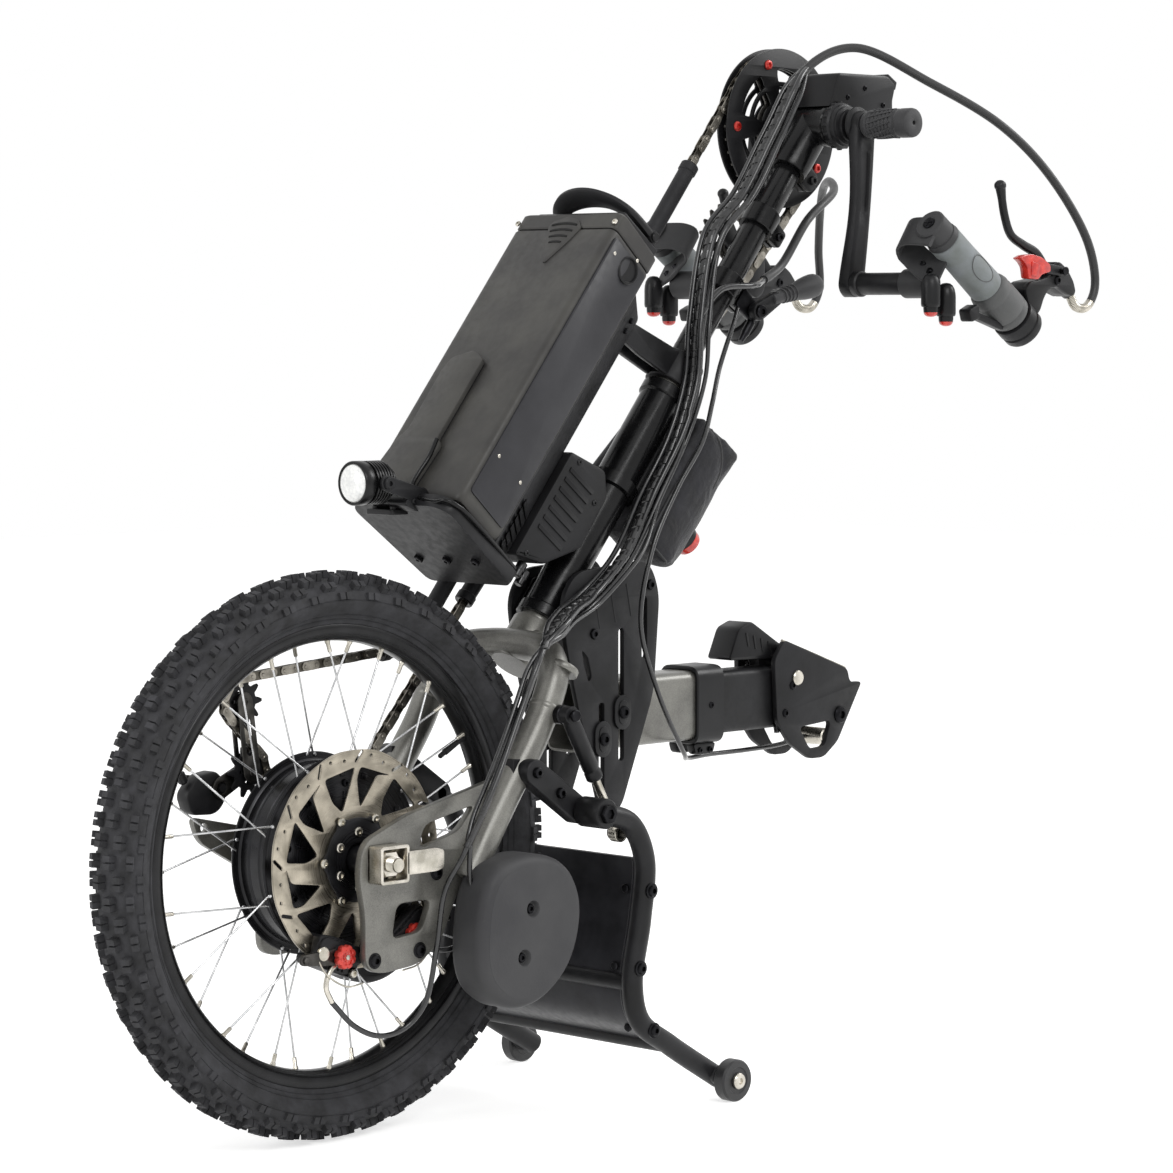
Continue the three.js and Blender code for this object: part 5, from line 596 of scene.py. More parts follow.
GLOWING_LENS = glowing_lens()
RED_ANODISED = dyed_gloss("red anodised aluminium", "b3261f", "d33c30", 0.3, 0.45)
RED_PLASTIC = dyed_gloss("red moulded acrylic", "b8201c", "dd3a2c", 0.2)
CABLE_JACKET = dyed_gloss("glossy black cable jacket", "0e0e0f", "1c1c1e", 0.3)
WRAP_PLASTIC = dyed_gloss("black spiral wrap", "0d0d0e", "1a1a1b", 0.26)
BRAIDED_SLEEVE = soft_rubber("black braided cable sleeve", "111112", "1d1d1e", 0.5)
COPPER_ANODISED = dyed_gloss("amber anodised spring seat", "7c4a20", "a86a34", 0.35, 0.6)
BALLAST_GREY = moulded_plastic("grey rubber skin of the cast weights", "3d3d3f", "4b4b4c", 0.56, 2.6, 0.05)
GUARD_SHEET = powder_coat("satin black sheet with wear", "1d1d20", "313135", 0.34, 0.03)
GLOSS_BLACK = powder_coat("gloss black stove enamel", "0c0c0d", "161617", 0.22, 0.02)
SCREEN_GLASS = dyed_gloss("dark acrylic screen", "101317", "1b2026", 0.08)
YOKE_GREY = moulded_plastic("charcoal glass filled nylon", "303031", "3e3e3f", 0.48, 1.2, 0.04)
GRIP_CHARCOAL = soft_rubber("charcoal grip rubber", "454646", "555656", 0.62)
# Near-black plates standing for the vents: painted shade in the openings
VENT_SHADOW = moulded_plastic("painted vent shadow", "0b0b0b", "131312", 0.6)
# A darker copy of the case enamel for the sides: painted shade
SIDE_SHADE_ENAMEL = powder_coat("enamel darkened as painted side shade", "2b2b2e", "343437", 0.4, 0.03)
LAMP_BLACK = powder_coat("black anodised lamp casting", "0b0b0c", "161617", 0.3, 0.02)
REFLECTOR = bare_metal("vacuum coated reflector", "d9d9d6", "f2f2f0", 0.12, 3, 0.01)
PLATE_BLACK = powder_coat("fine textured black powder coat", "161617", "232325", 0.46, 0.04)
BAG_PIPING = soft_rubber("black bound seam", "0c0c0d", "19191b", 0.6)
OILED_LINK = bare_metal("oiled dark link steel", "48453f", "6b675f", 0.36, 0.9, 0.04)


# Cables: each route is the one that its solid follows, cut where it passes from one body to the next
LOOM_LEFT = [
    (-833.5, 186, 760.7), (-842, 186, 750), (-860, 186, 749), (-874, 186, 768), (-866, 184, 812), (-826, 166, 880),
    (-780, 140, 930), (-722, 96, 972), (-662, 50, 1006), (-606, 36, 985), (-560, 30, 920), (-520, 28, 860),
    (-478, 28, 820), (-453, 30, 736), (-446, 30, 678), (-420, 32, 620), (-384, 34, 570), (-338, 46, 516),
    (-282, 54, 478), (-226, 78, 464), (-178, 99, 440), (-150, 102, 392), (-124, 102, 341), (-99, 102, 297),
    (-80, 100, 266),
]
LOOM_RIGHT = [
    (-833.5, -186, 760.7), (-842, -186, 750), (-860, -186, 749), (-874, -186, 768), (-866, -180, 812),
    (-826, -140, 868), (-780, -90, 880), (-730, -40, 866), (-668, -20, 836), (-622, -12, 792), (-575, 6, 776),
    (-534, 30, 770), (-490, 28, 766), (-453, 30, 736),
]
BRAKE_HOSE = [
    (-84, 100, 272), (-76, 98, 256), (-60, 93, 228), (-56, 86, 176), (-52, 74, 124), (-36, 66, 104), (-7, 64, 100),
    (21, 62, 112), (46, 60, 136),
]
RELEASE_CABLE = [
    (-534.6, 8.7, 749.1), (-522, 14, 732), (-492, 24, 690), (-462, 42, 655), (-436, 54, 620), (-400, 55, 576),
    (-366, 55, 520), (-350, 55, 450), (-376, 52, 384), (-430, 36, 318), (-462, 10, 309), (-500, 2, 309),
    (-560, 0, 309), (-610, 0, 311), (-644, 0, 316.5),
]


def between(route, first, last):
    """The part of a smooth route from the place nearest to one point to the place nearest to another."""
    near = [min(range(len(route)), key=lambda i: (route[i] - Vector(p)).length) for p in (first, last)]
    return route[near[0]:near[1] + 1]


def aside(route, across, up, wave=0.0, turns=3.0, phase=0.0):
    """A route beside another, wandering a little as separate cables do."""
    made = []
    count = len(route)
    for i, place in enumerate(route):
        _, first, second = square_to(heading(route, i))
        if first.y < 0:
            first, second = -first, -second
        fade = math.sin(math.pi * min(1, i / 8, (count - 1 - i) / 8) / 2)
        sway = wave * math.sin(TURN * (turns * i / count + phase)) * fade
        made.append(place + first * (across * fade + sway) + second * (up * fade + sway * 0.6))
    return made


def wrapped(route, radius, pitch, width):
    """A flat strip wound round a cable."""
    places = [Vector(p) for p in route]
    gone = [0.0]
    for i in range(1, len(places)):
        gone.append(gone[-1] + (places[i] - places[i - 1]).length)
    frames = []
    _, across, _ = square_to(places[1] - places[0])
    for i, place in enumerate(places):
        way = heading(places, i)
        across = (across - way * across.dot(way)).normalized()
        frames.append((place, way, across))
    steps = int(gone[-1] / pitch * 14)
    rows = []
    at = 0
    for step in range(steps + 1):
        distance = gone[-1] * step / steps
        while at < len(gone) - 2 and gone[at + 1] < distance:
            at += 1
        share = (distance - gone[at]) / max(gone[at + 1] - gone[at], 1e-6)
        place = frames[at][0].lerp(frames[at + 1][0], share)
        way = frames[at][1].lerp(frames[at + 1][1], share).normalized()
        first = frames[at][2].lerp(frames[at + 1][2], share)
        first = (first - way * first.dot(way)).normalized()
        second = way.cross(first)
        angle = TURN * distance / pitch
        out = first * math.cos(angle) + second * math.sin(angle)
        rows.append([place + out * (radius + lift) + way * width * share for lift, share in (
            (0, -0.5), (1.1, -0.42), (1.1, 0.42), (0, 0.5),
        )])
    return Body().rows(rows)


def strand(name, route, radius, material, body, replaces=(), sides=12):
    """A length of cable."""
    return piece(name, Body().tube(route, radius, sides), material, body, replaces, angle=60)


LEFT_RUN = smooth_route(LOOM_LEFT, 5)
RIGHT_RUN = smooth_route(LOOM_RIGHT, 5)
RELEASE_RUN = smooth_route(RELEASE_CABLE, 5)


def handle_looms():
    """The arcs from each brake lever to the top of the mast, each made in an outer and an inner part."""
    for side, run, turn_over, mast_end in (
        ("left", LEFT_RUN, (-826, 166, 880), (-560, 30, 920)),
        ("right", RIGHT_RUN, (-826, -140, 868), (-575, 6, 776)),
    ):
        outer = between(run, run[0], turn_over)
        inner = between(run, turn_over, mast_end)
        with_handle = (f"handle_{side}", "crank", outer[0], outer[-1])
        with_crank = ("crank", "mast_top", inner[0], inner[-1])
        for part, route, way, replaced in (
            ("outer", outer, with_handle, "cable_harness"), ("inner", inner, with_crank, ()),
        ):
            loom = strand(f"loom_{side}_{part}", route, 3.1, CABLE_JACKET, way, replaced)
        strand(f"loom_{side}_sleeve", inner, 4.4, BRAIDED_SLEEVE, with_crank, sides=20)
        strand(f"loom_{side}_outer_sleeve", outer[9:], 4.4, BRAIDED_SLEEVE, with_handle, sides=20)
        # The boot is ringed so that it can bend
        path = smooth_route(outer[:10], 2)
        boot = Body().tube(path, 3.7, 20)
        for i in range(1, len(path) - 1):
            boot.turned([(3.4, -0.9), (4.5, -0.6), (4.7, 0), (4.5, 0.6), (3.4, 0.9)], path[i],
                        path[i + 1] - path[i - 1], 24)
        piece(f"loom_{side}_boot", boot, NICKEL, f"handle_{side}")


def mast_looms():
    """The bundle down the mast and over the fork."""
    slide = ("mast_top", "fork_and_dock", (-520, 28, 860), (-453, 30, 736))
    bundle = between(LEFT_RUN, (-606, 36, 985), (-178, 99, 440))
    # Each cable: how far it lies across and up from the middle one, its radius, how far it strays and how often
    for i, (across, up, radius, wave, turns) in enumerate((
        (0, 0, 4.2, 0.0, 1), (8, 3, 2.6, 5, 2.1), (-7, 4, 2.6, 4, 1.7), (3, -8, 3.0, 6, 2.6), (11, -5, 2.2, 5, 3.2),
    )):
        route = aside(bundle, across, up, wave, turns, i * 0.21)
        strand(f"mast_cable_{i + 1}", route, radius, CABLE_JACKET, slide)
    piece("mast_wrap", wrapped(bundle, 4.2, 15, 9.5), WRAP_PLASTIC, slide, angle=50)
    lower = between(LEFT_RUN, (-178, 99, 440), (-80, 100, 266))
    for i, (across, up, radius) in enumerate(((0, 0, 3.4), (5, 4, 2.4), (-4, 5, 2.4))):
        route = aside(lower, across, up, 1.5, 1.5, i * 0.3)
        strand(f"fork_cable_{i + 1}", route, radius, CABLE_JACKET, "fork_and_dock")
    strand("mast_cable_right", between(RIGHT_RUN, (-575, 6, 776), (-453, 30, 736)), 3.1, CABLE_JACKET, slide)


def brake_hoses():
    """The two hoses that leave the loom at the axle and bend up into the callipers."""
    rear = [(-84, 100, 268), (-88, 96, 236), (-98, 92, 214), (-104, 84, 190), (-92, 74, 172), (-72, 66, 170),
            (-58, 62, 176)]
    end = [(46, 60, 136), (52, 59, 150), (46, 58, 164), (30, 56, 172)]
    for name, route, step, finish in (
        ("front", BRAKE_HOSE, 4, CABLE_JACKET), ("rear", rear, 4, CABLE_JACKET), ("end", end, 3, NICKEL),
    ):
        strand(f"brake_hose_{name}", smooth_route(route, step), 2.5, finish, "fork_and_dock")


def release_cables():
    """The docking release: a thin cable from the lever on the mast to the docking head."""
    first = between(RELEASE_RUN, RELEASE_RUN[0], (-436, 54, 620))
    strand("release_cable_mast", first, 2.4, CABLE_JACKET, ("mast_top", "fork_and_dock", first[0], first[-1]),
           "release_cable")
    second = between(RELEASE_RUN, (-436, 54, 620), (-350, 55, 450))
    strand("release_cable_steering", second, 2.4, CABLE_JACKET, ("fork_and_dock", "coupling", second[0], second[-1]))
    third = between(RELEASE_RUN, (-350, 55, 450), RELEASE_RUN[-1])
    strand("release_cable_arm", third, 2.4, CABLE_JACKET, ("coupling", "arm", (-470, 5, 309), (-600, 0, 311)))


handle_looms()
mast_looms()
brake_hoses()
release_cables()


# Wheel
CASING = [(200.3, 11), (206, 11.6), (212, 14), (219, 20.5), (227, 26), (233, 27.3), (239, 25.2), (244, 20), (247, 13),
          (248.6, 6.5), (249, 0)]


def about_axle(radius, angle, y=0):
    return on_side(*polar_place(radius, angle, AXLE), y)


def casing_place(distance):
    """Radius, width and outward slope of the casing at a distance across it from the crown."""
    left = abs(distance)
    points = CASING[::-1]
    for (r0, y0), (r1, y1) in zip(points, points[1:]):
        length = math.dist((r0, y0), (r1, y1))
        if left <= length:
            share = left / length
            out = Vector((y1 - y0, r0 - r1)).normalized()
            sign = 1 if distance >= 0 else -1
            return r0 + (r1 - r0) * share, sign * (y0 + (y1 - y0) * share), out.x, sign * out.y
        left -= length
    return points[-1][0], points[-1][1], 0, 1


def casing_width(radius):
    for (r0, y0), (r1, y1) in zip(CASING, CASING[1:]):
        if r0 <= radius <= r1:
            return y0 + (y1 - y0) * (radius - r0) / (r1 - r0)


def tread_block(shape, middle, wide, around, reach, levels):
    """A block on the casing: each level is a height over the casing and a share of the block's size."""
    rows = []
    for lift, size in levels:
        row = []
        for across, along in ((-1, -1), (1, -1), (1, 1), (-1, 1)):
            r, y, up, out = casing_place(middle + across * wide / 2 * size)
            row.append(about_axle(r + lift * up, around + along * reach * size, y + lift * out))
        rows.append(row)
    shape.rows(rows)


def tyre():
    left = [(r, y) for r, y in CASING]
    right = [(r, -y) for r, y in CASING[-2::-1]]
    liner = [(214, -9), (239, -16), (243, 0), (239, 16), (214, 9)]
    shape = Body().turned(left + right + liner, AXLE_PLACE, sides=176, ring=True)
    # Each row of blocks: middle across the casing, width, length round the wheel, height, and shift in pitches
    rows = [
        (-5.6, 8.6, 12.5, 7.6, 0.0), (5.6, 8.6, 12.5, 7.6, 0.5), (-15.4, 8, 13, 7.4, 0.5), (15.4, 8, 13, 7.4, 0.0),
        (-24.6, 7.4, 14, 6.2, 0.02), (24.6, 7.4, 14, 6.2, 0.52), (-32.4, 5.6, 15.5, 3.4, 0.5),
        (32.4, 5.6, 15.5, 3.4, 0.0),
    ]
    blocks_in_row = 44
    tread_radius = 253
    for middle, width, length, height, shift in rows:
        half = length / 2 / tread_radius
        for i in range(blocks_in_row):
            wide = width * random.uniform(0.95, 1.03)
            around = (i + shift) * TURN / blocks_in_row
            for part in (-1, 1):
                tread_block(shape, middle, wide, around + part * half * 0.53, half * 0.47, ((-1.2, 1), (height, 0.86)))
            # A low bridge joins the two halves of each block
            tread_block(shape, middle, wide * 0.76, around, half * 0.4, ((-1.2, 1), (height * 0.55, 1)))
    # Moulded lines round the lower sidewall
    for radius in (213.5, 217.5, 231):
        y = casing_width(radius) + 0.15
        shape.turned([(radius - 0.6, y - 0.6), (radius, y + 0.5), (radius + 0.6, y - 0.6)], AXLE_PLACE, sides=176,
                     ring=True, both=True)
    piece("tyre_full", shape, TYRE_RUBBER, "wheel", "tyre", angle=38)


def rim():
    shape = Body()
    shape.turned([
        (193.5, -5), (194.5, -9), (198, -12.4), (203, -13.6), (208, -13.8), (209, -13), (208.6, -11.6), (204.6, -11.5),
        (200.6, -10.4), (200, -6), (198.6, 0), (200, 6), (200.6, 10.4), (204.6, 11.5), (208.6, 11.6), (209, 13),
        (208, 13.8), (203, 13.6), (198, 12.4), (194.5, 9), (193.5, 5), (193, 0),
    ], AXLE_PLACE, sides=160, ring=True)
    piece("rim_hoop", shape, RIM_BLACK, "wheel", "rim", angle=50)
    spokes, nipples = Body(), Body()
    for i in range(36):
        side = 1 if i % 2 else -1
        lead = 1 if i % 4 < 2 else -1
        outer = i / 36 * TURN
        inner = outer + lead * math.radians(13)
        foot = Vector(about_axle(89.5, inner, side * (20.5 + lead * 1.3)))
        top = Vector(about_axle(194.6, outer, side * 3))
        spokes.tube([foot, foot.lerp(top, 0.12), foot.lerp(top, 0.5), top], [1.15, 0.95, 0.9, 0.95], 10)
        # Each head lies outside or inside the hub's flange by turns
        head = Vector((foot.x, side * (23.4 if side * lead > 0 else 19), foot.z))
        spokes.turned([(0.9, -1.6), (1.7, -1.2), (1.9, 0), (1.2, 0.9)], head, (0, lead, 0), 12)
        spokes.turned([(1.1, 0), (1.1, (foot - head).length)], head, foot - head, 8)
        nipples.turned([(1.5, -12), (1.9, -11.4), (1.9, -4), (2.5, -3), (2.5, 1)], top, top - foot, 8)
    piece("spokes", spokes, SPOKE_STEEL, "wheel", angle=50)
    piece("spoke_nipples", nipples, NICKEL, "wheel", angle=40)
    base = Vector(about_axle(194, math.radians(151)))
    valve = Body().turned([(4, 0), (4, 2), (3.2, 4), (3.2, 26), (2.4, 27), (2.4, 33), (1.6, 34)], base,
                          Vector(AXLE_PLACE) - base, 20)
    piece("tyre_valve", valve, BLACK_PLASTIC, "wheel")


def hub_motor():
    shape = Body()
    shape.turned([
        (7.6, -28), (26, -28), (29, -27), (30, -25.5), (40, -25.4), (41, -24.6), (58, -25), (64, -24.8), (69, -23.4),
        (88, -23), (91, -22.6), (92, -21), (91.4, -19.8), (86, -19.4), (84, -18), (84, -10), (83, -9), (83, -6),
        (84, -5), (84, 5), (83, 6), (83, 9), (84, 10), (84, 18), (86, 19.4), (91.4, 19.8), (92, 21), (91, 22.6),
        (88, 23), (69, 23.4), (64, 24.8), (58, 25), (41, 24.8), (38, 26), (34, 29), (34, 37.5), (33, 39.3),
        (14, 39.3), (13, 40), (13, 63), (11.5, 66), (7.6, 66),
    ], AXLE_PLACE, sides=128, ring=True)
    for i in range(18):
        shape.turned([(3.2, 22.6), (3.2, 24.2), (2.2, 24.6)], about_axle(76, (i + 0.5) / 18 * TURN), sides=12,
                     both=True)
    # Ribs stand on the left cover
    for i in range(24):
        angle = i / 24 * TURN
        across = Vector((-math.sin(angle), 0, math.cos(angle)))
        shape.rows([
            [Vector(about_axle(radius, angle, y)) + across * s
             for s, y in ((-1.2, 24.6), (-0.7, 26.2), (0.7, 26.2), (1.2, 24.6))]
            for radius in (44, 60)
        ])
    piece("hub_shell", shape, HUB_BLACK, "wheel", "hub_motor", angle=30)
    screws = Body()
    for i in range(9):
        screws.screw(*polar_place(67, (i + 0.3) / 9 * TURN, AXLE), 23.6, 26.4, 3.6, both=True)
    piece("hub_screws", screws, BLACK_SCREW, "wheel", angle=30)


def brake_rotor():
    holes = []
    arms = 12
    unit = TURN / arms
    for i in range(arms):
        if i % 2:
            window = [(46, 0.18), (78, 0.64), (83, 1.0), (83, 0.12), (72, 0.02)]
        else:
            window = [(46, 0.3), (62, 0.72), (83, 0.98), (83, 0.1), (60, 0.06)]
        holes.append(flat_shape([polar_place(r, (i + a) * unit, AXLE) for r, a in window], 4, 3))
    for i in range(36):
        start = i / 36 * TURN
        if i % 3 == 0:
            slot = [polar_place(88, start, AXLE), polar_place(96.4, start + 0.075, AXLE)]
            holes.append(link_shape(*slot, 1.6, steps=4))
        else:
            holes.append(ring_shape(1.7, 8, *polar_place(93.6 - 3.6 * (i % 3 - 1), start + 0.02, AXLE)))
    holes.append(ring_shape(37, 48, *AXLE))
    edge = []
    for i in range(180):
        angle = TURN * i / 180
        edge.append(polar_place(99 - 0.9 * (1 + math.cos(12 * angle)) / 2, angle, AXLE))
    shape = Body().plate([edge] + holes, 39.9, 42.0, bevel=0.25)
    piece("rotor_disc", shape, ROTOR_STEEL, "wheel", "brake_rotor", angle=40)
    star = []
    for i in range(96):
        angle = TURN * i / 96
        star.append(polar_place(38 + 5 * max(0.0, math.cos(6 * angle)) ** 2, angle, AXLE))
    spider = Body().plate([star, ring_shape(15, 40, *AXLE)], 42.1, 44.4, bevel=0.5)
    piece("rotor_carrier", spider, HUB_BLACK, "wheel", angle=30)
    bolts = Body()
    for i in range(6):
        bolts.screw(*polar_place(40.5, i / 6 * TURN, AXLE), 44.3, 46.8, 4.2)
        bolts.screw(*polar_place(25, (i + 0.5) / 6 * TURN, AXLE), 44.3, 46.4, 4.4)
    piece("rotor_bolts", bolts, NICKEL, "wheel", angle=30)


def axle():
    thread = [(6.2, -98), (7, -97)]
    for i in range(13):
        thread += [(7, -96.6 + i * 0.9), (6.5, -96.2 + i * 0.9)]
    right = thread + [(7, -84), (7, 84)]
    left = [(7 if i % 2 else 6.5, 84.6 + i * 0.45) for i in range(27)] + [(6.2, 98)]
    shape = Body().turned(right + left, AXLE_PLACE, sides=32)
    shape.turned([(8, 75.9), (16, 75.9), (16, 77.6), (8, 77.6)], AXLE_PLACE, sides=40, ring=True, both=True)
    for side in (-1, 1):
        shape.rows([[on_side(*p, side * y) for p in ring_shape(size, 6, *AXLE)]
                    for size, y in ((12.2, 77.6), (13, 78.6), (13, 86.6), (12, 87.8))])
    piece("axle_and_nuts", shape, NICKEL, "fork_and_dock", "axle", angle=30)


def cog_outlines(teeth, depth=3.4, inner=None, centre=(0, 0)):
    """A sprocket's toothed edge, and an inner edge with as many points."""
    radius = CHAIN_PITCH * teeth / TURN
    outer, hole = [], []
    for i in range(teeth):
        for share, lift in ((-0.34, -0.95), (-0.2, 0.1), (-0.08, 1), (0.08, 1), (0.2, 0.1), (0.34, -0.95)):
            angle = (i + share) / teeth * TURN
            outer.append(polar_place(radius + lift * depth, angle, centre))
            hole.append(polar_place(inner or radius - 9, angle, centre))
    return outer, hole


def cassette():
    shape = Body()
    for i, teeth in enumerate((14, 15, 16, 18, 19, 21, 22, 24, 26)):
        y = -58 + i * 3.25
        shape.band(*cog_outlines(teeth, inner=17 if teeth < 18 else None, centre=AXLE), y - 0.85, y + 0.85)
        if teeth < 18:
            continue
        # The larger sprockets stand on five arms
        far = CHAIN_PITCH * teeth / TURN - 7
        for arm in range(5):
            angle = arm / 5 * TURN
            ends = [polar_place(18, angle + s, AXLE) for s in (-0.35, 0.35)]
            ends += [polar_place(far, angle + s, AXLE) for s in (0.16, -0.16)]
            shape.rows([[on_side(*p, depth) for p in ends] for depth in (y - 0.7, y + 0.7)])
    shape.turned([(9.2, -60), (16, -60), (18, -59), (19, -57), (19, -31), (17, -30), (9.2, -30)], AXLE_PLACE,
                 sides=48, ring=True)
    piece("cassette_cogs", shape, CHAIN_STEEL, "cassette", "cassette", angle=30)
    ring = Body().turned([(10, -60.6), (15, -60.6), (16, -59.8), (16, -58.9), (10, -58.9)], AXLE_PLACE, sides=40,
                         ring=True)
    piece("cassette_lock_ring", ring, NICKEL, "cassette")


tyre()
rim()
hub_motor()
brake_rotor()
axle()
cassette()


# Fork, axle plates, weights and callipers
LEG_SHARES = [(0.44, 1, 0.54), (0.56, 1, 0.64), (0.69, 1, 0.74), (0.81, 1, 0.83), (0.882, 1, 0.9),
              (0.93, 0.95, 0.95), (0.975, 0.72, 0.988), (1, 0.35, 1)]
FORK_LEG = [(-231 * back, 78 * out, 433 * up) for back, out, up in LEG_SHARES]
STAND_PIVOT = (-224, 286)
STRUT_TOP = (-204, 0, 376)


def fork():
    route = smooth_route(FORK_LEG + [(x, -y, z) for x, y, z in FORK_LEG[::-1]], 5)
    tubes = Body().tube(route, 14.5, 40)
    # A pressed plug closes each leg's foot, and a shallow weld bead rings the crown
    foot, above = Vector(FORK_LEG[0]), Vector(FORK_LEG[2])
    for side in (1, -1):
        flip = Vector((1, side, 1))
        tubes.turned([(10, -2.4), (13.4, -2), (14.5, -0.8), (14.5, 1)], foot * flip, (above - foot) * flip, 40)
        for share in (0.34, 0.42):
            place = foot.lerp(above, share * 5)
            tubes.turned([(14.6, -3.2), (15.3, -2.4), (15.3, 2.4), (14.6, 3.2)], place * flip, (above - foot) * flip,
                         40)
    tubes.turned([(19.5, 616.5), (21.4, 617.2), (22, 618.6), (22, 662.6), (21.2, 664), (19.6, 664)],
                 mast_place(0, 0), MAST_DOWN, 56)
    tubes.turned([(17, 301), (17, 620)], mast_place(0, 0), MAST_DOWN, 48)
    for y in (-24, 24):
        bead = []
        for i in range(24):
            forward, below = polar_place(15.6, TURN * i / 24, (0, 642))
            bead.append(mast_place(forward, below, y * (0.8 + 0.03 * math.cos(TURN * i / 8))))
        tubes.tube(bead, 1.7, 8, closed=True)
    piece("fork_tubes", tubes, GUNMETAL, "fork_and_dock", "fork", angle=45)
    lugs = Body().plate([link_shape((-166, 326), STAND_PIVOT, 12, steps=14)], 86, 102, bevel=1.2, both=True)
    for side in (1, -1):
        lugs.block((-172, side * 88, 316), (-150, side * 76, 338))
    piece("stand_lugs", lugs, BLACK_COAT, "fork_and_dock", bevel=0.6)
    middle = on_side(*STAND_PIVOT, 0)
    pins = Body().turned([(5.5, 86), (5.5, 134.6), (4.6, 135.4)], middle, sides=32, both=True)
    pins.turned([(9.4, 135.2), (9.4, 138.2), (8.6, 139.4), (5, 139.4), (4.6, 137.4)], middle, sides=6, both=True)
    pins.turned([(3.5, 78), (3.5, 112.6), (5.6, 112.8), (5.6, 115.2), (4.6, 116)], STRUT_TOP, sides=32)
    pins.turned([(9, 70), (9, 98.6), (8, 99.6)], STRUT_TOP, sides=32)
    for x, z in ((-166, 326), (-196, 305)):
        pins.screw(x, z, 102, 106.4, 5.2, both=True)
    piece("stand_pins", pins, BLACK_SCREW, "fork_and_dock")


def plate_place(back, up):
    return (-back * 150, 257 + up * (66 if up > 0 else 92))


def plate_shape(shares, radius):
    return flat_shape([plate_place(*p) for p in shares], radius, 6)


def axle_plates():
    edge = plate_shape((
        (1, 1), (0.6, 0.8), (0.2, 0.6), (-0.14, 0.3), (-0.18, -0.1), (-0.13, -0.5), (-0.13, -1), (-0.02, -1.08),
        (0.3, -1.04), (0.48, -0.84), (0.58, -0.5), (0.72, -0.1), (1.06, 0.78),
    ), 13)
    windows = [
        plate_shape(((0.3, 0.12), (0.62, 0.3), (0.76, 0.64), (0.34, 0.44)), 9),
        plate_shape(((0.12, -0.42), (0.4, -0.42), (0.32, -0.72), (0.08, -0.76)), 9),
    ]
    outlines = [edge, ring_shape(7.4, 32, *AXLE), *windows]
    left = Body().plate(outlines, 67.5, 75.5, bevel=1.1)
    left.turned([(15.5, 75.4), (15.5, 77.6), (14.6, 78.4), (8, 78.4)], AXLE_PLACE, sides=48)
    piece("axle_plate_left", left, GUNMETAL, "fork_and_dock", "dropout_left", angle=35)
    hanger = plate_shape(((-0.66, 0.56), (-0.6, 0.2), (-0.18, -0.24), (0.1, 0.1), (-0.14, 0.3)), 10)
    right = Body().plate(outlines, 67.5, 75.5, bevel=1.1)
    right.plate([hanger, ring_shape(4.2, 24, 84, 283)], 68, 75, bevel=0.8)
    piece("axle_plate_right", right.mirrored(), GUNMETAL, "fork_and_dock", "dropout_right", angle=35)
    bolts = Body()
    for share in ((0.9, 0.74), (0.44, -0.16), (0.3, -0.9), (-0.06, -0.94)):
        x, z = plate_place(*share)
        bolts.screw(x, z, 75.3, 79, 6, both=True)
        bolts.turned([(7.2, 75.4), (7.2, 76.2), (6.6, 76.5)], (x, 0, z), sides=32, both=True)
    piece("axle_plate_bolts", bolts, BLACK_SCREW, "fork_and_dock")
    # A square cup of pressed steel stands over the left nut, with a tongue that runs back
    outer = flat_shape([(-17, 240), (17, 240), (17, 274), (-17, 274)], 3.4, 5)
    inner = flat_shape([(-14, 243), (14, 243), (14, 271), (-14, 271)], 1.6, 5)
    tongue = flat_shape([(-59, 249), (-50, 246.5), (-14.5, 246.5), (-14.5, 267.5), (-50, 267.5), (-59, 265)], 3, 5)
    cup = Body().plate([outer, inner], 75.6, 93.5, bevel=0.5)
    cup.plate([outer, ring_shape(13.2, 32, *AXLE)], 75.6, 78.4, bevel=0.3)
    cup.plate([tongue], 90.5, 93.5, bevel=0.5)
    piece("square_cup", cup, NICKEL, "fork_and_dock", angle=35)


def weights():
    box = (136, 145, -210, 113)
    outline = flat_shape(spread((
        (0.52, 1), (0.92, 0.9), (1, 0.24), (0.7, 0), (0.38, 0.04), (0.1, 0.26), (0, 0.64), (0.16, 0.92),
    ), *box), 44, 12)
    middle = [sum(p[k] for p in outline) / len(outline) for k in (0, 1)]
    holes = spread(((0.5, 0.64), (0.58, 0.34)), *box)

    def drawn_in(share):
        return [tuple(middle[k] + (p[k] - middle[k]) * share for k in (0, 1)) for p in outline]

    shape = Body().rows([[on_side(*p, depth) for p in drawn_in(share)] for share, depth in (
        (0.9, 80), (0.955, 80.6), (0.985, 82.4), (1, 86), (1, 110), (0.992, 114.4), (0.97, 118), (0.94, 120.4),
        (0.9, 121.7), (0.86, 121.9),
    )], caps=False)
    # The flat back and face reach a little past the rounded edge, so that no edges coincide
    shape.plate([drawn_in(0.905)], 80.2, 82)
    shape.plate([drawn_in(0.865), *[ring_shape(8, 40, *hole) for hole in holes]], 119, 122)
    for hole in holes:
        shape.rows([[on_side(*p, depth) for p in ring_shape(radius, 40, *hole)] for radius, depth in (
            (8.1, 121.8), (7.4, 121), (7, 119), (6.2, 117.4), (3, 117),
        )], caps=False)
        shape.plate([ring_shape(3.2, 32, *hole)], 115, 117.1)
    piece("weight_left", shape, BALLAST_GREY, "fork_and_dock", "ballast_left", angle=38)
    piece("weight_right", shape.mirrored(), BALLAST_GREY, "fork_and_dock", "ballast_right", angle=38)
    screws = Body()
    for hole in holes:
        screws.screw(*hole, 116.8, 119.6, 4.6, 32, both=True)
    piece("weight_screws", screws, BLACK_SCREW, "fork_and_dock")


def calliper_place(angle):
    """Lays a drawing round the axle: a runs along the rotor's edge and b out from the axle."""
    turn = math.radians(90 - angle)
    return lambda a, b, depth: (
        a * math.cos(turn) + b * math.sin(turn), depth, AXLE[1] - a * math.sin(turn) + b * math.cos(turn),
    )


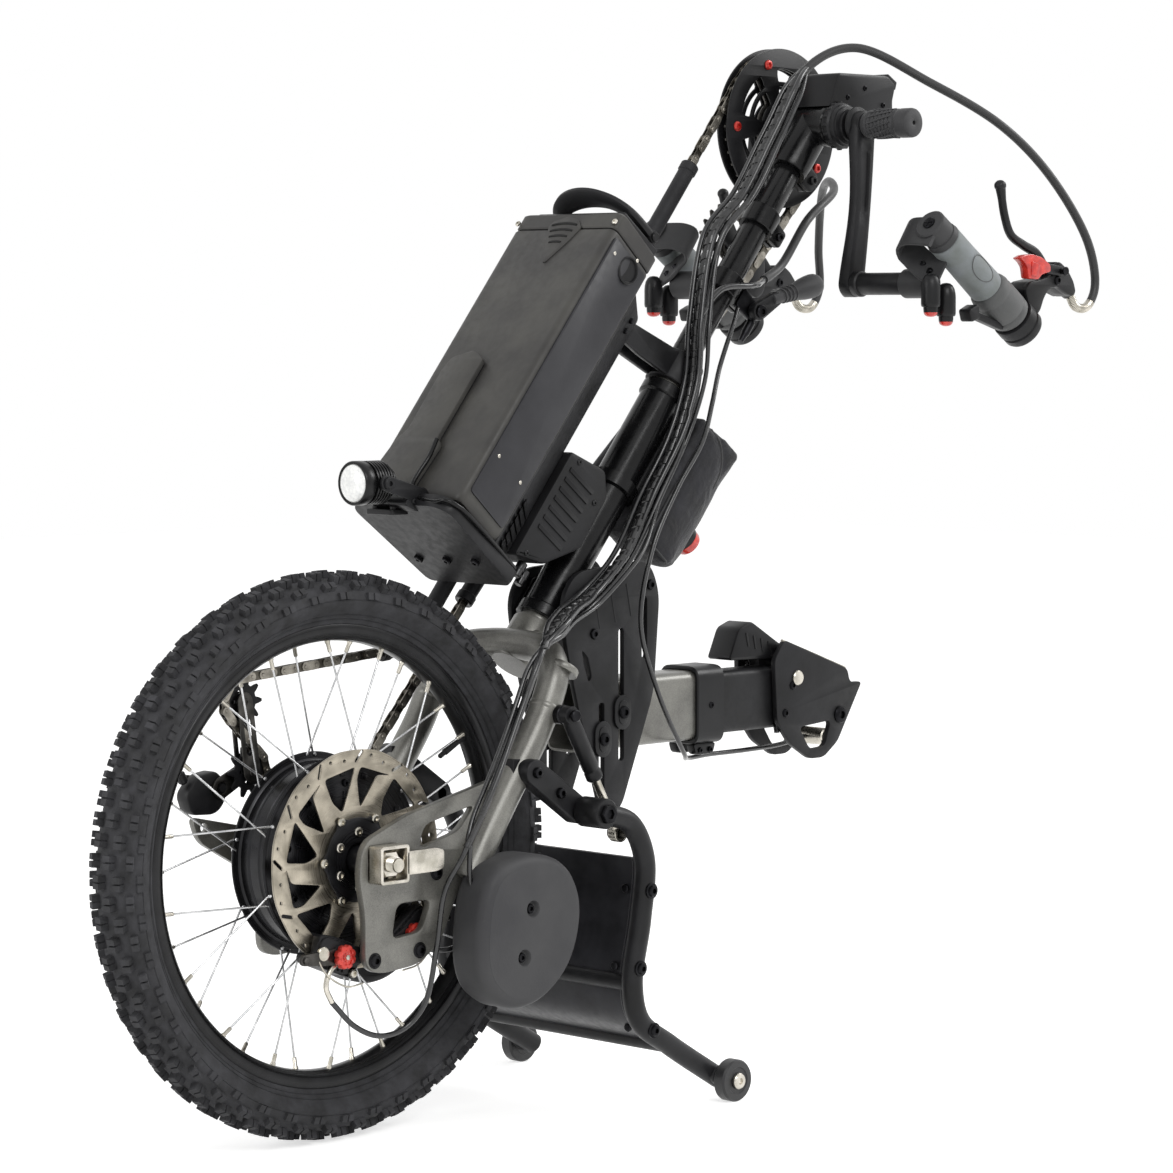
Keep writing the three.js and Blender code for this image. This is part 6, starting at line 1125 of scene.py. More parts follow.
def calliper(name, angle, side):
    place = calliper_place(angle)
    half = flat_shape(spread(
        ((0, 0.1), (0.06, 0.8), (0.3, 1), (0.7, 1), (0.94, 0.8), (1, 0.1), (0.7, 0), (0.3, 0)), 56, 30, -28, 73,
    ), 5, 5)
    bridge = flat_shape([(-20, 102.4), (-8, 102.4), (8, 102.4), (20, 102.4), (11, 103.4), (-11, 103.4)], 0.3)
    body = Body().plate([half], 30, 37.2, place, 1.4).plate([half], 44.6, 55, place, 1.6)
    body.plate([bridge], 31, 54, place)
    body.plate([link_shape((-18, 84), (18, 84), 8, 8)], 54, 57.6, place, 1.2)
    body.plate([link_shape((0, 88), (side * 24, 80), 11, 7)], 54, 59.4, place, 1.2)
    for a in (-21, 21):
        body.turned([(5.2, 30), (5.2, 55)], place(a, 98, 0), sides=24)
    # Cooling fins across the outer half
    for i in range(5):
        a = -12 + i * 5
        body.plate([flat_shape([(a, 75), (a + 2.4, 75), (a + 2.4, 101), (a, 101)], 0.6)], 54.5, 56.4, place)
    piece(f"calliper_{name}_body", body, BLACK_COAT, "fork_and_dock", f"calliper_{name}", angle=35)
    posts = Body()
    posts.turned([(6, 52), (6, 56), (5, 57), (5, 60), (6.4, 60.4), (6.4, 63), (5, 63.6), (5, 67)],
                 place(side * 24, 80, 0), sides=32)
    posts.turned([(5.6, 56), (6.6, 56.6), (6.6, 58.8), (5.8, 59.4)], place(-side * 21, 92, 0), sides=32)
    for a in (-21, 21):
        posts.screw(*place(a, 98, 0)[::2], 55, 58.4, 4.2)
    posts.turned([(4, 52), (4, 66)], place(0, 88, 0), sides=24)
    wire = smooth_route([place(side * a, b, depth) for a, b, depth in (
        (30, 104, 62), (12, 112, 63), (-14, 108, 61), (-26, 98, 58),
    )], 3)
    posts.tube(wire, 0.9, 8)
    piece(f"calliper_{name}_posts", posts, NICKEL, "fork_and_dock")
    spring = Body()
    for k in range(4):
        leaf = flat_shape([(-9 + k * 0.5, 99 + k), (9, 99 + k), (9, 99.7 + k), (-9, 99.7 + k)])
        spring.plate([leaf], 36, 46, place)
    piece(f"calliper_{name}_spring", spring, COPPER_ANODISED, "fork_and_dock")
    # The adjusting knob has eight petals and six dimples
    middle = place(0, 88, 0)
    petals = []
    for i in range(96):
        turn = TURN * i / 96
        petals.append(polar_place(11 - 1.5 * (0.5 + 0.5 * math.cos(turn * 8)) ** 3, turn, (0, 0)))
    knob = Body().rows([[on_side(middle[0] + x * share, middle[2] + z * share, depth) for x, z in petals]
                        for share, depth in ((0.9, 60), (1, 60.8), (1, 65), (0.93, 66.2), (0.66, 66.6), (0.62, 65.6),
                                             (0.4, 65.6), (0.36, 66.4), (0.1, 66.4))])
    for i in range(6):
        x, z = polar_place(7, TURN * (i + 0.5) / 6, middle[::2])
        knob.turned([(1.3, 65), (1.3, 66.5), (0.8, 66.8)], (x, 0, z), sides=12)
    piece(f"calliper_{name}_knob", knob, RED_ANODISED, "fork_and_dock", angle=30)
    tip = Body().turned([(2.4, 66), (2.4, 67.4), (1.4, 67.8)], middle, sides=6)
    piece(f"calliper_{name}_tip", tip, NICKEL, "fork_and_dock")
    reach = (-side * 40, 103)
    arm = Body().plate([link_shape((0, 88), reach, 8, 5, 14), ring_shape(4.4, 32, 0, 88)], 55.3, 59.3, place, 0.7)
    arm.turned([(3.6, 58.8), (3.6, 62), (2.6, 62.8)], place(*reach, 0), sides=6)
    piece(f"calliper_{name}_lever", arm, DARK_STEEL, f"calliper_arm_{name}", f"calliper_arm_{name}")


fork()
axle_plates()
weights()
calliper("front", -68, 1)
calliper("rear", -126, -1)


# Parking stand and strut
STAND_PATH = [(STAND_PIVOT[0] - back * 159, STAND_PIVOT[1] - down * 266) for back, down in (
    (0, 0), (0.25, 0.05), (0.37, 0.18), (0.34, 0.39), (0.27, 0.61), (0.33, 0.745), (0.58, 0.85), (1, 1),
)]


def stand():
    run = smooth_route([(x, 0, z) for x, z in STAND_PATH], 4)
    foot = run[-1]
    tubes = Body().turned([(12.6, 104), (14, 105.4), (14, 133.6), (12.8, 135)], on_side(*STAND_PIVOT, 0), sides=48,
                          both=True)
    for side in (1, -1):
        out = Vector((0, side * 125, 0))
        tubes.tube([p + out for p in run], 10, 32)
        tubes.turned([(9.6, -0.5), (9.6, 0.4), (8.2, 1.8), (3, 2.4)], foot + out, foot - run[-3], 32)
    tubes.plate([link_shape((foot.x + 10, foot.z + 5), (foot.x, foot.z), 9, 8)], 132, 137.4, bevel=0.8, both=True)
    for place in (STAND_PATH[4], STAND_PATH[6]):
        tubes.turned([(8, -124), (8, 124)], on_side(*place, 0), sides=32)
    piece("stand_tubes", tubes, BLACK_COAT, "stand", "stand", angle=45)
    # The guard is one bent sheet with rolled edges between the legs
    first, last = (min(range(len(run)), key=lambda i: math.dist((run[i].x, run[i].z), STAND_PATH[k])) for k in (2, 6))
    sheet = run[first:last + 1]
    rows = []
    for i, place in enumerate(sheet):
        way = heading(sheet, i)
        out = Vector((way.z, 0, -way.x))
        rows.append([place + out * depth + Vector((0, y, 0)) for depth, y in (
            (1.5, -117), (1.5, 117), (-1.5, 117), (-1.5, -117),
        )])
    guard = Body().rows(rows)
    for y in (-112, 112):
        guard.tube([p + Vector((0, y, 0)) for p in sheet], 2.6, 12)
    piece("stand_guard", guard, GUARD_SHEET, "stand", angle=45)
    bolts = Body()
    for share in (0.16, 0.5, 0.84):
        place = sheet[int(share * (len(sheet) - 1))]
        bolts.screw(place.x, place.z, 135, 138.6, 5.4, both=True)
        bolts.turned([(7.4, 134), (7.4, 135.6), (6.6, 136)], (place.x, 0, place.z), sides=32, both=True)
        for y in (106, -106):
            bolts.turned([(4.4, 0), (4.4, 1.4), (3.2, 2.4), (1, 2.6)], place + Vector((4.6, y, 0)), (1, 0, 0), 24)
    piece("stand_bolts", bolts, BLACK_SCREW, "stand")
    for name, side in HANDS:
        place = on_side(*STAND_PATH[-1], 0)
        wheel = Body().turned([
            (5.3, 136.6), (12, 136.6), (12.6, 137.4), (18.4, 137.4), (20, 139), (20, 149.2), (18.6, 151.2),
            (13.2, 151.4), (12.4, 150.4), (5.3, 150.4),
        ], place, (0, side, 0), 64, ring=True)
        piece(f"stand_roller_{name}", wheel, ROLLER_RUBBER, f"roller_{name}", f"roller_{name}")
        end = Body().turned([(5, 125), (5, 151), (7.6, 151.4), (7.6, 153.6), (6.6, 154.8), (3, 155), (2.8, 153.4)],
                            place, (0, side, 0), 32)
        piece(f"roller_axle_{name}", end, NICKEL, "stand")


def strut():
    top, eye = Vector(STRUT_TOP) + Vector((0, 105, 0)), Vector((-268, 105, 262))
    way = eye - top
    length = way.length

    def eye_ring(inner):
        return [(inner, -5), (8.1, -5), (8.5, -4.4), (8.5, 4.4), (8.1, 5), (inner, 5)]

    case = Body().turned([
        (7, 0), (7.9, 6), (8, 8), (8, 58), (7.4, 59), (7.4, 61), (8, 62), (8, 68.6), (7, 70), (4.6, 70),
    ], top, way, 48)
    case.turned(eye_ring(3.9), top, sides=40, ring=True)
    piece("strut_case", case, BLACK_COAT, "strut_cylinder", "strut_cylinder")
    bar = Body().turned([(radius, length - back) for radius, back in (
        (3.9, 84), (4, 83), (4, 14), (5.8, 13), (5.8, 7), (4, 5),
    )], top, way, 32)
    bar.turned(eye_ring(5.8), eye, sides=40, ring=True)
    piece("strut_bar", bar, NICKEL, "strut_rod", "strut_rod")
    pin = Body().turned([(3.5, 97), (3.5, 126)], (eye.x, 0, eye.z), sides=24)
    pin.turned([(6.6, 97.2), (6.6, 98.4), (5.8, 99)], (eye.x, 0, eye.z), sides=24)
    piece("strut_pin", pin, DARK_STEEL, "stand")


stand()
strut()


# Crank, its ring and its housing
CRANK_LENGTH = 158
HANDLE_AXIS = on_side(*polar_place(CRANK_LENGTH, math.radians(5.4 - 90)), 0)


def arc_window(near, far, middle, half, centre=CRANK, corner=4):
    """A curved slot between two radii."""
    steps = 10
    inner = [polar_place(near, middle + half * (2 * i / steps - 1), centre) for i in range(steps + 1)]
    outer = [polar_place(far, middle + half * (1 - 2 * i / steps), centre) for i in range(steps + 1)]
    return flat_shape(inner + outer, corner, 2)


def chainring():
    arms = 5
    unit = TURN / arms
    windows = [arc_window(29, 60, (i + 0.5) * unit, 0.38, corner=6) for i in range(arms)]
    edge = cog_outlines(36, 3.4, 22, CRANK)[0]
    ring = Body().plate([edge, *windows, ring_shape(8.8, 32, *CRANK)], -49.1, -46.9, bevel=0.25)
    piece("chainring_teeth", ring, DARK_STEEL, "crank", "chainring", angle=35)
    guards = Body()
    slots = [arc_window(near, far, (i + 0.5) * unit, half, corner=5)
             for i in range(arms) for near, far, half in ((47, 60, 0.42), (28, 42, 0.4))]
    for low, high in ((-55.4, -53), (-43, -40.6)):
        guards.plate([ring_shape(80, 160, *CRANK), ring_shape(20, 96, *CRANK), *slots], low, high, bevel=0.6)
    guards.turned([(9, -58.4), (21, -58.4), (23.4, -57.6), (24, -56), (24, -42), (23, -40.8), (9, -40.6)],
                  CRANK_PLACE, sides=64, ring=True)
    bolts = Body()
    for i in range(arms):
        angle = (i + 1) * unit
        near = [polar_place(22, angle + s) for s in (-0.2, 0.2)]
        far = [polar_place(64, angle + s) for s in (0.09, -0.09)]
        guards.plate([flat_shape(near + far, 3)], -57, -50.4, bevel=0.8)
        x, z = polar_place(66, angle)
        guards.turned([(7.5, -52), (7.5, -44)], (x, 0, z), sides=24)
        bolts.screw(x, z, -40.8, -38, 5)
        bolts.screw(x, z, -55.2, -57.6, 5)
    piece("chainring_guards", guards, SATIN_PLASTIC, "crank", angle=35)
    piece("chainring_bolts", bolts, RED_ANODISED, "crank", angle=30)


def crank_arm():
    """A forged arm that bends a little outwards, with a long pocket in its outer face."""
    top, low = Vector(CRANK_PLACE), Vector(HANDLE_AXIS)
    length = CRANK_LENGTH
    way = (low - top) / length
    across = Vector((-way.z, 0, way.x))
    stations = [-14 * math.cos(math.pi / 2 * i / 8) for i in range(9)]
    stations += [i * length / 28 for i in range(1, 28)]
    stations += [length + 13 * math.sin(math.pi / 2 * i / 8) for i in range(9)]
    rows = []
    for along in stations:
        share = min(max(along / length, 0), 1)
        # Rounded at both ends, and narrowest half way
        past = max(-along, along - length)
        if past > 0:
            half = math.sqrt(max((14 - share) ** 2 - past ** 2, 1.2))
        else:
            half = 14 - share - 2.2 * math.sin(math.pi * share) ** 2
        middle = 66.5 + 4.5 * math.sin(math.pi * share) ** 1.4
        thick = 7.4 - 1.1 * math.sin(math.pi * share)
        groove = 2.6 * max(0.0, min(1.0, (share - 0.12) / 0.05, (0.62 - share) / 0.1))
        corner = min(3.6, half * 0.6)
        slant = corner * 0.7
        edge = [
            (half, thick - corner), (half - corner + slant, thick - corner + slant), (half - corner, thick),
        ]
        lower = [(-a, -b) for a, b in edge] + [(a, -b) for a, b in edge[::-1]]
        pocket = [(half * 0.46, thick), (half * 0.36, thick - groove), (-half * 0.36, thick - groove),
                  (-half * 0.46, thick)]
        outline = lower + edge + pocket + [(-a, b) for a, b in edge[::-1]]
        rows.append([top + way * along + across * a + Vector((0, middle + b, 0)) for a, b in outline])
    shape = Body().rows(rows)
    shape.turned([(9.4, 58.8), (17, 59), (18, 60), (18, 62), (14, 64), (14, 73.4), (13, 74)], CRANK_PLACE, sides=48)
    shape.turned([(10.4, 62), (11, 63), (11, 170.8), (10, 172), (5, 172), (4.6, 170)], HANDLE_AXIS, sides=48)
    shape.turned([(12, 73.4), (12.8, 74.4), (12.8, 80.6), (11.2, 82)], HANDLE_AXIS, sides=48)
    return shape


def cranks():
    arm = crank_arm()
    piece("crank_arm_left", arm, BLACK_COAT, "crank", "crank_left", angle=40)
    piece("crank_arm_right", arm.mirrored(), BLACK_COAT, "crank", "crank_right", angle=40)
    spindle = Body().turned([(8.5, -73), (8.5, 73)], CRANK_PLACE, sides=40)
    spindle.turned([(7.4, 73.4), (7.4, 73.6), (6, 73.8)], CRANK_PLACE, sides=32)
    spindle.turned([(7.4, 73.4), (7.4, 75.4), (6, 76)], CRANK_PLACE, (0, -1, 0), 32)
    spindle.turned([(6.6, 171.4), (6.6, 174.6), (5.4, 175.6), (3, 175.6), (2.8, 173.4)], HANDLE_AXIS, sides=6,
                   both=True)
    piece("crank_spindle", spindle, DARK_STEEL, "crank")
    # The rest for the idle hand, with rings and slanting ribs round its middle
    profile = [(9.6, 73.6), (12, 74.2), (12.8, 75.4), (12.8, 78)]
    for i in range(8):
        y = 79 + i * 4.6
        profile += [(13.1, y), (14, y + 0.7), (14.2, y + 1.6), (14, y + 2.6), (13.1, y + 3.3)]
    profile += [(12.9, 117), (13.4, 117.8), (14.3, 118.6), (14.5, 120), (14.5, 131), (14, 133), (12.4, 134.2),
                (3, 134.4), (2.2, 134), (2, 131)]
    rest = Body().turned(profile, CRANK_PLACE)
    for i in range(14):
        start = TURN * i / 14
        rest.tube([on_side(*polar_place(14.2, start + s * 0.5), 84 + s * 30) for s in (0, 0.25, 0.5, 0.75, 1)], 0.8, 8)
    piece("rest_grip", rest, GRIP_DARK, "crank", angle=50)


def crank_housing():
    shape = Body().turned([
        (9.7, -34), (18.6, -34), (19.6, -33), (19.6, -30), (21, -29), (21, -25), (19.8, -24), (19.8, 24), (21, 25),
        (21, 29), (19.6, 30), (19.6, 33), (18.6, 34), (9.7, 34),
    ], CRANK_PLACE, ring=True)
    shape.turned([(14.6, 0), (20, 0), (20, 55), (18.8, 58), (14.6, 58)], CRANK_PLACE, MAST_DOWN, 56, ring=True)
    piece("housing_shell", shape, GLOSS_BLACK, "mast_top", "crank_housing", angle=35)
    rings = Body().turned([
        (19.4, 34.2), (22.4, 34.6), (23, 36), (23, 40), (21, 41.6), (21, 45), (19, 46), (19, 49), (16, 50), (16, 54),
        (9, 55),
    ], CRANK_PLACE, sides=56)
    rings.turned([(12, 33.8), (12.6, 34.4), (12.6, 36.6), (9, 37)], CRANK_PLACE, (0, -1, 0), 56)
    for i in range(16):
        rings.turned([(1.6, 35), (1.6, 39.6), (1, 40)], on_side(*polar_place(22.6, TURN * i / 16), 0), sides=10)
    piece("housing_rings", rings, BLACK_COAT, "mast_top", angle=35)
    ear = flat_shape([(-16, -36), (-35, -38), (-35, -57), (-16, -58)], 5, 5)
    bolt = mast_place(-27.5, 47)
    clamp = Body().plate([ear], 1.2, 8, on_mast_side, 1.0, both=True)
    clamp.turned([(4.6, 8), (4.6, 11.4), (3.8, 12), (2.2, 12), (2, 10)], bolt, sides=24, both=True)
    clamp.turned([(3.4, -9), (3.4, 9)], bolt, sides=20)
    piece("housing_clamp", clamp, BLACK_COAT, "mast_top")


def display_hood():
    outline = flat_shape(spread((
        (0, 0.8), (0.12, 1), (0.86, 1), (1, 0.16), (0.9, 0), (0.1, 0),
    ), 102, 44, -742, 938), 4, 5)
    seat = [place for place in outline if math.dist(place, CRANK) > 22]
    shape = Body().plate([seat], -34, 34, bevel=2.2)
    lip = flat_shape([(-742, 968), (-744.5, 976), (-731, 984), (-729, 981)], 1, 3)
    shape.plate([lip], -33, 33, bevel=0.6)
    shape.plate([flat_shape([(-725, 938), (-690, 938), (-690, 941), (-725, 941)], 1)], 14, 26, both=True)
    piece("display_hood", shape, SATIN_PLASTIC, "mast_top", "display", angle=35)
    trim = Body()
    for x, z in ((-722, 952), (-694, 968), (-668, 958)):
        trim.screw(x, z, 33.6, 35.4, 2.8, both=True)
    piece("display_trim", trim, BLACK_SCREW, "mast_top")
    pane = Body().block((-743.4, -28, 943), (-741.4, 28, 970))
    piece("display_pane", pane, SCREEN_GLASS, "mast_top", bevel=0.6)


chainring()
cranks()
crank_housing()
display_hood()


# Handles
GRIP_SIDE = 186
GRIP_TOP = Vector((-636, 0, 814))
GRIP_LOW = Vector((-741, 0, 740))
GRIP_WAY = (GRIP_LOW - GRIP_TOP).normalized()
GRIP_LENGTH = (GRIP_LOW - GRIP_TOP).length
GRIP_OUT = Vector((-GRIP_WAY.z, 0, GRIP_WAY.x))
UPWARDS = (0, 0, 1)
BUTTONS = (("front", -617, 757), ("rear", -640, 748))
BUTTON_TIP = [(6.9, -13.2), (6.5, -15), (5.2, -16.6), (3, -17.6), (0.6, -17.9)]


def on_grip(distance, out=0.0):
    """A place beside the grip's line: out is towards the brake lever."""
    place = GRIP_TOP + GRIP_WAY * distance - GRIP_OUT * out
    return Vector((place.x, GRIP_SIDE, place.z))


def perch_at(along, out):
    place = on_grip(GRIP_LENGTH + along * 60, out * 60)
    return (place.x, place.z)


LEVER_PIVOT = perch_at(0.42, 1.02)
YOKE_EDGE = ((-603, 196, 807), (-605, 186, 808), (-607, 168, 809), (-612, 152, 808), (-617, 143, 803),
             (-619, 143, 796), (-619, 151, 789), (-620, 163, 779), (-620, 176, 772), (-621, 188, 767))
PERCH_EDGE = ((-754, 774), (-768, 776), (-785, 779), (-795, 784), (-801, 795), (-814, 787), (-824, 775), (-828, 764),
              (-823, 759), (-812, 762), (-798, 769), (-785, 767), (-777, 758), (-771, 745), (-762, 738), (-752, 752),
              (-747, 766))


def bent_bar():
    """The yoke: a flat bar bent round the end of the crank, from the cap of the grip down to the button pods."""
    across = Vector((-0.58, 0, 0.82))
    route = smooth_route(YOKE_EDGE, 4)
    rows = []
    for i, place in enumerate(route):
        out = heading(route, i).cross(across).normalized()
        rows.append([place + across * a + out * b for a, b in (
            (0.8, -1.8), (31.2, -1.8), (32, -1), (32, 1), (31.2, 1.8), (0.8, 1.8), (0, 1), (0, -1),
        )])
    return rows


def handle(name, side):
    body = f"handle_{name}"

    def handed(shape):
        return shape if side > 0 else shape.mirrored()

    yoke = Body().rows(bent_bar())
    yoke.turned([(11.6, 138), (13.6, 138), (14.4, 139), (14.4, 169), (13.6, 170), (11.6, 170)], HANDLE_AXIS, sides=56,
                ring=True)
    yoke.turned([
        (3, -27), (14.2, -26.8), (15.6, -25.4), (15.8, -9.4), (15.2, -8.8), (15.2, -7.6), (16.2, -7), (17.2, -1),
        (16.6, -0.2),
    ], on_grip(0), GRIP_WAY, 56)
    piece(f"handle_yoke_{name}", handed(yoke), YOKE_GREY, body, f"handle_frame_{name}", angle=38)
    cover = Body().turned([
        (19, 0.4), (21.4, 1.4), (21.8, 3), (21.8, 12), (20, 13.4), (20, 15), (21.4, 16), (21.4, 22), (20.4, 24),
        (17, 25), (3, 25.2),
    ], on_grip(GRIP_LENGTH), GRIP_WAY, 56)
    # The perch is one curved horn that tapers to the cable's mouth
    horn = flat_shape(PERCH_EDGE, 4, 4)
    cover.plate([horn], 173, 181.2, bevel=2.2)
    cover.plate([horn], 190.8, 199, bevel=2.2)
    cover.plate([flat_shape([p for p in PERCH_EDGE if p[0] > -799], 3, 4)], 177, 195, bevel=1.6)
    cover.plate([flat_shape([p for p in PERCH_EDGE if p[0] < -797], 3, 4)], 177, 195, bevel=1.6)
    cover.turned([(4.6, -4), (5.8, 0), (5.4, 6), (4.6, 7)], (-824, GRIP_SIDE, 765), (-0.86, 0, -0.5), 24)
    # The thumb lever's paddle
    cover.plate([link_shape((-718, 730), (-676, 742), 3.6)], 184, 192, bevel=0.8)
    cover.plate([flat_shape([(-678, 752), (-664, 746), (-668, 734), (-682, 738)], 3, 4)], 181, 196, bevel=1.6)
    piece(f"lever_perch_{name}", handed(cover), BLACK_COAT, body, angle=35)
    pods, tips, bits = Body(), Body(), Body()
    for _, x, z in BUTTONS:
        place = (x, GRIP_SIDE, z)
        pods.turned([
            (7.6, 3), (7.6, -8), (8.4, -8.2), (9.2, -7.2), (9.5, -5), (9.5, 10), (9.2, 14), (8.2, 18.4), (6.4, 21.6),
            (4, 23.6), (1, 24.2),
        ], place, UPWARDS, 48)
        # The right handle's buttons don't move, so they are part of its pods
        if side < 0:
            pods.turned([(7.0, -1.6), (7.2, -10), (6.9, -13.4)], place, UPWARDS, 40)
            tips.turned(BUTTON_TIP, place, UPWARDS, 40)
    piece(f"button_pods_{name}", handed(pods), SATIN_PLASTIC, body)
    bits.turned([(5.4, -28.8), (6.4, -28), (6.4, -26)], on_grip(0), GRIP_WAY, 32)
    for slit in (GRIP_OUT, Vector(SIDEWAYS)):
        bits.tube([on_grip(-28.6) - slit * 4.4, on_grip(-28.6) + slit * 4.4], 0.9, 8)
    for place in ((-627, 176, 783), (-629, 166, 790)):
        bits.turned([(3.2, -2), (3.2, 2.6), (2.2, 3.4)], place, (0.1, 0.62, 0.78), 24)
    bits.screw(*LEVER_PIVOT, 199, 201.4, 4.6)
    bits.screw(*LEVER_PIVOT, 173, 170.8, 4.6)
    piece(f"handle_screws_{name}", handed(bits), BLACK_SCREW, body)
    if side < 0:
        piece("button_tips_right", handed(tips), RED_PLASTIC, body)
    step = GRIP_LENGTH * 0.62
    light = Body().turned([
        (10.6, 0.2), (15.8, 0.2), (16.8, 1.2), (17, 3), (17, 30), (17.4, 50), (17.8, step - 4), (17.4, step - 1),
        (16.8, step),
    ], on_grip(0), GRIP_WAY, 72)
    piece(f"grip_light_{name}", handed(light), GRIP_GREY, body, f"grip_{name}", angle=50)
    dark = Body().turned([
        (16.6, step - 0.4), (18.2, step + 0.6), (20, step + 4), (20.8, step + 8), (20.2, step + 12), (20.2, step + 13),
        (21, step + 15), (21, GRIP_LENGTH - 12), (20.2, GRIP_LENGTH - 11), (20.2, GRIP_LENGTH - 10),
        (21, GRIP_LENGTH - 9), (20.4, GRIP_LENGTH - 3), (18.6, GRIP_LENGTH - 0.6), (11, GRIP_LENGTH - 0.4),
    ], on_grip(0), GRIP_WAY, 72)
    # A raised oval outline sits on the side of the light part
    oval = []
    for i in range(40):
        angle = TURN * i / 40
        around = 0.62 * math.sin(angle)
        out = Vector(SIDEWAYS) * math.cos(around) + GRIP_OUT * math.sin(around)
        oval.append(on_grip(step * 0.6 + 17 * math.cos(angle)) + out * 17.7)
    dark.tube(oval, 0.42, 8, closed=True)
    piece(f"grip_dark_{name}", handed(dark), GRIP_CHARCOAL, body, angle=50)


def brake_lever(name):
    points = [perch_at(*p) for p in (
        (0.42, 1.02), (0.2, 1.14), (-0.1, 1.2), (-0.45, 1.12), (-0.8, 1.07), (-1.1, 1.22), (-1.49, 1.56),
    )]
    route = smooth_route([(x, GRIP_SIDE, z) for x, z in points], 3)
    rows = []
    for i, place in enumerate(route):
        share = i / (len(route) - 1)
        way = heading(route, i)
        out = Vector((way.z, 0, -way.x))
        swell = max(0, (share - 0.9) / 0.1)
        wide, deep = 6 - 2.2 * min(share * 1.4, 1) + 1.6 * swell, 4.4 - 0.5 * share + 0.9 * swell
        row = []
        for k in range(20):
            a, b = math.cos(TURN * k / 20), math.sin(TURN * k / 20)
            # Squarer than an oval
            square = a * abs(a) ** -0.25 if abs(a) > 1e-6 else 0
            row.append(place + out * wide * square + Vector((0, deep * b, 0)))
        rows.append(row)
    shape = Body().rows(rows)
    shape.turned([(1.5, -5.4), (3.8, -4.6), (5.2, -2.4), (5.6, 0), (5.2, 2.4), (3.8, 4.6), (1.5, 5.4)], route[-1],
                 sides=32)
    pivot = on_side(*LEVER_PIVOT, 0)
    shape.turned([(8.2, 181.6), (9, 182.4), (9, 189.6), (8.2, 190.4)], pivot, sides=40)
    shape.turned([(4, 173.4), (4, 198.6)], pivot, sides=24)
    if name == "right":
        shape = shape.mirrored()
    piece(f"lever_blade_{name}", shape, BLACK_COAT, f"brake_{name}", f"brake_lever_{name}", angle=50)


def lock_and_buttons():
    pivot = perch_at(0.37, 1.17)
    # A flared thumb rest on a stem; its root runs back to the pivot inside the perch
    root = Body().plate([link_shape(pivot, (-774, 788), 5)], 197, 201.6, bevel=0.8)
    piece("lock_root", root, BLACK_COAT, "lock", angle=35)
    rest = flat_shape([
        (-729, 797), (-737, 800), (-749, 801), (-764, 798), (-777, 791), (-778, 784), (-764, 781), (-758, 776),
        (-743, 777), (-741, 788), (-736, 793),
    ], 2.4, 4)
    lock = Body().plate([rest], 195.6, 206, bevel=0.9)
    lock.plate([flat_shape([(-747, 794), (-760, 791), (-757, 779), (-746, 780)], 2, 4)], 205.6, 207, bevel=0.5)
    piece("lock_lever", lock, RED_PLASTIC, "lock", "parking_lock", angle=35)
    pin = Body().turned([(3, 194), (3, 206.4), (4.4, 206.6), (4.4, 208), (3.4, 208.8)], on_side(*pivot, 0), sides=32)
    piece("lock_pin", pin, BLACK_SCREW, "handle_left")
    for label, x, z in BUTTONS:
        place = (x, GRIP_SIDE, z)
        shape = Body().turned([(6.9, -13.4), (7.2, -10), (7.2, -1.6), (6.4, -0.8)], place, UPWARDS, 40)
        piece(f"button_{label}_body", shape, SATIN_PLASTIC, f"button_{label}", f"button_{label}")
        piece(f"button_{label}_tip", Body().turned(BUTTON_TIP, place, UPWARDS, 40), RED_PLASTIC, f"button_{label}")


for name, side in HANDS:
    handle(name, side)
    brake_lever(name)
lock_and_buttons()


# Battery, its dock, the controller and the lamp
def mast_plan_rows(outline, belows, insets):
    """The same outline seen along the mast, at several depths and drawn in at each."""
    rows = []
    for below, inset in zip(belows, insets):
        rows.append([
            mast_place(f - (inset if f > 170 else -inset), below, y * (1 - inset / 68)) for f, y in outline
        ])
    return rows


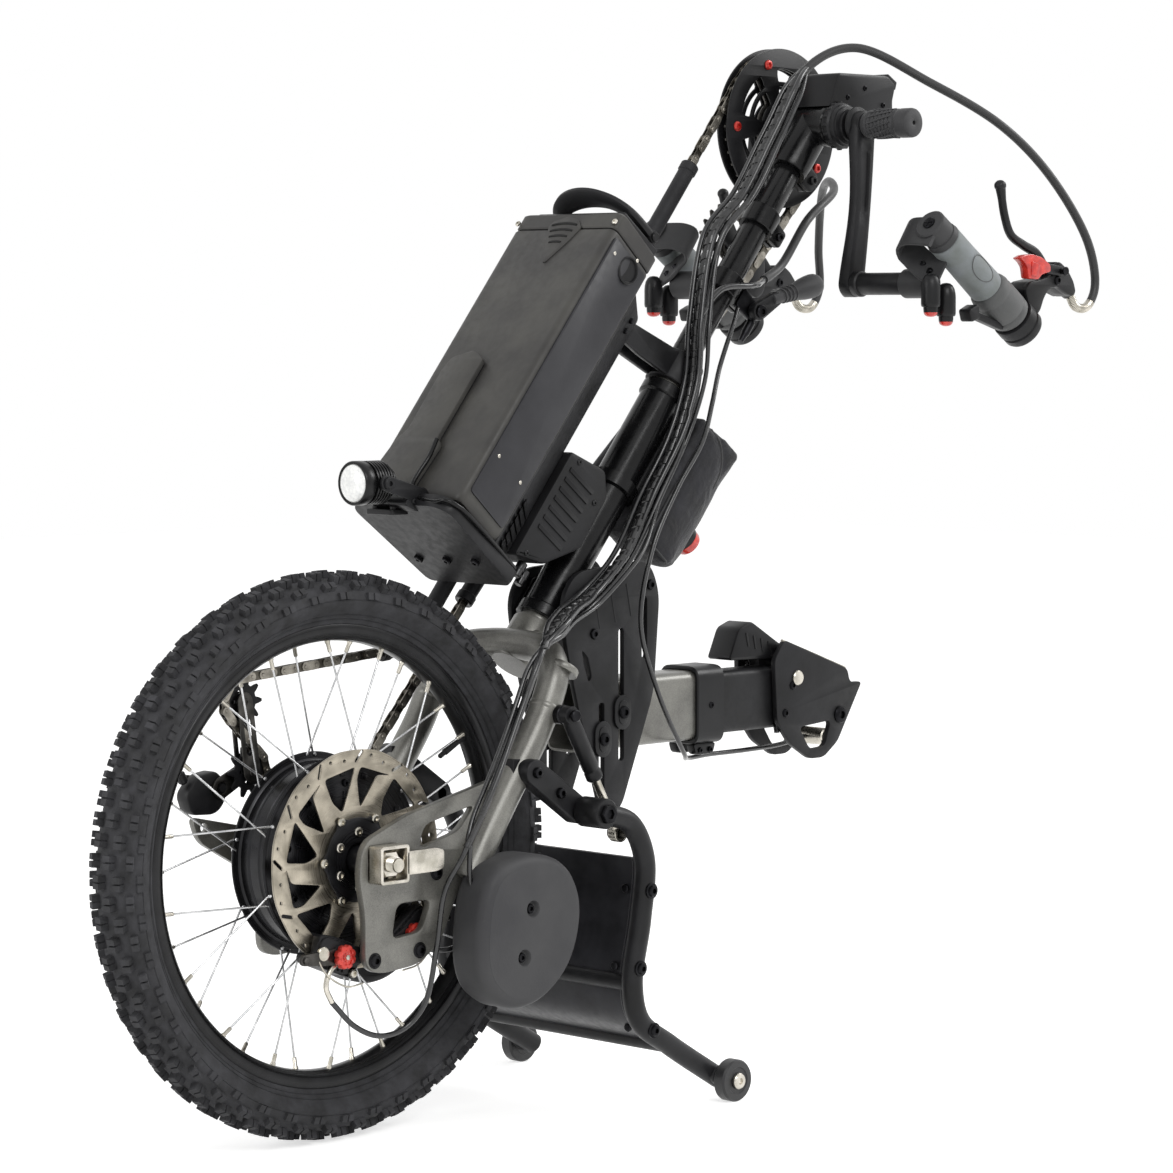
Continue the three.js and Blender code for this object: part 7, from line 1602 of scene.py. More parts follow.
def battery():
    plan = flat_shape([(134, -60), (205, -68), (205, 68), (134, 60)], 9, 6)
    shape = Body().rows(mast_plan_rows(plan, (303.5, 304.5, 306, 610, 616, 619), (1.6, 0.5, 0, 0, 1.2, 3.4)))
    piece("battery_shell", shape, CASE_FINISH, "battery", "battery_case", angle=30)
    cap = Body().rows(mast_plan_rows(plan, (283.5, 284.2, 286.5, 301, 302.4), (4.2, 1.6, 0, 0, 0.9)))
    piece("battery_cap", cap, CASE_FINISH, "battery", angle=30)
    seam = Body().rows(mast_plan_rows(plan, (300, 306), (2.2, 2.2)))
    seam.block((139, -58, 276), (196, 58, 286), on_mast_plan)
    piece("battery_seam", seam, BLACK_PLASTIC, "battery", bevel=2.0)
    # The seam dips round the vents in the middle of the front face
    tongue = flat_shape([
        (-21, -300), (-16, -294), (0, -289), (16, -294), (21, -300), (24, -303), (18, -318), (2, -345), (-2, -345),
        (-20, -303),
    ], 3, 4)
    front = Body().plate([tongue], 204.6, 206.2, on_mast_front, 0.5)
    piece("battery_tongue", front, CASE_FINISH, "battery", angle=30)
    # The vent slots are near-black plates laid on the face: painted shade where the openings are
    vents = Body()
    for i, half in enumerate((17, 15, 12, 8)):
        middle = 296.5 + i * 7.4
        upper, lower = [], []
        for k in range(-8, 9):
            bow = (k / 8) ** 2
            upper.append((half * k / 8, -(middle + 2.6 * bow * half / 17)))
            lower.append((half * 0.97 * k / 8, -(middle + 2.5 - 0.6 * bow + 2.6 * bow * half / 17)))
        vents.plate([upper + lower[::-1]], 205.6, 206.9, on_mast_front, 0.3)
    piece("battery_vent_shadows", vents, VENT_SHADOW, "battery", angle=30)
    # Panels on both sides of the case, drawn darker than it: painted shade that makes the sides read darker than the
    # front
    face = flat_shape([(140, -309), (199, -309), (199, -606), (140, -606)], 4, 4)
    panels = Body()
    for side in (1, -1):
        panels.rows([[
            mast_place(169.5 + (f - 169.5) * (1 - inset / 30), -b, side * (60 + (f - 134) * 8 / 71 + depth))
            for f, b in face
        ] for depth, inset in ((-0.6, 0), (1.2, 0), (1.6, 1.2))])
    piece("battery_side_shade_panels", panels, SIDE_SHADE_ENAMEL, "battery", angle=30)
    lock = Body().turned([(13.4, 63), (13.4, 66.4), (12.6, 67.2), (11.4, 67.2), (10.6, 65.4), (2.4, 65.2)],
                         mast_place(165, 322), sides=56, both=True)
    piece("battery_locks", lock, SATIN_PLASTIC, "battery")
    screws = Body()
    for side in (1, -1):
        screws.turned([(2.8, -1), (2.8, 0.6), (2.1, 1.2), (1.1, 1.2), (1, 0.2)], mast_place(206.4, 297, side * 64.6),
                      MAST_FORWARD, 20)
        for forward, below in ((190, 322), (160, 306), (150, 560), (190, 560)):
            at = mast_place(forward, below, side * (61.4 + (forward - 134) * 8 / 71))
            screws.turned([(1.8, -0.4), (1.8, 0.5), (1.2, 0.9)], at, (0, side, 0), 16)
    piece("battery_screws", screws, NICKEL, "battery")


def battery_bail():
    """The soft handle lies over the end of the case and bows up in the middle."""
    lug = flat_shape([(144, -288), (144, -271), (147, -264), (153, -264), (156, -271), (156, -288)], 3, 5)
    lugs = Body().plate([lug, ring_shape(2.8, 20, 150, -269)], 42, 49, on_mast_side, 0.6, both=True)
    lugs.turned([(2.7, 42), (2.7, 57), (4.6, 57.4), (4.6, 59), (3.6, 60)], mast_place(150, 269), sides=24, both=True)
    piece("bail_lugs", lugs, SATIN_PLASTIC, "battery")
    route = []
    for i in range(61):
        rise = math.sin(math.pi * i / 60) if 0 < i < 60 else 0
        route.append((150 + 49 * rise ** 0.62, 269 - 9 * rise ** 1.5, 53.3 * math.cos(math.pi * i / 60), rise))
    rows = []
    for i, (forward, below, y, rise) in enumerate(route):
        before, after = route[max(i - 1, 0)], route[min(i + 1, len(route) - 1)]
        way = Vector((after[0] - before[0], after[2] - before[2])).normalized()
        out = Vector((-way.y, way.x))
        wide, thick = 4 + 9 * rise ** 1.4, 3.5 - 0.7 * rise
        rows.append([mast_place(forward + out.x * a, below + b, y + out.y * a) for a, b in (
            (-wide, -thick * 0.5), (-wide * 0.8, -thick), (wide * 0.8, -thick), (wide, -thick * 0.5),
            (wide, thick * 0.5), (wide * 0.8, thick), (-wide * 0.8, thick), (-wide, thick * 0.5),
        )])
    strap = Body().rows(rows)
    for y in (53.3, -53.3):
        strap.turned([(5.6, -4), (6, -3.4), (6, 3.4), (5.6, 4)], mast_place(150, 269, y), sides=32)
    piece("bail_strap", strap, BLACK_PLASTIC, "bail", "battery_handle", angle=45)


def dock():
    shape = Body()
    spine = flat_shape([(92, -26), (133, -54), (133, 54), (92, 26)], 5, 5)
    shape.rows(mast_plan_rows(spine, (322, 323.4, 326, 622, 628, 630), (3, 0.8, 0, 0, 1, 3)))
    base = flat_shape([(93, -56), (203, -66), (214, -52), (214, 52), (203, 66), (93, 56)], 9, 6)
    shape.rows([[mast_place(f, b, y * s) for f, y in base] for b, s in (
        (622.4, 1), (624, 1.015), (633, 1.015), (636, 0.99),
    )])
    piece("dock_spine", shape, BLACK_COAT, "fork_and_dock", "battery_dock", angle=32)
    guard = Body()
    outline = flat_shape([(-17, -455), (1.8, -465), (1.8, -558), (7, -561), (9, -566), (5, -612), (8, -622), (48, -632),
                          (-56, -632), (-60, -606), (-52, -561), (-44, -548), (-45, -478), (-41, -464)], 3.2, 4)
    guard.plate([outline], 207, 212, on_mast_front, 0.9)
    piece("dock_guard", guard, CASE_FINISH, "fork_and_dock", angle=32)
    lining = Body()
    lining.plate([flat_shape([(-16, -458), (0.6, -466), (0.6, -559), (7.4, -566), (4, -612), (-50, -612), (-50, -561),
                              (-42, -550), (-42, -480)], 3)], 205.6, 207.4, on_mast_front)
    piece("dock_lining", lining, BLACK_PLASTIC, "fork_and_dock")
    rim = Body()
    edge = smooth_route([mast_place(213, b, y) for b, y in (
        (560, 4), (580, 7.4), (600, 6), (612, 6.6), (621, 12), (627, 26), (630, 50), (628, 62),
    )] + [mast_place(f, b, y) for f, b, y in ((200, 626, 68), (170, 624, 66.4), (130, 622, 60), (100, 621, 55))], 3)
    rim.tube(edge, 2.2, 12)
    edge = smooth_route([mast_place(f, b, y) for f, b, y in (
        (212, 628, -56), (205, 627, -67), (170, 624, -66), (130, 622, -60), (100, 621, -55),
    )], 4)
    rim.tube(edge, 2.2, 12)
    piece("dock_rim", rim, GLOSS_BLACK, "fork_and_dock")
    collar = Body()
    collar.turned([(17.6, 300), (23, 300), (24, 301), (24, 331), (23, 332), (17.6, 332)], CRANK_PLACE, MAST_DOWN, 56,
                  ring=True)
    arm = flat_shape([(18, -302), (96, -324), (96, -344), (60, -340), (18, -331)], 4, 4)
    for y in (-14, 8):
        collar.plate([arm], y, y + 6, on_mast_side, 0.8)
    collar.plate([flat_shape([(18, -302), (96, -324), (96, -329), (18, -308)], 1)], -12, 12, on_mast_side, 0.4)
    clip = flat_shape([(62, -66), (101, -66), (101, -14), (92, -14), (62, -50)], 3)
    collar.plate([clip], 356, 382, on_mast_plan, 0.8)
    piece("dock_collar", collar, BLACK_COAT, "fork_and_dock", angle=32)
    feet = Body()
    for y in (-38, 0, 38):
        at = Vector(mast_place(130, 636, y))
        feet.turned([(4.6, 0), (4.6, 2.6), (3.6, 3.4), (2.2, 3.4), (2, 1)], at, MAST_DOWN, 6)
    for i in range(6):
        for side in (1, -1):
            feet.add(
                [mast_place(f, b, side * y) for f, y in ((100, 33.4), (124, 49.4), (124, 51), (100, 35))
                 for b in (560 + i * 9, 566 + i * 9)],
                [(0, 1, 3, 2), (2, 3, 5, 4), (4, 5, 7, 6), (6, 7, 1, 0), (0, 2, 4, 6), (7, 5, 3, 1)],
            )
    for side in (1, -1):
        for b in (340, 352, 600, 612):
            at = Vector(mast_place(112, b, side * 41.6))
            feet.turned([(3, -2), (3, 1), (2, 1.8)], at, Vector(MAST_FORWARD) * -0.55 + Vector((0, side * 0.83, 0)), 18)
    piece("dock_screws", feet, BLACK_SCREW, "fork_and_dock")


def controller():
    outline = flat_shape(spread((
        (0.03, 0.86), (0.3, 1), (1, 0.9), (1, 0), (0.44, 0.12), (0, 0.42),
    ), 67.7, 134, 24, -600), 5, 5)
    shape = Body().plate([outline], -35, 35, on_mast_side, 4.2)
    piece("controller_case", shape, BLACK_PLASTIC, "fork_and_dock", "controller_box", angle=30)
    trim = Body()
    for i in range(7):
        at = -492 - i * 11
        fin = flat_shape([(46, at), (84, at), (84, at - 4.6), (46, at - 4.6)], 1)
        trim.plate([fin], 34.4, 36.2, on_mast_side, 0.3, both=True)
    plugs = Body()
    for side in (1, -1):
        for f, b in ((78, 482), (80, 590), (38, 500)):
            trim.turned([(2.8, -1), (2.8, 1), (2, 1.6), (1, 1.6), (0.9, 0.6)], mast_place(f, b, side * 34.8),
                        (0, side, 0), 18)
        for f, y in ((52, 12), (66, 20)):
            plugs.turned([(5, 0), (5, 7), (4.2, 8), (4.2, 14), (3, 15)], mast_place(f, 592, side * y), MAST_DOWN, 24)
    piece("controller_trim", trim, SATIN_PLASTIC, "fork_and_dock")
    piece("controller_plugs", plugs, CABLE_JACKET, "fork_and_dock")


def headlamp():
    rear, hinge, forwards = (-76, 0, 590), (-55, 590), (1, 0, 0)
    profile = [(9, 1.6), (11, 0), (14, 0.6), (15, 2), (15, 6), (18.6, 7.4), (19.4, 8.4)]
    for i in range(6):
        x = 9.6 + i * 3.3
        profile += [(20, x), (20, x + 1.7), (17.8, x + 2), (17.8, x + 3)]
    profile += [(19.6, 30), (20.2, 31), (20.2, 40.6), (19.4, 41.8), (17.8, 41.8), (17.2, 39), (4, 37.4)]
    shell = Body().turned(profile, rear, forwards, 80)
    shell.turned([(4, 17), (4, 25.2)], on_side(*hinge, 0), sides=20, both=True)
    piece("lamp_shell", shell, LAMP_BLACK, "lamp", "headlight", angle=35)
    bowl = Body().turned([(16.6, 38.6), (14, 37.9), (5.4, 37.6), (4, 38.4), (0.6, 38.5)], rear, forwards)
    piece("lamp_reflector", bowl, REFLECTOR, "lamp", angle=40)
    lens = Body().turned([(17.2, 39), (17.2, 41), (16, 42.4), (12, 44.2), (6, 45.4), (0.5, 45.8)], rear, forwards, 72)
    piece("lamp_lens", lens, GLOWING_LENS, "lamp", "headlight_lens", angle=50)
    arm = link_shape((-97, 577), hinge, 7.6, 7.2, 10)
    mount = Body().plate([arm, ring_shape(4.3, 24, *hinge)], 21, 25.2, bevel=0.7, both=True)
    mount.turned([(5.4, 25.2), (5.4, 27.6), (4.4, 28.6), (2.4, 28.6), (2.2, 26.6)], on_side(*hinge, 0), sides=24,
                 both=True)
    mount.plate([flat_shape([(-104, 563), (-92, 563), (-76, 570), (-78, 575), (-90, 584), (-101, 586), (-110, 575)],
                            4, 4)], -24.6, 24.6, bevel=1.4)
    foot = flat_shape([(-104, -30), (-76, -30), (-76, 6), (-104, 6)], 4)
    mount.plate([foot], 560, 565, on_floor, 0.8)
    for x, y in ((-98, -24), (-84, -24), (-84, 0)):
        mount.turned([(3.4, 565), (3.4, 567.4), (2.6, 568.2), (1.4, 568.2), (1.3, 566.4)], (x, y, 0), UPWARDS, 20)
    for x, z in ((-98, 574), (-86, 573)):
        mount.screw(x, z, 24.4, 26.8, 2.6, both=True)
    piece("lamp_mount", mount, BLACK_COAT, "fork_and_dock", angle=32)


battery()
battery_bail()
dock()
controller()
headlamp()


# The head tube, the coupling that steers with the arm, and the docking head
PLATE_BOX = (132, 239, -394, 269)
DOCK_BOX = (132, 122, -701, 297)


def on_plate(share):
    return (PLATE_BOX[2] + share[0] * PLATE_BOX[0], PLATE_BOX[3] + share[1] * PLATE_BOX[1])


def head_tube():
    shape = Body().turned([
        (17.4, 336), (22, 336), (23, 337), (23, 347), (22, 348), (20.5, 349), (20.5, 599), (22, 600), (23, 601),
        (23, 611), (22, 612), (17.4, 612),
    ], CRANK_PLACE, MAST_DOWN, 72, ring=True)
    for y in (-31.5, 25.5):
        shape.plate([flat_shape([(-25, -566), (8, -566), (8, -604), (-25, -604)], 5, 5)], y, y + 6, on_mast_side, 1.2)
    shape.plate([flat_shape([(-22, -570), (-14, -570), (-14, -600), (-22, -600)], 2)], -30, 30, on_mast_side, 1.0)
    shape.turned([(15, 446), (24.4, 447), (24.4, 459), (20, 461)], CRANK_PLACE, MAST_DOWN, 64)
    piece("head_tube_shell", shape, GLOSS_BLACK, "coupling", "head_tube", angle=35)


def coupling_plates():
    outline = flat_shape([on_plate(s) for s in (
        (0.11, 1), (0, 0.87), (0.06, 0.47), (0.41, 0), (0.6, 0.01), (0.85, 0.46), (0.95, 0.67), (1, 0.86), (0.86, 0.97),
    )], 16, 8)
    slots = [
        link_shape(on_plate(a), on_plate(b), 3.5, steps=8)
        for a, b in (((0.4, 0.22), (0.4, 0.72)), ((0.6, 0.1), (0.6, 0.43)), ((0.16, 0.62), (0.16, 0.84)))
    ]
    slots.append(flat_shape([on_plate(s) for s in (
        (0.7, 0.55), (0.74, 0.63), (0.8, 0.66), (0.78, 0.6), (0.73, 0.53),
    )], 3))
    for name, side in HANDS:
        sheet = Body().plate([outline, *slots], *sorted((side * 32, side * 38)), bevel=0.9)
        piece(f"coupling_sheet_{name}", sheet, PLATE_BLACK, "coupling", f"coupling_plate_{name}",
              angle=32)
        washers, bolts, ribs = Body(), Body(), Body()
        for share, long in (((0.4, 0.4), 17), ((0.6, 0.3), 19)):
            x, z = on_plate(share)
            low, high = (x, z - long / 3), (x, z + long / 3)
            washers.plate([link_shape(low, high, 11)], *sorted((side * 38, side * 40.6)), bevel=0.8)
            washers.plate([link_shape(low, high, 6)], *sorted((side * 40, side * 41.6)), bevel=0.7)
            bolts.screw(x, z, side * 41.4, side * 44.6, 6.4)
        for share in ((0.68, 0.72), (0.1, 0.9), (0.93, 0.82), (0.62, 0.86)):
            bolts.screw(*on_plate(share), side * 37.6, side * 40.8, 5.2)
        piece(f"coupling_washers_{name}", washers, SATIN_PLASTIC, "coupling")
        piece(f"coupling_bolts_{name}", bolts, BLACK_SCREW, "coupling")
        # Three long slanting ribs stand a little out of the upper part
        for i in range(3):
            run = [on_plate((0.3 + 0.16 * i + 0.05 * s, 0.78 + 0.13 * s - 0.02 * i)) for s in (0, 0.25, 0.5, 0.75, 1)]
            ribs.tube([on_side(*p, side * 37.6) for p in run], 1.0, 10)
        piece(f"coupling_ribs_{name}", ribs, PLATE_BLACK, "coupling")


def square_sleeve(front, back, half, low, high, wall, corner, bevel=0.8):
    """A square tube that runs fore and aft, with rounded corners and softened mouths."""
    middle, tall = (low + high) / 2, (high - low) / 2
    rows = []
    for x, inset in (
        (front, bevel), (front - bevel, 0), (back + bevel, 0), (back, bevel), (back, wall - bevel / 2),
        (back + bevel, wall), (front - bevel, wall), (front, wall - bevel / 2),
    ):
        a, b = half - inset, tall - inset
        rows.append([
            (x, y, middle + z) for y, z in flat_shape([(-a, -b), (a, -b), (a, b), (-a, b)], max(corner - inset, 1.5), 5)
        ])
    return Body().rows(rows, closed_ends=True)


def docking_arm():
    outer = square_sleeve(-300, -468, 22, 327, 395, 3, 11)
    piece("arm_sleeve", outer, GUNMETAL, "coupling", "arm_outer", angle=35)
    clamp = square_sleeve(-460, -498, 26.4, 322.6, 399.4, 4.2, 14, 1.2)
    for y in (-12, 12):
        ear = flat_shape([(-495, 323), (-463, 323), (-467, 312), (-491, 312)], 4, 5)
        clamp.plate([ear], y - 5.4, y + 5.4, bevel=1.2)
    piece("arm_clamp", clamp, SATIN_PLASTIC, "coupling", angle=35)
    screws = Body()
    for x in (-486, -472):
        screws.screw(x, 316.4, 17.2, 19.6, 3, both=True)
    screws.screw(-479, 361, 26.2, 27.6, 3.4, both=True)
    piece("arm_screws", screws, BLACK_SCREW, "coupling")
    outline = flat_shape(spread((
        (0, 0.84), (0.11, 1), (0.83, 0.72), (0.86, 0.6), (1, 0.6), (0.72, 0.12), (0.56, 0), (0.4, 0), (0.18, 0.14),
        (0.03, 0.34),
    ), *DOCK_BOX), 6, 6)
    window = flat_shape(spread(((0.28, 0.27), (0.64, 0.3), (0.57, 0.09), (0.4, 0.08)), *DOCK_BOX), 7, 6)
    head = square_sleeve(-400, -586, 18.6, 330.4, 391.6, 3, 8)
    head.plate([mirror_out(outline), mirror_out(window)], 22, 28, bevel=1.0, both=True)
    for x, z, radius in ((-584, 411, 3.4), (-590, 338, 3)):
        head.turned([(radius, -22.4), (radius, 22.4)], (x, 0, z), sides=24)
    piece("dock_head", head, PLATE_BLACK, "arm", "arm_inner", angle=32)
    # The weld beads where the sheets meet the tube
    weld = Body()
    for side in (1, -1):
        bead = [
            Vector((-580 - 0.7 * math.sin(i * 2.1), side * (20.4 + 0.5 * math.cos(i * 1.7)), 326 + i * 2.4))
            for i in range(30)
        ]
        weld.tube(bead, [2.8 + 0.55 * math.sin(i * 2.6) for i in range(30)], 12)
    piece("dock_weld", weld, GLOSS_BLACK, "arm", angle=60)
    # The rollers that carry the chair's bar, and above them a bright steel line along each plate's top edge: a painted
    # highlight
    rollers = Body()
    edge = mirror_out(spread(((0.1, 0.985), (0.4, 0.875), (0.82, 0.715)), *DOCK_BOX))
    for side in (1, -1):
        rollers.tube([(x, side * 25, z + 0.9) for x, z in edge], 1.5, 10)
    upper, lower = mirror_out(spread(((0.74, 0.34), (0.64, 0.16)), *DOCK_BOX))
    rollers.turned([(7.4, -22.4), (8.8, -21.4), (8.8, 21.4), (7.4, 22.4)], on_side(*lower, 0), sides=40)
    rollers.turned([(5.8, -29), (5.8, 29)], on_side(*upper, 0), sides=32)
    piece("dock_rollers", rollers, NICKEL, "arm")
    heads = Body().screw(*upper, 27.8, 31.6, 8.6, both=True)
    for place in mirror_out(spread(((0.2, 0.62), (0.12, 0.4)), *DOCK_BOX)):
        heads.screw(*place, 27.6, 30, 4.4, both=True)
    piece("dock_bolts", heads, BLACK_SCREW, "arm")


def mirror_out(points):
    """The docking head's shares run from its front end back."""
    return [(-1270 - x, z) for x, z in points]


def latch_place(back, up):
    return (-516 - 90 * back, 399 + 40 * up)


def latch():
    outline = flat_shape([latch_place(*p) for p in (
        (0, 0.06), (0.16, 0.84), (0.36, 1), (1, 0.16), (1.06, -0.7), (0.87, -0.7), (0.84, 0),
    )], 5, 5)
    shape = Body().plate([outline], -16, 16, bevel=2.6)
    pivot = on_side(*latch_place(0.955, -0.475), 0)
    shape.turned([(9, -15.4), (9.6, -14.6), (9.6, 14.6), (9, 15.4)], pivot, sides=40)
    for i in range(4):
        back = 0.3 + i * 0.12
        x, z = latch_place(back, 0.86 - back * 0.7)
        shape.plate([link_shape((x, z - 10), (x + 3, z + 2), 1.2)], 15.6, 16.8, bevel=0.3, both=True)
    piece("latch_body", shape, SATIN_PLASTIC, "latch", "latch_lever", angle=35)
    pin = Body().turned([(4.8, -21.4), (4.8, 21.4)], pivot, sides=32)
    pin.turned([(5, 28), (7.4, 28.2), (7.4, 30), (6.4, 31)], pivot, sides=32, both=True)
    piece("latch_pin", pin, NICKEL, "arm")


# The mast and what it carries
def mast():
    shape = Body().turned([(11.4, 22), (13.4, 22), (14, 23), (14, 479), (13.4, 480), (11.4, 480)], CRANK_PLACE,
                          MAST_DOWN, ring=True)
    marks = Body()
    for low in (111, 194):
        shape.turned([(14, low), (17.2, low), (18, low + 0.8), (18, low + 21.2), (17.2, low + 22), (14, low + 22)],
                     CRANK_PLACE, MAST_DOWN, 56)
        ear = flat_shape([(-14, -low), (-33, -low - 2), (-33, -low - 20), (-14, -low - 22)], 4, 5)
        for y in (-8, 1.4):
            shape.plate([ear], y, y + 6.6, on_mast_side, 0.9)
        marks.turned([(4.4, 7.6), (4.4, 10.6), (3.6, 11.4), (2, 11.4), (1.9, 9.4)], mast_place(-25.5, low + 11),
                     sides=20, both=True)
    piece("mast_tube", shape, GLOSS_BLACK, "mast_top", "mast", angle=35)
    for i in range(9):
        low = 226 + i * 12
        marks.turned([(13.8, low), (14.12, low + 0.2), (14.12, low + 0.9), (13.8, low + 1.1)], CRANK_PLACE, MAST_DOWN,
                     56)
    piece("mast_marks", marks, BLACK_SCREW, "mast_top")


def idler():
    middle = mast_place(-20, 137)
    flat = (middle[0], middle[2])
    windows = [arc_window(15, 29, (i + 0.5) * TURN / 5, 0.4, flat, 3) for i in range(5)]
    cog = Body().plate([cog_outlines(20, 3.2, 12, flat)[0], *windows, ring_shape(5.3, 24, *flat)], -49, -47, bevel=0.25)
    cog.turned([(5.4, -53), (10.4, -53), (11, -52.2), (11, -43.8), (10.4, -43), (5.4, -43)], middle, sides=40,
               ring=True)
    piece("idler_cog", cog, DARK_STEEL, "idler", "idler", angle=35)
    bracket = Body().plate([link_shape(flat, mast_place(0, 133)[::2], 8, 11)], -41, -36, bevel=0.9)
    bracket.turned([(4.9, -54), (4.9, -14)], middle, sides=28)
    bracket.turned([(8, -54.2), (8, -56.4), (6.8, -57.6), (3, -57.6), (2.8, -55.6)], middle, sides=28)
    piece("idler_bracket", bracket, BLACK_COAT, "mast_top", angle=35)


head_tube()
coupling_plates()
docking_arm()
latch()
mast()
idler()


# The chain, its guide tubes and the derailleur
UPPER_JOCKEY = (49, 395)
LOWER_JOCKEY = (41, 331)
TUBE_BEND = 70


def pitch_radius(teeth):
    return CHAIN_PITCH / 2 / math.sin(math.pi / teeth)


def track_circles():
    """The circles that the chain runs round: place, radius and the way it turns."""
    return [
        (*CRANK, pitch_radius(36), -1), (-122, 500, TUBE_BEND, 1), (*UPPER_JOCKEY, pitch_radius(10), -1),
        (*LOWER_JOCKEY, pitch_radius(10), 1), (*AXLE, pitch_radius(14), -1), (*mast_place(-48, 600)[::2], 90, 1),
        (*mast_place(76, 450)[::2], 90, -1), (*mast_place(-20, 137)[::2], pitch_radius(20), -1),
    ]


def below_crank(x, z):
    return (x - CRANK[0]) * math.sin(LEAN) - (z - CRANK[1]) * math.cos(LEAN)


def chain_track():
    """Places along the whole chain, a couple of millimetres apart on its bends."""
    circles = track_circles()
    count = len(circles)
    runs = []
    for i, (x, z, radius, way) in enumerate(circles):
        nx, nz, nradius, nway = circles[(i + 1) % count]
        start, end = radius * way, nradius * nway
        apart = math.dist((x, z), (nx, nz))
        angle = math.atan2(nz - z, nx - x) - math.acos((start - end) / apart)
        runs.append((
            (x + start * math.cos(angle), z + start * math.sin(angle)),
            (nx + end * math.cos(angle), nz + end * math.sin(angle)),
        ))
    places = []
    for i, (first, last) in enumerate(runs):
        places += [(first[0] + (last[0] - first[0]) * k / 24, first[1] + (last[1] - first[1]) * k / 24)
                   for k in range(24)]
        x, z, radius, way = circles[(i + 1) % count]
        leave = runs[(i + 1) % count][0]
        begin = math.atan2(last[1] - z, last[0] - x)
        sweep = (way * (math.atan2(leave[1] - z, leave[0] - x) - begin)) % TURN
        steps = max(2, math.ceil(sweep * radius / 3))
        places += [polar_place(radius, begin + way * sweep * k / steps, (x, z)) for k in range(steps)]
    made = []
    for x, z in places:
        drift = min(max((below_crank(x, z) - 190) / 430, 0), 1)
        made.append(Vector((x, -48 - drift * 10, z)))
    return made


def even_steps(route, count):
    """As many places as asked for, evenly spaced round a closed route."""
    lengths = [0.0]
    for i in range(len(route)):
        lengths.append(lengths[-1] + (route[(i + 1) % len(route)] - route[i]).length)
    made, i = [], 0
    for k in range(count):
        wanted = lengths[-1] * k / count
        while lengths[i + 1] < wanted:
            i += 1
        share = (wanted - lengths[i]) / (lengths[i + 1] - lengths[i])
        made.append(route[i].lerp(route[(i + 1) % len(route)], share))
    return made


def chain():
    track = chain_track()
    total = sum((track[(i + 1) % len(track)] - track[i]).length for i in range(len(track)))
    count = 2 * round(total / CHAIN_PITCH / 2)
    pins = even_steps(track, count)
    bright, dark = Body(), Body()
    for i, here in enumerate(pins):
        there = pins[(i + 1) % count]
        way = (there - here).normalized()
        side = Vector((0, 1, 0)) - way * way.y
        side.normalize()
        rise = way.cross(side)
        outer = i % 2 == 0
        for face in (1, -1):
            low, high = (2.5, 3.4) if outer else (1.55, 2.4)
            outline = [(a, b * (0.72 if 3.4 < a < 9.3 else 1.0))
                       for a, b in link_shape((0, 0), (CHAIN_PITCH, 0), 4.1, steps=6)]
            rows = [[here + way * a + rise * b + side * face * d for a, b in outline] for d in (low, high)]
            (bright if outer else dark).rows(rows)
        dark.turned([(3.7, -1.5), (3.9, -1.2), (3.9, 1.2), (3.7, 1.5)], here, side, 14)
        bright.turned([(1.4, -4), (1.8, -3.7), (1.8, 3.7), (1.4, 4)], here, side, 10)
    piece("chain_outer", bright, CHAIN_STEEL, "fork_and_dock", "chain", angle=30)
    piece("chain_inner", dark, OILED_LINK, "fork_and_dock", angle=30)
    return track


def chain_tubes(track):
    """Each tube holds a stretch of the track: the lower run to the end of its bend, and the upper run."""
    bend = track_circles()[1][:2]
    start = next(i for i, p in enumerate(track) if (p - track[0]).length > 95)
    finish = next(i for i, p in enumerate(track) if i > 24 and abs(math.dist((p.x, p.z), bend) - TUBE_BEND) > 0.6)
    rear = [p for p in track[len(track) // 2:] if 235 < below_crank(p.x, p.z) < 636 and p.x < -150]
    for name, route in (("front", track[start:finish]), ("rear", rear)):
        shape, mouth = Body().tube(route, 8.3, 32), Body()
        for end, way in ((route[0], route[1] - route[0]), (route[-1], route[-2] - route[-1])):
            shape.turned([(8.2, -0.4), (9.3, 0.4), (9.3, 8), (8.4, 9)], end, way, 32)
            mouth.turned([(6.9, -0.7), (7.4, -0.9), (8.6, -0.6), (9.2, 0.2)], end, way, 32)
        piece(f"chain_guide_{name}", shape, DULL_BLACK, "fork_and_dock", f"chain_tube_{name}", angle=40)
        piece(f"chain_mouth_{name}", mouth, GLOSS_BLACK, "fork_and_dock")


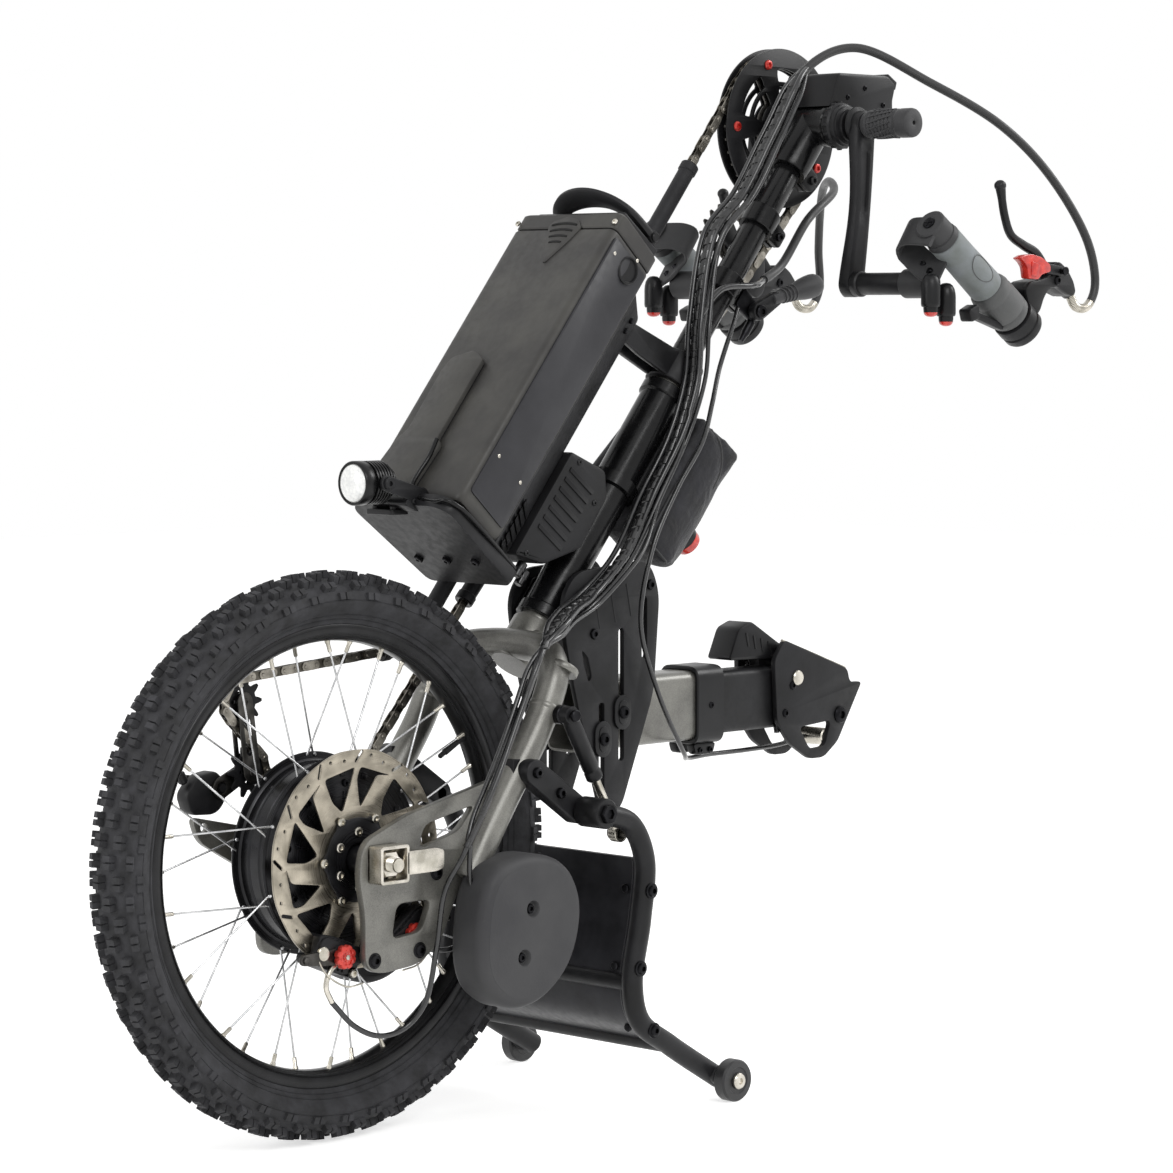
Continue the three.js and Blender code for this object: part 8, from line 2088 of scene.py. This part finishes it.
def derailleur():
    pivot = (68, 318)
    jockeys = (("upper", UPPER_JOCKEY), ("lower", LOWER_JOCKEY))
    for name, centre in jockeys:
        holes = [ring_shape(1.7, 12, *polar_place(9, TURN * i / 5, centre)) for i in range(5)]
        wheel = Body().plate([cog_outlines(10, 3.6, 5, centre)[0], *holes, ring_shape(2.9, 20, *centre)], -59, -57,
                             bevel=0.2)
        wheel.turned([(2.9, -60.8), (6, -60.8), (6.6, -60), (6.6, -56), (6, -55.2), (2.9, -55.2)],
                     on_side(*centre, 0), sides=28, ring=True)
        piece(f"jockey_{name}", wheel, SATIN_PLASTIC, f"pulley_{name}", f"pulley_{name}", angle=30)
    link = link_shape(LOWER_JOCKEY, UPPER_JOCKEY, 9.4, 8.6, 12)
    window = link_shape((43.4, 350), (46.6, 376), 4.2, steps=8)
    cage = Body().plate([link, window], -53.4, -51.6, bevel=0.5).plate([link, window], -64.4, -62.6, bevel=0.5)
    cage.plate([link_shape(LOWER_JOCKEY, pivot, 9, 10, 12), ring_shape(5.2, 24, *pivot)], -64.4, -62.4, bevel=0.5)
    for _, centre in jockeys:
        cage.turned([(2.5, -62.8), (2.5, -53)], on_side(*centre, 0), sides=20)
        cage.screw(*centre, -64.2, -66.2, 3.6)
        cage.screw(*centre, -51.8, -50.2, 3.6)
    piece("derailleur_cage_plates", cage, DARK_STEEL, "cage", "derailleur_cage", angle=32)
    outline = flat_shape(spread((
        (0, 0.6), (0.26, 1), (0.7, 0.92), (1, 0.5), (0.86, 0.04), (0.3, 0), (0.1, 0.2),
    ), 50, 40, 58, 294), 7, 6)
    shell = Body().plate([outline], -80.8, -64.9, bevel=2.4)
    raised = flat_shape([(66, 306), (98, 310), (102, 318), (94, 326), (70, 326), (64, 316)], 4, 5)
    shell.plate([raised], -82.4, -79, bevel=1.2)
    for x, z, radius in ((*pivot, 6.4), (97, 311, 4.6), (92, 326, 4.2)):
        shell.turned([(radius, -84), (radius, -80)], (x, 0, z), sides=32)
        shell.screw(x, z, -83.6, -86, radius * 0.86)
    shell.turned([(3.9, -72), (3.9, -61)], on_side(*pivot, 0), sides=24)
    shell.turned([(3, -2), (4.6, 0), (4.6, 8), (3.4, 9), (3.4, 14), (2.4, 16)], (104, -73, 326), (0.5, 0, 0.86), 20)
    piece("derailleur_shell", shell, BLACK_COAT, "derailleur", "derailleur_body", angle=35)


def release():
    """The lever that lets the docking latch go: a cranked plate with a soft ball-ended handle."""
    pivot = (-40, -205)
    elbow = (pivot[0] - 12, pivot[1] + 26)
    knob = (elbow[0] - 34, elbow[1] + 44)
    plate = Body().plate([link_shape(pivot, elbow, 9, 7, 12), ring_shape(4.4, 24, *pivot)], 12, 21, on_mast_side, 1.2)
    piece("release_plate", plate, BLACK_COAT, "release", "release_lever", angle=32)
    first, last = Vector(mast_place(elbow[0], -elbow[1], 16.5)), Vector(mast_place(knob[0], -knob[1], 16.5))
    way = (last - first).normalized()
    length = (last - first).length
    grip = Body().turned([
        (5, -6), (6.6, -5), (6.8, 4), (6.2, 8), (6.4, 14), (7.6, 24), (9.4, 34), (11, 42), (11.8, length - 6),
        (12, length), (11.6, length + 4), (10, length + 8), (7, length + 10.6), (3, length + 11.8), (0.6, length + 12),
    ], first, way, 56)
    for i in range(4):
        at = 10 + i * 5
        grip.turned([(6.6, at), (7.4 + i * 0.4, at + 0.6), (7.4 + i * 0.4, at + 2), (6.8, at + 2.6)], first, way, 40)
    piece("release_grip", grip, GRIP_DARK, "release", angle=50)
    foot = flat_shape([(-16, -194), (-50, -196), (-52, -204), (-48, -214), (-16, -216)], 4, 5)
    seat, pin = Body().plate([foot], 5.7, 11.6, on_mast_side, 1.0), on_mast_side(*pivot, 0)
    seat.turned([(3.8, 6), (3.8, 22.4)], pin, sides=24)
    seat.turned([(6.6, 21.3), (6.6, 23.4), (5.4, 24.6), (3, 24.6), (2.8, 22.8)], pin, sides=24)
    seat.turned([(3, -4), (4.4, -2), (4.4, 12), (3.6, 14), (2.6, 22)], mast_place(-46, 216, 9), MAST_DOWN, 20)
    piece("release_seat", seat, BLACK_SCREW, "mast_top", angle=32)


# The bag behind the head tube and its red lamp
# Each level down the mast: how far back the drawn out corners and the middle of the back stand
BAG_LEVELS = ((345, -91, -88), (352, -89, -96), (378, -80, -99), (424, -77, -100), (462, -76, -98), (482, -77, -92),
              (489, -77, -80))
BAG_SEAMS = (
    ((-40, 349), (-39, 372), (-38, 420), (-38, 462), (-38, 484)),
    ((-47, 346), (-58, 353), (-70, 364), (-79, 378), (-81, 392)),
    ((-36, 483), (-56, 486), (-76, 487)),
)


def bag_start():
    """The bag before it is filled: a box a little small all round, with its rear corners drawn out."""
    rows = []
    for below, corner, back in BAG_LEVELS:
        plan = [(-28, 37), (-52, 40), (corner, 41), (back, 25), (back, -4), (corner, -20), (-52, -19), (-28, -17)]
        rows.append([mast_place(forward, below - (0 if y > 0 else 5), y) for forward, y in plan])
    return Body().rows(rows)


def filled(shape, held, most):
    """A soft shape blown up as a packed bag is: cloth under pressure, sewn down where held says so."""
    scene = bpy.context.scene
    mesh = bpy.data.meshes.new("soft form")
    mesh.from_pydata([[c * MM for c in p] for p in shape.points], [], shape.faces)
    form = bpy.data.objects.new("soft form", mesh)
    scene.collection.objects.link(form)
    even = form.modifiers.new("even cloth", "REMESH")
    even.mode = "VOXEL"
    even.voxel_size = 5 * MM
    start = bpy.data.meshes.new_from_object(form.evaluated_get(bpy.context.evaluated_depsgraph_get()))
    form.modifiers.clear()
    form.data = start
    places = [v.co.copy() for v in start.vertices]
    sewn = form.vertex_groups.new(name="sewn down")
    sewn.add([v.index for v in start.vertices if held(v.co / MM)], 1.0, "ADD")
    cloth = form.modifiers.new("filling", "CLOTH")
    cloth.settings.use_pressure = True
    cloth.settings.uniform_pressure_force = 4.0
    cloth.settings.effector_weights.gravity = 0.0
    cloth.settings.vertex_group_mass = sewn.name
    cloth.point_cache.frame_end = 20
    for frame in range(1, 21):
        scene.frame_set(frame)
    blown = form.evaluated_get(bpy.context.evaluated_depsgraph_get()).data
    for i, vertex in enumerate(blown.vertices):
        step = vertex.co - places[i]
        places[i] = places[i] + step * min(1.0, most * MM / max(step.length, 1e-9))
    form.modifiers.clear()
    scene.frame_set(1)
    made = Body()
    made.add([p / MM for p in places], [tuple(p.vertices) for p in start.polygons])
    bpy.data.objects.remove(form)
    return made


def on_skin(shape, route, lift):
    """A line drawn in the bag's side view, laid on the skin of its left side."""
    tree = BVHTree.FromPolygons([Vector(p) for p in shape.points], shape.faces)
    laid = []
    for place in smooth_route([mast_place(forward, below, 90) for forward, below in route], 5):
        hit = tree.ray_cast(place, Vector((0, -1, 0)), 80)[0]
        if hit:
            laid.append(hit + Vector((0, lift, 0)))
    return laid


def bag():
    full = filled(bag_start(), lambda p: (p - Vector(mast_place(0, 0))).dot(MAST_FORWARD) > -32, 7)
    # The stitching pulls the cloth in along each seam
    for route in BAG_SEAMS:
        line = on_skin(full, route, 0)
        for i, point in enumerate(full.points):
            near = min(((Vector(point) - p).length for p in line), default=99)
            if near < 14:
                full.points[i] = Vector(point) - Vector((0, 2.2 * math.exp(-((near / 5) ** 2)), 0))
    thing = piece("tool_bag", full, BAG_CLOTH, "coupling", "bag", level=1, angle=180)
    seams = Body()
    for route in BAG_SEAMS:
        line = on_skin(full, route, -0.1)
        if len(line) > 3:
            seams.tube(line, 1.3, 8)
    piece("bag_piping", seams, BAG_PIPING, "coupling", angle=60)
    pad = Body().block((-33, -10, 378), (-19.5, 10, 442), on_mast_plan)
    piece("bag_mount", pad, BAG_PIPING, "coupling", bevel=2.0, segments=3)


def tail_lamp():
    at, back = mast_place(-104.5, 438, 10), -MAST_FORWARD
    lens = Body().turned([
        (12.6, -0.8), (13.6, -0.4), (13.6, 5.4), (12.6, 7.6), (9, 8.8), (4, 9), (0.6, 9.1),
    ], at, back, 56)
    for i in range(3):
        radius = 10.4 - i * 3
        lens.turned([
            (radius, 8.2 + 0.1 * i), (radius - 0.4, 9.3), (radius - 1, 9.3), (radius - 1.4, 8.4),
        ], at, back, 48)
    piece("tail_lens", lens, RED_PLASTIC, "coupling", "tail_light", angle=40)
    rim = Body().turned([(9, -7), (13, -7), (14.2, -6.4), (14.2, -1.2), (13.4, -0.6), (11, -0.6)], at, back, 56)
    piece("tail_rim", rim, SATIN_PLASTIC, "coupling")


chain_tubes(chain())
derailleur()
release()
bag()
tail_lamp()


# Floor and light
def seen_rays(tree):
    """One for what the camera sees straight on, in a reflection or through glass, and nought for light."""
    rays = put(tree, "ShaderNodeLightPath")
    seen = put(
        tree, "ShaderNodeMath", {"operation": "MAXIMUM"},
        {0: rays.outputs["Is Camera Ray"], 1: rays.outputs["Is Glossy Ray"]},
    )
    return put(
        tree, "ShaderNodeMath", {"operation": "MAXIMUM"}, {0: seen.outputs[0], 1: rays.outputs["Is Transmission Ray"]},
    ).outputs[0]


def pale_ground():
    """A plain floor that shows white to the camera and in reflections, and keeps the shadow."""
    material = bpy.data.materials.new("plain white floor")
    material.use_nodes = True
    tree = material.node_tree
    shader = tree.nodes["Principled BSDF"]
    shader.inputs["Base Color"].default_value = linear("f4f4f3")
    shader.inputs["Roughness"].default_value = 0.9
    shader.inputs["Specular IOR Level"].default_value = 0.05
    glow = put(tree, "ShaderNodeEmission", {"Color": linear("ffffff"), "Strength": 0.62})
    both = put(tree, "ShaderNodeAddShader", {}, {0: shader.outputs[0], 1: glow.outputs[0]})
    mixed = put(tree, "ShaderNodeMixShader", {}, {0: seen_rays(tree), 1: shader.outputs[0], 2: both.outputs[0]})
    tree.links.new(mixed.outputs[0], tree.nodes["Material Output"].inputs[0])
    return material


bpy.ops.mesh.primitive_plane_add(size=16, location=(-0.3, 0, 0))
floor = bpy.context.object
floor.name = "floor"
floor.data.materials.append(pale_ground())


def studio():
    world = bpy.data.worlds.new("plain studio")
    bpy.context.scene.world = world
    world.use_nodes = True
    tree = world.node_tree
    tree.nodes.clear()
    lit = put(tree, "ShaderNodeBackground", {"Color": linear("ffffff"), "Strength": 0.5})
    shown = put(tree, "ShaderNodeBackground", {"Color": linear("ffffff"), "Strength": 1.0})
    mixed = put(tree, "ShaderNodeMixShader", {}, {0: seen_rays(tree), 1: lit.outputs[0], 2: shown.outputs[0]})
    put(tree, "ShaderNodeOutputWorld", {}, {0: mixed.outputs[0]})


def lamp(name, place, aim, width, power):
    data = bpy.data.lights.new(name, "AREA")
    data.shape = "RECTANGLE"
    data.size, data.size_y = width
    data.energy = power
    thing = bpy.data.objects.new(name, data)
    thing.location = place
    thing.rotation_euler = (Vector(aim) - Vector(place)).to_track_quat("-Z", "Y").to_euler()
    bpy.context.scene.collection.objects.link(thing)


studio()
lamp("key light", (1.2, 3.4, 3.0), (-0.3, 0, 0.5), (2.2, 1.6), 70)
lamp("side light", (3.6, -1.2, 1.6), (-0.3, 0, 0.5), (1.4, 2.2), 40)
lamp("back light", (-3.2, 1.6, 2.6), (-0.4, 0, 0.6), (1.8, 1.2), 55)

bpy.context.scene.view_settings.view_transform = "Standard"
